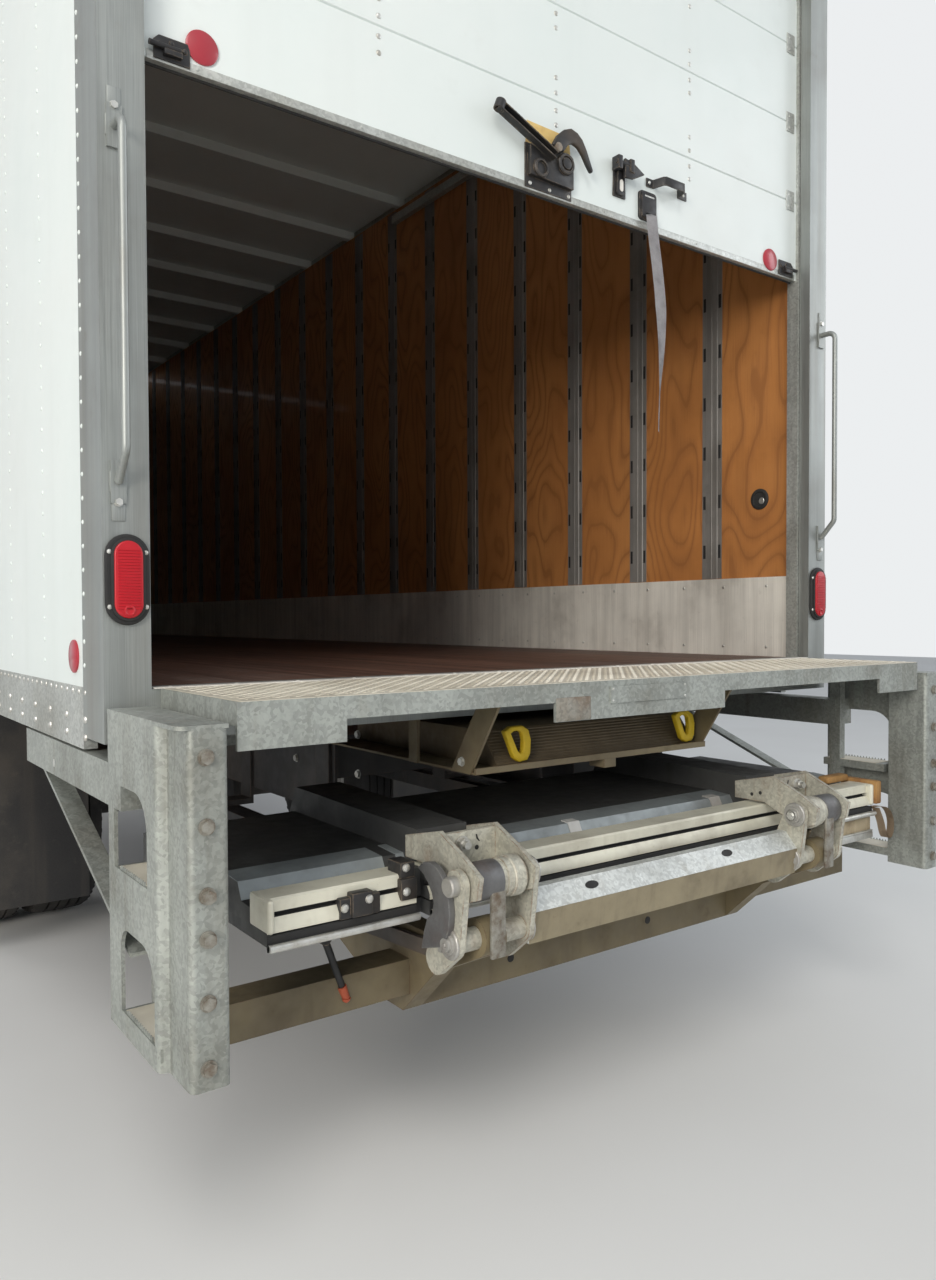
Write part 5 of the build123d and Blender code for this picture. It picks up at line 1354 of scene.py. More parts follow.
@dataclass
class TailLamps:
    """The oval tail lamps: rubber flange, ribbed red lens and four screws each."""

    middle_x: float = 1.245
    middle_z: float = 1.485
    flange_width: float = 0.094
    flange_height: float = 0.193
    lens_width: float = 0.060
    lens_height: float = 0.164
    rim_margin: float = 0.012
    # The ribs' reach from the middle, their pitch, and half their width and height
    rib_reach: float = 0.062
    rib_pitch: float = 0.0062
    rib_half: Flat = (0.024, 0.0018)
    # (place along Y, radius) points of the round mark, and how far it lies above the lens's foot
    mark: Outline = ((0.0, 0.012), (0.002, 0.012), (0.003, 0.009), (0.002, 0.007), (0.002, 0.0))
    mark_rise: float = 0.016
    # X and Z of a screw from the lamp's middle
    screw: Flat = (0.038, 0.058)

    def outline(self, width: float, height: float) -> list[Flat]:
        """Return the X, Z corners of an upright obround."""
        radius = width / 2
        straight = (height - width) / 2
        points = []
        for side in (1, -1):
            for step in range(17):
                angle = math.pi * step / 16 + (0.0 if side > 0 else math.pi)
                points.append((self.middle_x + radius * math.cos(angle),
                               self.middle_z + side * straight + radius * math.sin(angle)))
        return points

    def build(self) -> None:
        """Build both lamps in place of their plain solids."""
        flange = Shape(REAR)
        plate = flange.plate(self.outline(self.flange_width, self.flange_height), Axis.Y, 0.0, 0.010)
        flange.bevel(0.004, 3, vertices=plate)
        rim_line = self.outline(self.lens_width + self.rim_margin, self.lens_height + self.rim_margin)
        rim = flange.plate(rim_line, Axis.Y, 0.009, 0.015)
        flange.bevel(0.0015, 2, vertices=rim)
        flange.pair("tail_lamp_flanges", Finishes.SEAL, slot="lamp_red")
        lens = Shape(REAR)
        body = lens.plate(self.outline(self.lens_width, self.lens_height), Axis.Y, 0.010, 0.019)
        lens.bevel(0.003, 3, vertices=body)
        half_x, half_z = self.rib_half
        for level in rows(self.middle_z - self.rib_reach, self.middle_z + self.rib_reach, self.rib_pitch):
            rib = lens.block((self.middle_x - half_x, 0.0185, level - half_z),
                             (self.middle_x + half_x, 0.0205, level + half_z))
            lens.bevel(0.0009, 1, vertices=rib)
        low = self.middle_z - self.lens_height / 2 + self.mark_rise
        lens.turned(self.mark, (self.middle_x, 0.0185, low), Axis.Y, 24)
        made = lens.pair("tail_lamp_lenses", Finishes.LENS_RED, slot="lamp_red")
        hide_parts("tail_lamps")
        screws = Shape(REAR)
        for across in (-self.screw[0], self.screw[0]):
            for up in (-self.screw[1], self.screw[1]):
                screws.dome((self.middle_x + across, 0.010, self.middle_z + up), Axis.Y, 0.0055, 0.003, 12)
        screws.pair("tail_lamp_screws", Finishes.ZINC, slot="lamp_red")


@dataclass
class Handrails:
    """Foot plates and bolts at the ends of both handrails."""

    middle_x: float = 1.261
    ends: Flat = (1.69, 2.43)

    def build(self) -> None:
        """Add a foot plate, two small plates and one bolt at each end."""
        plates = Shape(REAR)
        bolts = Shape(REAR)
        for level in self.ends:
            side = -1.0 if level == min(self.ends) else 1.0
            self.foot(plates, level, 0.018, 0.022, 0.005)
            for offset in (0.030, 0.064):
                self.foot(plates, level + side * offset, 0.014, 0.018, 0.003)
            bolts.hexagon((self.middle_x, 0.003, level + side * 0.042), Axis.Y, 0.016, 0.008)
        plates.bevel(0.0015, 2)
        plates.pair("handrail_feet", Finishes.STAINLESS, slot="stainless")
        bolts.pair("handrail_bolts", Finishes.ZINC, slot="stainless")

    def foot(self, shape: Shape, level: float, half_width: float, half_height: float,
             thickness: float) -> None:
        """Add one flat plate behind a rail's end."""
        shape.block((self.middle_x - half_width, 0.0, level - half_height),
                    (self.middle_x + half_width, thickness, level + half_height))


@dataclass
class SillDetails:
    """Tread plates with their raised lugs and joints, and the fittings on the sill's face."""

    deck_low: float = 0.008
    deck_high: float = 0.412
    half_width: float = 1.170
    # X of the joints between the tread plates, and half a joint's width
    plate_joints: tuple[float, ...] = (-1.015, -0.040, 1.015)
    half_joint: float = 0.0015
    plate_rise: float = 0.0012
    lug_pitch: float = 0.021
    lug_length: float = 0.0145
    lug_width: float = 0.0048
    lug_rise: float = 0.0014
    crown_share: float = 0.55

    def build(self) -> None:
        """Build the tread plates with their lugs and the face's fittings."""
        self.tread_plates()
        self.tread_lugs()
        self.joints()
        self.stop_plate()
        self.nameplate_screws()

    def tread_plates(self) -> None:
        """The four cream tread plates that lie on the sill."""
        shape = Shape(REAR)
        lows = [-self.half_width] + [place_x + self.half_joint for place_x in self.plate_joints]
        highs = [place_x - self.half_joint for place_x in self.plate_joints] + [self.half_width]
        for low, high in zip(lows, highs):
            shape.block((low, self.deck_low - 0.004, FLOOR),
                        (high, self.deck_high + 0.0078, FLOOR + self.plate_rise))
        shape.piece("sill_tread_plates", Finishes.TREAD, slot="tread_plate")

    def tread_lugs(self) -> None:
        """Rows of small raised lugs, every other row turned the other way."""
        shape = Shape(REAR)
        top = FLOOR + self.plate_rise
        columns = rows(-self.half_width + 0.025, self.half_width - 0.025, self.lug_pitch)
        lines = rows(self.deck_low + 0.02, self.deck_high - 0.02, self.lug_pitch)
        for number, place_y in enumerate(lines):
            for order, place_x in enumerate(columns):
                turned = (number + order) % 2
                half_x = (self.lug_length if turned else self.lug_width) / 2
                half_y = (self.lug_width if turned else self.lug_length) / 2
                corners = ((-half_x, 0.0), (0.0, -half_y), (half_x, 0.0), (0.0, half_y))
                base, crown = (
                    [shape.mesh.verts.new((place_x + x * share, place_y + y * share, level))
                     for x, y in corners]
                    for share, level in ((1.0, top), (self.crown_share, top + self.lug_rise))
                )
                shape.mesh.faces.new(crown)
                for index in range(4):
                    follow = (index + 1) % 4
                    shape.mesh.faces.new((base[index], base[follow], crown[follow], crown[index]))
        shape.piece("sill_tread_lugs", Finishes.TREAD, slot="tread_plate")

    def joints(self) -> None:
        """The dark joints between the sill's tread plates and the bright strip at the doorway."""
        seams = Shape(REAR)
        for place_x in self.plate_joints:
            seams.block((place_x - self.half_joint, self.deck_low, FLOOR - 0.002),
                        (place_x + self.half_joint, self.deck_high, FLOOR + 0.0004))
        seams.piece("sill_seams", Finishes.SEAL, slot="tread_plate")
        strip = Shape(REAR)
        strip.block((-1.19, -0.028, FLOOR), (1.19, 0.004, FLOOR + 0.003))
        strip.bevel(0.001, 1)
        for place_x in rows(-1.15, 1.15, 0.153):
            strip.dome((place_x, -0.012, FLOOR + 0.003), Axis.Z, 0.006, 0.0018)
        strip.piece("doorway_strip", Finishes.SCUFF, slot="tread_plate")

    def stop_plate(self) -> None:
        """The rusty stop plate on the left half of the sill's face."""
        plate = Shape(REAR)
        plate.block((0.297, 0.418, 1.161), (0.405, 0.4225, 1.216))
        plate.bevel(0.003, 2)
        plate.piece("sill_stop_lugs", Finishes.RUSTY, slot="tread_plate")

    def nameplate_screws(self) -> None:
        """Small rivets at the corners of the blank plate on the sill's face."""
        shape = Shape(REAR)
        for place_x in (-0.032, 0.225):
            for level in (1.201, 1.229):
                shape.dome((place_x, 0.424, level), Axis.Y, 0.003, 0.0015)
        shape.piece("sill_plate_rivets", Finishes.ZINC, slot="tread_plate")


@dataclass
class StepDetails:
    """Bolts, toothed treads and tread plates of the two corner steps, and the lever beside the left one."""

    # Z of the bolts down the rear face, and whether each has a long nut
    bolts: tuple[tuple[float, bool], ...] = (
        (1.158, False), (1.035, False), (0.913, True), (0.836, True), (0.722, False), (0.605, False),
    )
    face: float = 0.4405
    column: float = 1.243
    # level, Y from, Y to
    treads: tuple[Point, ...] = ((0.895, 0.075, 0.262), (0.61, 0.11, 0.30))
    # X from and to of a tread's worn plate, and X of the lip's outer face
    tread_x: Flat = (1.203, 1.2885)
    lip_x: float = 1.2925
    # the lever's top, the start of its tip and its end
    lever_line: tuple[Point, Point, Point] = (
        (0.863, 0.150, 0.682), (0.819, 0.150, 0.562), (0.808, 0.150, 0.532),
    )

    def build(self) -> None:
        """Build every fitting of the steps."""
        self.rear_bolts()
        self.teeth()
        self.tread_covers()
        self.beam_bolts()
        self.lever()

    def rear_bolts(self) -> None:
        """Hexagon bolts with washers down each step's rear face."""
        shape = Shape(REAR)
        for level, long in self.bolts:
            shape.hexagon((self.column, self.face, level), Axis.Y, 0.025, 0.016 if long else 0.009)
        shape.pair("step_bolts", Finishes.OLD_BOLT, slot="galvanised")

    def teeth(self) -> None:
        """Rows of small teeth along the outer lip of each tread opening."""
        shape = Shape(REAR)
        for level, low, high in self.treads:
            for place_y in rows(low + 0.02, high - 0.02, 0.011):
                tooth = [(place_y - 0.004, level - 0.001), (place_y + 0.004, level - 0.001),
                         (place_y, level + 0.007)]
                shape.plate(tooth, Axis.X, self.tread_x[1], self.lip_x)
        shape.pair("step_teeth", Finishes.GALVANISED, slot="galvanised")

    def tread_covers(self) -> None:
        """The worn pale plate on each tread."""
        shape = Shape(REAR)
        for level, low, high in self.treads:
            shape.block((self.tread_x[0], low, level - 0.001), (self.tread_x[1], high, level + 0.0012))
        shape.pair("step_tread_covers", Finishes.TREAD, slot="galvanised")

    def lever(self) -> None:
        """The black lever with an orange tip that hangs beside the low left beam."""
        top, joint, end = self.lever_line
        lever = Shape(REAR)
        lever.rod(top, joint, 0.009, 12, 0.008)
        lever.rod((top[0], top[1] - 0.022, top[2]), (top[0], top[1] + 0.010, top[2]), 0.015, 16)
        lever.piece("lift_lever", Finishes.HARDWARE, "lift_arms", "beam_paint")
        tip = Shape(REAR)
        tip.rod(joint, end, 0.011, 12, 0.009)
        tip.dome(end, (0.0, 0.0, -1.0), 0.011, 0.010, 16)
        tip.piece("lift_lever_tip", Finishes.ORANGE, "lift_arms", "beam_paint")

    def beam_bolts(self) -> None:
        """The bolt through each outrigger beam behind the step."""
        shape = Shape(REAR)
        shape.hexagon((1.292, -0.45, 1.045), Axis.X, 0.022, 0.003)
        shape.pair("step_beam_bolts", Finishes.ZINC, slot="frame_black")


@dataclass
class PlatformEdge:
    """Covers, lock blocks and end pieces along the folded platform's rear edge."""

    half_width: float = 1.077
    # X from and to of the notch that each hook stands in
    notch: Flat = (0.690, 0.726)
    # name, finish and section (Y behind the box, Z) of each cover
    covers: tuple[tuple[str, Finishes, Outline], ...] = (
        ("platform_band", Finishes.EDGE_GREY,
         ((0.098, 0.8550), (0.175, 0.8500), (0.1932, 0.8155), (0.1945, 0.8162), (0.1760, 0.8515),
          (0.098, 0.8565))),
        # Painted shadow: a black sheet laid in the recess where it lies in shadow
        ("platform_recess_painted_shadow", Finishes.SEAL,
         ((0.1945, 0.8148), (0.239, 0.8120), (0.239, 0.8126), (0.1945, 0.8156))),
        ("platform_track", Finishes.CREAM,
         ((0.2395, 0.8430), (0.305, 0.8430), (0.309, 0.8390), (0.309, 0.8172), (0.3102, 0.8172),
          (0.3102, 0.8395), (0.3055, 0.8442), (0.2395, 0.8442))),
        # Painted shade: a black sheet standing in for the shade inside the track's groove
        ("platform_groove_painted_shade", Finishes.SEAL,
         ((0.2950, 0.8062), (0.2962, 0.8062), (0.2962, 0.8168), (0.2950, 0.8168))),
        ("platform_flange", Finishes.CREAM,
         ((0.309, 0.8060), (0.320, 0.7900), (0.320, 0.7780), (0.3212, 0.7780), (0.3212, 0.7904),
          (0.3100, 0.8066))),
        ("platform_rubber", Finishes.SEAL,
         ((0.320, 0.7425), (0.3222, 0.7425), (0.3222, 0.7735), (0.320, 0.7735))),
    )
    lip: tuple[float, float, float] = (0.3305, 0.751, 0.0082)
    # X from and to of the white marks across the band
    marks: Outline = ((0.109, 0.149), (-0.473, -0.428))
    # name, finish, bevel and boxes of each piece on the right end
    right_pieces: tuple[tuple[str, Finishes, float, Boxes], ...] = (
        ("platform_end_timber", Finishes.END_TIMBER, 0.006,
         (((-1.108, 0.205, 0.780), (-1.0785, 0.338, 0.856)),
          ((-1.078, 0.196, 0.8448), (-0.960, 0.236, 0.868)))),
        ("platform_under_board", Finishes.OLD_BOARD, 0.004,
         (((-1.076, 0.180, 0.690), (-0.735, 0.318, 0.738)),)),
        ("platform_under_rail", Finishes.ZINC, 0.004,
         (((-1.078, 0.290, 0.668), (-0.735, 0.326, 0.6895)),
          ((-1.078, 0.306, 0.6895), (-0.735, 0.326, 0.696)))),
    )
    lock_boxes: Boxes = (
        ((0.820, 0.300, 0.776), (0.917, 0.326, 0.820)),
        ((0.842, 0.304, 0.778), (0.892, 0.334, 0.829)),
        ((0.727, 0.290, 0.789), (0.768, 0.326, 0.836)),
        ((0.727, 0.262, 0.830), (0.764, 0.318, 0.870)),
    )
    lock_bolts: tuple[Point, ...] = (
        (0.906, 0.326, 0.800), (0.852, 0.334, 0.812), (0.750, 0.318, 0.858), (0.754, 0.326, 0.808),
    )

    def spans(self) -> Outline:
        """Return the stretches of the edge between its notches."""
        near, far = self.notch
        return (-self.half_width, -far), (-near, near), (far, self.half_width)

    def build(self) -> None:
        """Build the covers, and then every fitting of the edge."""
        for name, finish, section in self.covers:
            shape = Shape(REAR)
            for low, high in self.spans():
                shape.plate(section, Axis.X, low, high)
            shape.piece(name, finish, "lift_platform", "platform_alloy")
        self.rear_lip()
        self.white_marks()
        self.end_blocks()
        self.lock_blocks()
        self.right_end()

    def rear_lip(self) -> None:
        """The bright round edge of the tip."""
        shape = Shape(REAR)
        y, z, radius = self.lip
        for low, high in self.spans():
            shape.rod((low, y, z), (high, y, z), radius, 20)
        shape.piece("platform_lip", Finishes.ZINC, "lift_platform", "platform_alloy")

    def white_marks(self) -> None:
        """Two white marks across the grey band."""
        shape = Shape(REAR)
        section = ((0.150, 0.8530), (0.1760, 0.8513), (0.1945, 0.8160), (0.1965, 0.8168), (0.1775, 0.8540),
                   (0.150, 0.8555))
        for low, high in self.marks:
            shape.plate(section, Axis.X, low, high)
        shape.piece("platform_marks", Finishes.WHEEL, "lift_platform", "platform_alloy")

    def end_blocks(self) -> None:
        """A rounded cream block at each end of the profile."""
        shape = Shape(REAR)
        shape.block((1.063, 0.236, 0.777), (1.0785, 0.329, 0.8460))
        shape.bevel(0.007, 3)
        shape.pair("platform_end_blocks", Finishes.CREAM, "lift_platform", "platform_alloy")

    def right_end(self) -> None:
        """The timber on the platform's right end, the board under it and the board's bright rail."""
        for name, finish, bevel, boxes in self.right_pieces:
            shape = Shape(REAR)
            for low, high in boxes:
                shape.block(low, high)
            shape.bevel(bevel, 2)
            shape.piece(name, finish, "lift_platform", "platform_alloy")

    def lock_blocks(self) -> None:
        """The black lock blocks on the profile, with their bright bolts."""
        blocks = Shape(REAR)
        bolts = Shape(REAR)
        for low, high in self.lock_boxes:
            blocks.block(low, high)
        blocks.bevel(0.003, 2)
        blocks.piece("platform_lock_blocks", Finishes.HARDWARE, "lift_platform", "hardware_black")
        for centre in self.lock_bolts:
            bolts.dome(centre, Axis.Y, 0.0098, 0.006, 16)
        bolts.piece("platform_lock_bolts", Finishes.ZINC, "lift_platform", "hardware_black")


@dataclass
class LiftHeads:
    """Hook plates, pins, links and marks of the two lift heads, and the bar between them."""

    upper_pin: Flat = (0.430, 0.835)
    lower_pin: Flat = (0.413, 0.707)
    # Y behind the box, Z
    hook: Outline = (
        (0.310, 0.852), (0.332, 0.868), (0.358, 0.873), (0.382, 0.867), (0.402, 0.852), (0.418, 0.832),
        (0.428, 0.806), (0.432, 0.776), (0.428, 0.744), (0.416, 0.718), (0.396, 0.698), (0.324, 0.676),
        (0.334, 0.716), (0.347, 0.748), (0.366, 0.764), (0.372, 0.786), (0.366, 0.808), (0.350, 0.828),
        (0.334, 0.842),
    )
    # (out from the face, radius) of the stepped rings round a pin
    rings: Outline = (
        (0.0, 0.034), (0.004, 0.034), (0.006, 0.032), (0.006, 0.023), (0.011, 0.022), (0.011, 0.016),
        (0.017, 0.015), (0.017, 0.006), (0.020, 0.005), (0.020, 0.0),
    )

    def build(self) -> None:
        """Build everything on the two heads and on the bar."""
        self.hooks()
        self.pin_rings()
        self.sleeves()
        self.pin_bolts()
        self.cross_plate_bolts()
        self.bar()
        self.small_marks()

    def hooks(self) -> None:
        """The crescent plates, in place of their plain solids."""
        shape = Shape(REAR)
        shape.plate(self.hook, Axis.X, 0.7005, 0.716)
        shape.bevel(0.0015, 2, over=50)
        hooks = shape.pair("hook_crescents", Finishes.DARK_STEEL, "lift_head", "hardware_black")
        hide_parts("hook_plates")

    def pin_rings(self) -> None:
        """Stepped rings and round pin heads on both faces of each head."""
        shape = Shape(REAR)
        y, z = self.lower_pin
        shape.turned(self.rings, (0.7002, y, z), Axis.X)
        for y, z in (self.upper_pin, self.lower_pin):
            shape.turned([(-out, radius) for out, radius in self.rings], (0.4948, y, z), Axis.X)
        y, z = self.upper_pin
        shape.turned([(0.0, 0.022), (0.018, 0.022), (0.021, 0.019), (0.0215, 0.0)], (0.7002, y, z), Axis.X)
        shape.block((0.7002, 0.382, 0.685), (0.712, 0.396, 0.700))
        shape.pair("lift_pin_rings", Finishes.PIN_STEEL, "lift_head", "galvanised")

    def sleeves(self) -> None:
        """The dark sleeve and the pale collar on each upper pin, and the hanging link plate behind them."""
        dark = Shape(REAR)
        y, z = self.upper_pin
        dark.turned([(0.596, 0.0), (0.596, 0.0415), (0.598, 0.0425), (0.660, 0.0425), (0.662, 0.0415),
                     (0.662, 0.0)], (0.0, y, z), Axis.X, 40)
        dark.pair("lift_pin_sleeves", Finishes.DARK_STEEL, "lift_head", "galvanised")
        pale = Shape(REAR)
        pale.turned([(0.536, 0.0), (0.536, 0.043), (0.539, 0.046), (0.566, 0.046), (0.569, 0.043),
                     (0.585, 0.043), (0.588, 0.0)], (0.0, y, z), Axis.X, 40)
        pale.pair("lift_pin_collars", Finishes.CHEEK, "lift_head", "galvanised")
        link = Shape(REAR)
        link.block((0.592, 0.458, 0.672), (0.630, 0.468, 0.835))
        link.bevel(0.003, 2)
        link.pair("lift_hanging_plates", Finishes.OLD_BOLT, "lift_head", "galvanised")

    def pin_bolts(self) -> None:
        """The bright bolt in the middle of each pin's inner end."""
        shape = Shape(REAR)
        for y, z in (self.upper_pin, self.lower_pin):
            shape.hexagon((0.4750, y, z), Axis.X, 0.020, -0.007)
            shape.turned([(0.0, 0.016), (0.006, 0.016), (0.006, 0.0)], (0.4745, y, z), Axis.X, 24)
        shape.pair("lift_pin_bolts", Finishes.ZINC, "lift_head", "galvanised")

    def cross_plate_bolts(self) -> None:
        """The large bolt in each cross plate, with its holes and curved slot drawn as thin black sheets of
        painted shade.
        """
        bolts = Shape(REAR)
        face = 0.347
        bolts.hexagon((0.622, face, 0.898), Axis.Y, 0.030, 0.014)
        bolts.rod((0.622, face + 0.014, 0.898), (0.622, face + 0.026, 0.898), 0.009, 16)
        bolts.pair("cross_plate_bolts", Finishes.ZINC, "lift_platform", "galvanised")
        # Painted shade: the holes and the slot are thin black sheets standing in for the dark inside them
        marks = Shape(REAR)
        marks.rod((0.580, face, 0.884), (0.580, face + 0.0006, 0.884), 0.0055, 16)
        marks.plate([(0.571, 0.897), (0.574, 0.897), (0.581, 0.904), (0.583, 0.914), (0.579, 0.914),
                     (0.577, 0.906)], Axis.Y, face, face + 0.0006)
        for y, z in ((0.267, 0.868), (0.297, 0.876)):
            marks.rod((0.5150, y, z), (0.5144, y, z), 0.0055, 16)
        marks.pair("cheek_hole_shade", Finishes.SEAL, "lift_platform", "galvanised")

    def bar(self) -> None:
        """The lower face of the bar in a darker, browner colour, and the oval holes in its sloped face as
        black discs of painted shade.
        """
        face = Shape(REAR)
        section = ((0.4370, 0.7395), (0.4280, 0.6680), (0.4292, 0.6678), (0.4383, 0.7393))
        face.plate(section, Axis.X, -0.495, 0.495)
        face.piece("bar_lower_face", Finishes.BAR_LOWER_TONE, "lift_head", "galvanised")
        # Painted shade: each oval hole is a thin black disc standing in for the dark inside it
        holes = Shape(REAR)
        out = Vector((0.0, 43.0, 37.0)).normalized()
        for x in (0.289, -0.211):
            hole = holes.rod((0.0, 0.0, -0.0005), (0.0, 0.0, 0.0008), 0.010, 24)
            stretch = Matrix.Diagonal((2.1, 1.0, 1.0, 1.0))
            turn = Vector((0.0, 0.0, 1.0)).rotation_difference(out).to_matrix().to_4x4()
            holes.move(hole, Matrix.Translation((x, 0.4155, 0.765)) @ turn @ stretch)
        holes.piece("bar_hole_shade", Finishes.SEAL, "lift_head", "galvanised")

    def small_marks(self) -> None:
        """Two drilled holes in the lift's low cross beam, drawn as black discs of painted shade."""
        shape = Shape(REAR)
        for x in (0.30, -0.22):
            shape.rod((x, 0.1200, 0.505), (x, 0.1208, 0.505), 0.011, 16)
        shape.piece("beam_hole_shade", Finishes.SEAL, "lift_arms", "beam_paint")


@dataclass
class WalkRamp:
    """The stowed walk ramp: a ribbed board with a yellow webbing grip at each end."""

    left: float = 0.405
    right: float = -0.335
    front: float = -0.50
    low: float = 1.028
    high: float = 1.116
    foot: float = 0.203
    top: float = 0.134
    ribs: int = 13
    # X, Z corners of the left grip's outer and inner outlines
    grip_outer: Outline = (
        (0.392, 1.118), (0.372, 1.129), (0.335, 1.130), (0.314, 1.118), (0.306, 1.092), (0.308, 1.058),
        (0.318, 1.041), (0.345, 1.038), (0.362, 1.050), (0.376, 1.082),
    )
    grip_inner: Outline = (
        (0.371, 1.112), (0.362, 1.117), (0.344, 1.118), (0.334, 1.110), (0.330, 1.092), (0.331, 1.068),
        (0.336, 1.061), (0.343, 1.061), (0.350, 1.069), (0.360, 1.090),
    )
    grip_step: float = -0.625

    def build(self) -> None:
        """Build the board with its ribs, and the two grips."""
        board = Shape(REAR)
        section = ((self.front, self.low), (self.foot, self.low), (self.top, self.high),
                   (self.front, self.high))
        board.plate(section, Axis.X, self.right, self.left)
        board.bevel(0.002, 2)
        slope = math.atan2(self.high - self.low, self.foot - self.top)
        reach = math.hypot(self.high - self.low, self.foot - self.top)
        for place_at in rows(0.006, reach - 0.008, reach / self.ribs):
            y = self.foot - place_at * math.cos(slope)
            z = self.low + place_at * math.sin(slope)
            board.block((self.right + 0.004, y - 0.001, z - 0.0012),
                        (self.left - 0.004, y + 0.0026, z + 0.0018))
        made = board.piece("walk_ramp_board", Finishes.RAMP, slot="tread_plate")
        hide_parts("walk_ramp")
        self.grips()

    def grips(self) -> None:
        """The thick yellow webbing grips on the ramp's end."""
        shape = Shape(REAR)
        low, high = 0.196, 0.214
        outer = [shape.mesh.verts.new((x, low, z)) for x, z in self.grip_outer]
        inner = [shape.mesh.verts.new((x, low, z)) for x, z in self.grip_inner]
        faces = []
        for index in range(len(outer)):
            follow = (index + 1) % len(outer)
            faces.append(shape.mesh.faces.new((outer[index], outer[follow], inner[follow], inner[index])))
        grown = bmesh.ops.extrude_face_region(shape.mesh, geom=faces)["geom"]
        moved = [item for item in grown if isinstance(item, bmesh.types.BMVert)]
        bmesh.ops.translate(shape.mesh, vec=(0.0, high - low, 0.0), verts=moved)
        shape.bevel(0.004, 3)
        shape.repeat(shape.mesh.verts[:], (self.grip_step, 0.0, 0.0), 2)
        shape.piece("walk_ramp_grips", Finishes.YELLOW, slot="tread_plate")


@dataclass
class RampRack:
    """The foot block under the rack's lip and the bolts of its brackets."""

    def build(self) -> None:
        """Add the small block and the bolts."""
        shape = Shape(REAR)
        shape.block((0.020, 0.170, 0.998), (0.064, 0.229, 1.024))
        shape.bevel(0.002, 2)
        shape.piece("rack_foot", Finishes.BEAM, slot="beam_paint")
        bolts = Shape(REAR)
        for x in (0.4990, -0.341):
            bolts.hexagon((x, 0.310, 1.215), Axis.X, 0.019, 0.008)
            bolts.hexagon((x, 0.180, 1.050), Axis.X, 0.019, 0.008)
        bolts.piece("rack_bolts", Finishes.ZINC, slot="beam_paint")


@dataclass
class Tyre:
    """One tyre with grooved tread ribs and shoulder lugs."""

    middle_x: float
    axle_y: float
    bead: float = 0.2865
    radius: float = 0.4998
    half_width: float = 0.1348
    groove_depth: float = 0.012
    groove_width: float = 0.009
    grooves: tuple[float, ...] = (-0.066, -0.022, 0.022, 0.066)
    lug_count: int = 56
    half_lug: float = 0.0085

    def profile(self) -> list[Flat]:
        """Return the closed section, as (place along X, radius) points."""
        side = [(0.098, self.bead), (0.113, 0.291), (0.121, 0.305), (0.129, 0.345), (0.1325, 0.350),
                (self.half_width, 0.395), (0.1325, 0.440), (0.128, 0.462), (0.122, 0.478), (0.104, 0.492)]
        tread = []
        for groove in reversed(self.grooves):
            edge = self.radius - 0.004 * abs(groove) / 0.07
            half = self.groove_width / 2
            tread += [(groove + half, edge), (groove + half * 0.7, edge - self.groove_depth),
                      (groove - half * 0.7, edge - self.groove_depth), (groove - half, edge)]
        left = [(-x, radius) for x, radius in reversed(side)]
        return side + tread + left

    def add_to(self, shape: Shape) -> None:
        """Add the tyre to a shape."""
        centre = (self.middle_x, self.axle_y, AXLE_HEIGHT)
        shape.turned(self.profile(), centre, Axis.X, 96, closed=True)
        for side in (-1.0, 1.0):
            low, high = sorted((side * 0.092, side * 0.1235))
            lug = shape.block((self.middle_x + low, self.axle_y - self.half_lug, AXLE_HEIGHT + 0.474),
                              (self.middle_x + high, self.axle_y + self.half_lug, AXLE_HEIGHT + 0.4945))
            outer = [vertex for vertex in lug
                     if abs(vertex.co.x - self.middle_x) > 0.12 and vertex.co.z > AXLE_HEIGHT + 0.49]
            bmesh.ops.translate(shape.mesh, vec=(0.0, 0.0, -0.012), verts=outer)
            shape.around(lug, centre, Axis.X, self.lug_count)


@dataclass
class Wheels:
    """Tyres with tread and wheel nuts on all six wheels, and an oil cap on each front hub."""

    front_x: float = 1.03
    rear_x: Flat = (0.79, 1.10)
    # X of the rims' faces that the nuts sit on, front and rear
    faces: Flat = (1.101, 0.961)
    nut_circle: float = 0.1425
    nut_count: int = 10
    nut_size: float = 0.033
    # out from the hub, radius
    oil_cap: Outline = (
        (0.0, 0.092), (0.018, 0.090), (0.024, 0.080), (0.044, 0.076), (0.050, 0.066), (0.052, 0.0),
    )

    def build(self) -> None:
        """Build the tyres, the nuts and the hubs of both sides."""
        for side, name in ((1.0, "left"), (-1.0, "right")):
            front = Shape()
            Tyre(side * self.front_x, FRONT_AXLE).add_to(front)
            tyre = front.piece(f"{name}_front_tread", Finishes.TYRE, f"{name}_front_wheel", "tyre_rubber")
            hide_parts(f"{name}_front_tyre")
            rear = Shape()
            for place_x in self.rear_x:
                Tyre(side * place_x, REAR_AXLE).add_to(rear)
            tyres = rear.piece(f"{name}_rear_treads", Finishes.TYRE, f"{name}_rear_wheels", "tyre_rubber")
            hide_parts(f"{name}_rear_tyres")
            self.nuts(name, side)

    def nuts(self, name: str, side: float) -> None:
        """Wheel nuts on both wheels of one side, and the front wheel's oil cap."""
        for part, axle, face in (("front_wheel", FRONT_AXLE, self.faces[0]),
                                 ("rear_wheels", REAR_AXLE, self.faces[1])):
            shape = Shape()
            body = f"{name}_{part}"
            nut = shape.hexagon((side * face, axle, AXLE_HEIGHT + self.nut_circle), Axis.X, self.nut_size,
                                side * 0.024)
            shape.around(nut, (0.0, axle, AXLE_HEIGHT), Axis.X, self.nut_count)
            shape.piece(f"{body}_nuts", Finishes.ZINC, body, "wheel_white")
        cap = Shape()
        profile = [(side * (1.100 + out), radius) for out, radius in self.oil_cap]
        cap.turned(profile, (0.0, FRONT_AXLE, AXLE_HEIGHT), Axis.X, 40)
        cap.piece(f"{name}_oil_cap", Finishes.ZINC, f"{name}_front_wheel", "wheel_white")


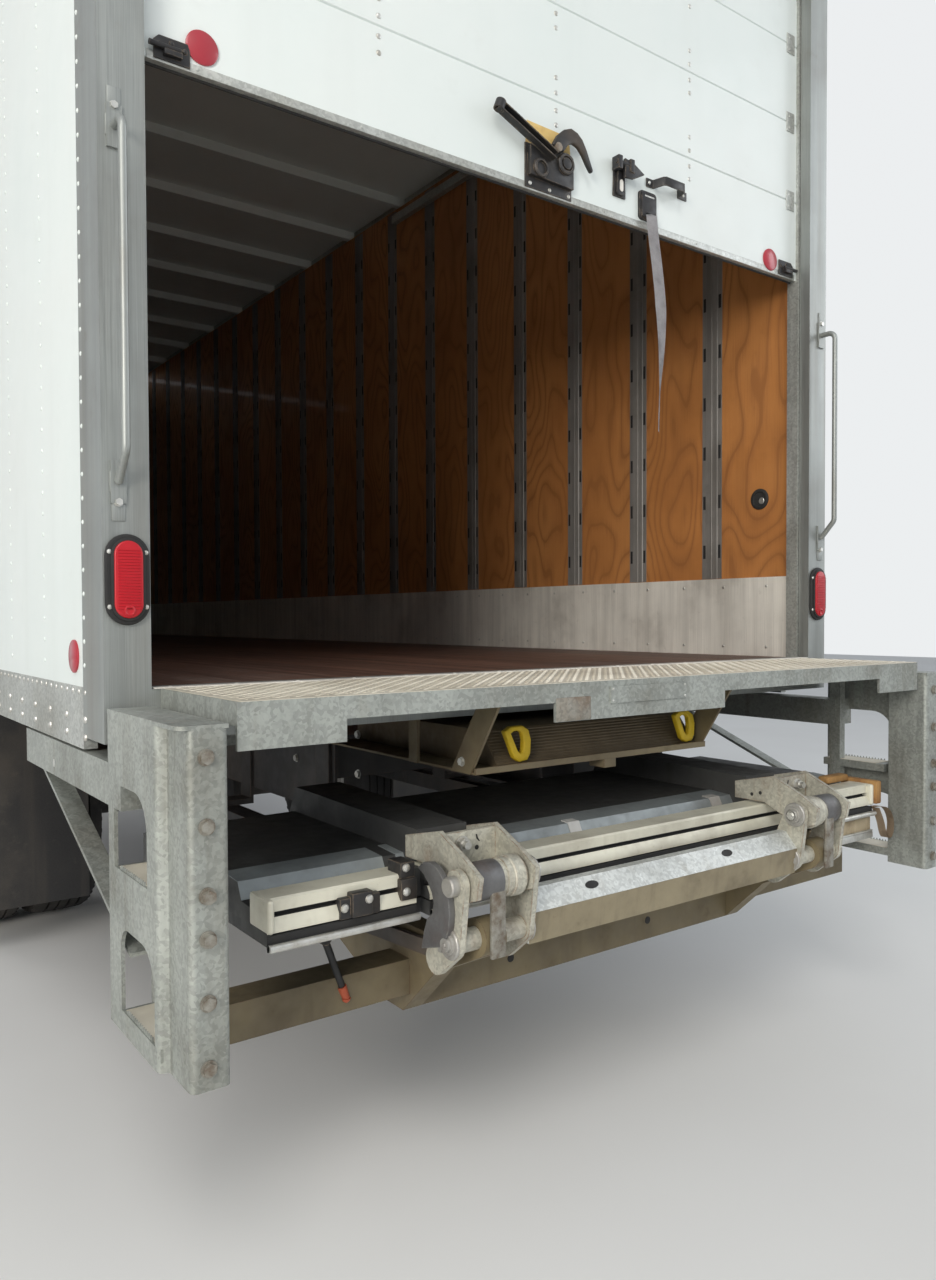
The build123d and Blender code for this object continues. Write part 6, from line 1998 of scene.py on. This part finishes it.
@dataclass
class CabDetails:
    """Lamps, wipers, seals, mirrors, latches and caps of the cab, the bonnet and the bumper."""

    glass_top: Flat = (1.690, 2.600)
    glass_foot: Flat = (1.400, 1.880)
    half_width: float = 1.020
    marker_places: tuple[float, ...] = (-0.78, -0.18, 0.0, 0.18, 0.78)
    # X of each wiper's pivot, and where its arm ends beside and above it
    wiper_pivots: Flat = (0.62, -0.18)
    wiper_reach: Flat = (-0.16, 0.22)
    # half width, foot and top of the windscreen's seal
    screen: tuple[float, float, float] = (0.900, 0.050, 0.700)
    # Y, Z corners of a side window's seal
    window: Outline = ((1.590, 1.930), (2.430, 1.930), (2.430, 2.450), (1.830, 2.450), (1.615, 1.950))
    bowl: Outline = (
        (0.020, 0.012), (0.014, 0.045), (0.002, 0.066), (-0.002, 0.070), (0.0, 0.072), (0.022, 0.050),
        (0.028, 0.012),
    )
    # X, Z and first angle of each rounded corner of the fuel tank, and its radius
    tank_corners: tuple[Point, ...] = (
        (0.890, 0.890, 0.0), (0.590, 0.890, 90.0), (0.590, 0.600, 180.0), (0.890, 0.600, 270.0),
    )
    tank_radius: float = 0.123

    def build(self) -> None:
        """Build every fitting of the cab."""
        self.roof_markers()
        self.wipers()
        self.screen_seal()
        for side, name in ((1.0, "left"), (-1.0, "right")):
            self.door(side, name)
        self.bonnet()
        self.lamps()
        self.bumper_details()
        self.tank_straps()

    def roof_markers(self) -> None:
        """Five amber marker lamps along the roof's front edge."""
        lamps = Shape(NOSE)
        for place_x in self.marker_places:
            lamps.block((place_x - 0.05, 1.775, 2.672), (place_x + 0.05, 1.845, 2.704))
        lamps.bevel(0.012, 3)
        lamps.piece("cab_roof_markers", Finishes.LENS_AMBER, slot="lamp_red")

    def on_glass(self, up: float, out: float) -> Flat:
        """Return the Y, Z of a point some way up the windscreen and out of it."""
        low, high = Vector(self.glass_foot), Vector(self.glass_top)
        run = (high - low).normalized()
        point = low + run * up + Vector((-run.y, run.x)) * out
        return point.x, point.y

    def wipers(self) -> None:
        """Two wipers parked on the windscreen."""
        shape = Shape(NOSE)
        across, up = self.wiper_reach
        for pivot_x in self.wiper_pivots:
            end_x = pivot_x + across
            elbow = (end_x, *self.on_glass(up, 0.024))
            shape.rod((pivot_x, *self.on_glass(0.02, 0.02)), elbow, 0.006, 10, 0.004)
            hub = [(pivot_x, *self.on_glass(0.02, out)) for out in (-0.01, 0.03)]
            shape.rod(hub[0], hub[1], 0.016, 20)
            blade = [(end_x + offset, *self.on_glass(up + rise, 0.006))
                     for offset, rise in ((-0.30, 0.06), (0.26, -0.05))]
            shape.rod(blade[0], blade[1], 0.005, 8)
            shape.rod(elbow, (end_x, *self.on_glass(up, 0.004)), 0.006, 8)
        shape.piece("wipers", Finishes.TRIM, slot="cab_trim")

    def screen_seal(self) -> None:
        """The rubber seal round the windscreen."""
        shape = Shape(NOSE)
        half, foot, top = self.screen
        corners = [(half, foot), (-half, foot), (-half, top), (half, top)]
        for (x0, up0), (x1, up1) in zip(corners, corners[1:] + corners[:1]):
            shape.rod((x0, *self.on_glass(up0, 0.001)), (x1, *self.on_glass(up1, 0.001)), 0.009, 10)
        for x, up in corners:
            start = Vector((x, *self.on_glass(up, -0.008)))
            shape.rod(start, Vector((x, *self.on_glass(up, 0.010))), 0.009, 12)
        shape.piece("windscreen_seal", Finishes.SEAL, slot="cab_trim")

    def door(self, side: float, name: str) -> None:
        """Mirror glass, window seal, handle recess, lock and hinge screws of one door."""
        body = f"{name}_door"
        glass = Shape(NOSE)
        glass.block((1.158, 1.655, 1.86), (1.322, 1.6565, 2.215))
        glass.block((1.158, 1.655, 1.745), (1.322, 1.6565, 1.845))
        self.mirror_over(glass, side)
        glass.piece(f"{name}_mirror_glass", Finishes.MIRROR, body, "cab_trim")
        seal = Shape(NOSE)
        face = self.half_width
        for (y0, z0), (y1, z1) in zip(self.window, self.window[1:] + self.window[:1]):
            seal.rod((face - 0.001, y0, z0), (face - 0.001, y1, z1), 0.007, 8)
            seal.rod((face - 0.006, y0, z0), (face + 0.005, y0, z0), 0.007, 8)
        pan = seal.block((face + 0.0005, 2.31, 1.775), (face + 0.0025, 2.465, 1.835))
        seal.bevel(0.0009, 1, vertices=pan)
        self.mirror_over(seal, side)
        seal.piece(f"{name}_door_seal", Finishes.SEAL, body, "cab_trim")
        lock = Shape(NOSE)
        lock.rod((face, 2.39, 1.750), (face + 0.004, 2.39, 1.750), 0.012, 20)
        for level in (1.338, 1.368, 1.788, 1.818):
            lock.dome((face + 0.006, 1.545, level), Axis.X, 0.007, 0.004)
        self.mirror_over(lock, side)
        lock.piece(f"{name}_door_lock", Finishes.ZINC, body, "cab_trim")

    def mirror_over(self, shape: Shape, side: float) -> None:
        """Turn a left-hand shape into its right-hand twin where the side asks for it."""
        if side < 0:
            shape.move(shape.mesh.verts[:], Matrix.Diagonal((-1.0, 1.0, 1.0, 1.0)))

    def bonnet(self) -> None:
        """The side vents, the latches and the grille's mesh."""
        vents = Shape(NOSE)
        for level in rows(1.42, 1.60, 0.03):
            vents.block((0.598, 0.62, level), (0.606, 0.92, level + 0.012))
        vents.bevel(0.001, 1)
        vents.pair("bonnet_vents", Finishes.TRIM, "bonnet", "cab_trim")
        latches = Shape(NOSE)
        latches.block((1.168, 1.285, 1.16), (1.182, 1.365, 1.19))
        latches.block((1.168, 1.30, 1.12), (1.177, 1.33, 1.23))
        latches.bevel(0.003, 2)
        latches.pair("bonnet_latches", Finishes.TRIM, "bonnet", "cab_trim")
        mesh = Shape(NOSE)
        for place_x in rows(-0.44, 0.44, 0.022):
            mesh.block((place_x - 0.0016, 0.168, 0.876), (place_x + 0.0016, 0.1715, 1.424))
        for level in rows(0.885, 1.415, 0.022):
            mesh.block((-0.445, 0.1665, level - 0.0016), (0.445, 0.170, level + 0.0016))
        mesh.piece("grille_mesh", Finishes.TRIM, "bonnet", "cab_trim")

    def lamps(self) -> None:
        """The bowls behind the headlamps' lenses and the amber lamps beside them."""
        bowl = Shape(NOSE)
        for place_x in (0.835, 0.995):
            bowl.turned(self.bowl, (place_x, 0.196, 1.045), Axis.Y, 40, closed=True)
        bowl.pair("headlamp_bowls", Finishes.REFLECTOR_BOWL, "bonnet", "lamp_clear")
        amber = Shape(NOSE)
        amber.block((1.095, 0.186, 0.985), (1.150, 0.197, 1.105))
        amber.bevel(0.004, 2)
        amber.pair("front_turn_lamps", Finishes.LENS_AMBER, "bonnet", "lamp_red")

    def bumper_details(self) -> None:
        """Bolt heads and ribbed rubber strips on the bumper's top."""
        bolts = Shape(NOSE)
        for place_x in (0.34, 0.42, 1.00, 1.08):
            bolts.hexagon((place_x, 0.062, 0.680), Axis.Z, 0.022, 0.007)
        bolts.pair("bumper_bolts", Finishes.ZINC, slot="bumper_paint")
        strips = Shape(NOSE)
        for low, high in ((-0.28, 0.28), (0.50, 0.92), (-0.92, -0.50)):
            strips.block((low, 0.020, 0.6795), (high, 0.095, 0.684))
            for place_y in rows(0.028, 0.087, 0.010):
                strips.block((low + 0.006, place_y - 0.002, 0.684), (high - 0.006, place_y + 0.002, 0.686))
        strips.piece("bumper_step_strips", Finishes.FLAP, slot="bumper_paint")

    def tank_straps(self) -> None:
        """The fuel tank's cap and the bright straps round it."""
        cap = Shape(NOSE)
        profile = [(0.0, 0.052), (0.022, 0.052), (0.030, 0.044), (0.030, 0.0)]
        cap.turned(profile, (0.74, 2.20, 1.008), Axis.Z)
        cap.piece("fuel_cap", Finishes.TRIM, slot="tank_aluminium")
        straps = Shape(NOSE)
        outline = [(x + self.tank_radius * math.cos(math.radians(start + turn)),
                    z + self.tank_radius * math.sin(math.radians(start + turn)))
                   for x, z, start in self.tank_corners for turn in rows(0.0, 90.0, 11.25)]
        for along in (1.74, 2.44):
            straps.plate(outline, Axis.Y, along, along + 0.045)
        straps.piece("tank_straps", Finishes.STAINLESS, slot="tank_aluminium")


@dataclass
class Cushion:
    """One padded cushion: a rounded form swollen by a cloth simulation and sewn in channels."""

    name: str
    # Y behind the nose and Z of its section's corners
    section: Outline
    left: float
    right: float
    facing: Axis
    channels: int = 3
    voxel: float = 0.009
    pressure: float = 4.0
    swell: float = 0.014
    channel_depth: float = 0.007
    channel_width: float = 0.011
    frames: int = 18

    def build(self) -> bpy.types.Object:
        """Return the finished cushion."""
        shape = Shape()
        shape.plate([(NOSE + y, z) for y, z in self.section], Axis.X, self.right, self.left)
        bmesh.ops.recalc_face_normals(shape.mesh, faces=shape.mesh.faces[:])
        shape.bevel(0.032, 4)
        form = new_object(self.name + "_form", mesh_data(self.name + "_form", shape.mesh))
        remesh = form.modifiers.new("voxels", "REMESH")
        remesh.mode = "VOXEL"
        remesh.voxel_size = self.voxel
        still = self.read(form)
        final = self.inflate(still)
        bpy.data.objects.remove(form)
        self.sew(final)
        piece = place(self.name, final, Finishes.SEAT, "truck", "seat_cloth", 60.0)
        smoothing = piece.modifiers.new("smoothing", "SUBSURF")
        smoothing.levels = smoothing.render_levels = 1
        return piece

    def read(self, source: bpy.types.Object) -> bpy.types.Mesh:
        """Return a mesh with an object's modifiers applied."""
        graph = bpy.context.evaluated_depsgraph_get()
        return bpy.data.meshes.new_from_object(source.evaluated_get(graph))

    def inflate(self, still: bpy.types.Mesh) -> bpy.types.Mesh:
        """Swell a mesh by a cloth simulation with pressure inside it.

        Args:
            still: the cushion before the simulation.

        Returns:
            The swollen mesh, no point of it further than the swell from its start.
        """
        scene = bpy.context.scene
        body = new_object(self.name + "_cloth", still.copy())
        cloth = body.modifiers.new("Cloth", "CLOTH")
        cloth.settings.use_pressure = True
        cloth.settings.uniform_pressure_force = self.pressure
        cloth.settings.effector_weights.gravity = 0.0
        cloth.settings.quality = 4
        cloth.point_cache.frame_start = 1
        cloth.point_cache.frame_end = self.frames
        for number in range(1, self.frames + 1):
            scene.frame_set(number)
        swollen = self.read(body)
        scene.frame_set(1)
        bpy.data.objects.remove(body)
        for before, after in zip(still.vertices, swollen.vertices):
            moved = after.co - before.co
            if moved.length > self.swell:
                after.co = before.co + moved.normalized() * self.swell
        return swollen

    def sew(self, data: bpy.types.Mesh) -> None:
        """Draw the sewn channels into the side that is sat on or leant against."""
        pitch = (self.left - self.right) / (self.channels + 1)
        seams = [self.right + pitch * (number + 1) for number in range(self.channels)]
        front = Vector(self.facing.value) * (-1.0 if self.facing is Axis.Y else 1.0)
        normals = [vertex.normal.copy() for vertex in data.vertices]
        for vertex, normal in zip(data.vertices, normals):
            faces_front = max(min((normal.dot(front) - 0.2) / 0.5, 1.0), 0.0)
            near = min(abs(vertex.co.x - seam) for seam in seams)
            depth = self.channel_depth * faces_front * math.exp(-(near / self.channel_width) ** 2)
            vertex.co -= front * depth


@dataclass
class Seats:
    """The driver's seat and the wider passenger seat, each on its pedestal."""

    # name, X from, X to, sewn channels
    places: tuple[tuple[str, float, float, int], ...] = (
        ("driver", 0.18, 0.64, 3), ("passenger", -0.80, 0.06, 5),
    )
    floor: float = 1.175
    # Y behind the nose and Z of the corners of a seat and of its back
    seat: Outline = ((1.965, 1.492), (1.965, 1.586), (2.395, 1.582), (2.395, 1.492))
    back: Outline = ((2.420, 1.606), (2.508, 2.165), (2.578, 2.165), (2.516, 1.590))

    def build(self) -> None:
        """Build the pedestals and the cushions."""
        bases = Shape(NOSE)
        for _name, low, high, _channels in self.places:
            bases.block((low + 0.04, 2.03, self.floor), (high - 0.04, 2.44, 1.462))
            bases.block((low + 0.015, 1.975, 1.462), (high - 0.015, 2.465, 1.480))
            bases.block((low + 0.03, 2.492, 1.60), (high - 0.03, 2.508, 1.98))
        bases.bevel(0.006, 2)
        made = bases.piece("seat_pedestals", Finishes.TRIM, slot="cab_trim")
        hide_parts("seats")
        for name, low, high, channels in self.places:
            Cushion(f"{name}_seat_cushion", self.seat, high - 0.012, low + 0.012, Axis.Z, channels).build()
            Cushion(f"{name}_seat_back", self.back, high - 0.022, low + 0.022, Axis.Y, channels).build()


@dataclass
class Chassis:
    """Rail bolts, brake chambers and mudflap clamps under the body."""

    rail_face: float = 0.430
    chamber_x: float = 0.50
    chamber_z: float = 0.62

    def build(self) -> None:
        """Build the fittings of the chassis."""
        self.rail_bolts()
        self.brake_chambers()
        self.mudflap_bars()

    def rail_bolts(self) -> None:
        """Bolt heads along both frame rails."""
        shape = Shape()
        for level in (0.93, 1.05):
            bolt = shape.hexagon((self.rail_face, REAR - 0.45, level), Axis.X, 0.022, 0.008)
            shape.repeat(bolt, (0.0, -0.42, 0.0), 16)
        shape.pair("rail_bolts", Finishes.ZINC, slot="frame_black")

    def brake_chambers(self) -> None:
        """The round brake chambers behind the rear axle."""
        shape = Shape()
        profile = [(0.0, 0.0), (0.0, 0.060), (0.012, 0.078), (0.060, 0.080), (0.066, 0.086), (0.074, 0.086),
                   (0.080, 0.080), (0.130, 0.078), (0.150, 0.060), (0.154, 0.0)]
        front = (self.chamber_x, REAR_AXLE + 0.17, self.chamber_z)
        shape.turned(profile, front, Axis.Y)
        shape.rod(front, (self.chamber_x, REAR_AXLE + 0.02, self.chamber_z - 0.02), 0.012, 12)
        shape.pair("brake_chambers", Finishes.FRAME, slot="frame_black")

    def mudflap_bars(self) -> None:
        """The plate and bolts that hold each mudflap."""
        clamp = Shape()
        clamp.block((0.79, REAR - 2.193, 1.015), (1.25, REAR - 2.187, 1.055))
        clamp.pair("mudflap_clamps", Finishes.GALVANISED, slot="galvanised")
        bolts = Shape()
        bolt = bolts.hexagon((0.83, REAR - 2.187, 1.035), Axis.Y, 0.018, 0.007)
        bolts.repeat(bolt, (0.095, 0.0, 0.0), 5)
        bolts.pair("mudflap_bolts", Finishes.ZINC, slot="galvanised")


# The strap that hangs from the door, and the loop on the platform's right end
PULL_STRAP_ROUTE: tuple[Point, ...] = (
    (-0.400, 5.140, 2.670),
    (-0.407, 5.140, 2.610),
    (-0.425, 5.140, 2.520),
    (-0.445, 5.140, 2.390),
    (-0.448, 5.140, 2.260),
    (-0.438, 5.140, 2.130),
    (-0.433, 5.140, 1.990),
)
END_LOOP_ROUTE: tuple[Point, ...] = (
    (-1.066, REAR + 0.318, 0.770),
    (-1.092, REAR + 0.345, 0.778),
    (-1.122, REAR + 0.350, 0.760),
    (-1.142, REAR + 0.350, 0.725),
    (-1.142, REAR + 0.350, 0.690),
    (-1.128, REAR + 0.350, 0.668),
    (-1.106, REAR + 0.350, 0.668),
    (-1.092, REAR + 0.350, 0.690),
    (-1.088, REAR + 0.345, 0.730),
    (-1.085, REAR + 0.330, 0.768),
)
ASSEMBLIES = (
    Studio(),
    Strap("pull_strap_webbing", PULL_STRAP_ROUTE, Finishes.WEBBING, replaced="pull_strap"),
    Strap("platform_end_loop", END_LOOP_ROUTE, Finishes.PALE_WEBBING, "lift_platform", far_end="object",
          width=0.025, thickness=0.0025, across=(0.0, 1.0, 0.0), twist=0.25),
    BoxBody(),
    RollDoor(),
    LatchSet(),
    TailLamps(),
    Handrails(),
    SillDetails(),
    StepDetails(),
    PlatformEdge(),
    LiftHeads(),
    WalkRamp(),
    RampRack(),
    Wheels(),
    CabDetails(),
    Seats(),
    Chassis(),
)

# What each node of the frame is made of
NODE_FINISHES: tuple[tuple[Surface, tuple[str, ...]], ...] = (
    (Finishes.FRAME, ("chassis_frame", "leaf_springs", "front_axle", "rear_axle", "left_knuckle",
                      "right_knuckle", "lift_rails", "lift_carriage", "lift_links")),
    (Finishes.MASS, ("engine_block", "drivetrain")),
    (Finishes.TANK, ("fuel_tank", "battery_box")),
    (Finishes.STAINLESS, ("exhaust", "rear_frame", "handrails")),
    (Finishes.CAB, ("cab_shell", "left_door_panel", "right_door_panel", "hood_shell")),
    (Finishes.TRIM, ("dashboard", "steering_wheel")),
    (Finishes.SEAT, ("seats",)),
    (Finishes.BUMPER, ("front_bumper", "grille")),
    (Finishes.DECK, ("box_floor",)),
    (Finishes.BODY, ("side_walls", "front_wall", "box_roof", "roll_door")),
    (Finishes.RAIL, ("side_rails", "door_tracks")),
    (Finishes.PLYWOOD, ("plywood_liners",)),
    (Finishes.SCUFF, ("scuff_plates",)),
    (Finishes.HARDWARE, ("door_latches",)),
    (Finishes.LENS_RED, ("tail_lamps",)),
    (Finishes.RAMP, ("walk_ramp",)),
    (Finishes.BEAM, ("ramp_rack", "lift_arms")),
    (Finishes.GALVANISED, ("step_bumpers", "sill_extension")),
    (Finishes.BAR, ("bumper_bar",)),
    (Finishes.CHEEK, ("lift_head", "hinge_brackets")),
    (Finishes.DARK_STEEL, ("hook_plates",)),
    (Finishes.FLAP, ("mudflaps",)),
    (Finishes.TYRE, ("left_front_tyre", "right_front_tyre", "left_rear_tyres", "right_rear_tyres")),
    (Finishes.WHEEL, ("left_front_rim", "right_front_rim", "left_rear_rims", "right_rear_rims")),
    # The platform takes the near-black alloy whose colour is painted shade
    (Finishes.SHADED_ALLOY, ("platform",)),
    (Glazing.WINDOW, ("cab_glass", "left_door_glass", "right_door_glass")),
    (Glazing.LAMP, ("headlamps",)),
)


def main() -> None:
    """Dress the frame and build every sub-assembly in order."""
    logging.basicConfig(level=logging.INFO, format="%(name)s: %(message)s")
    for finish, nodes in NODE_FINISHES:
        dress(finish, *nodes)
    for assembly in ASSEMBLIES:
        log.info("%s", type(assembly).__name__)
        assembly.build()


if __name__ == "__main__":
    main()
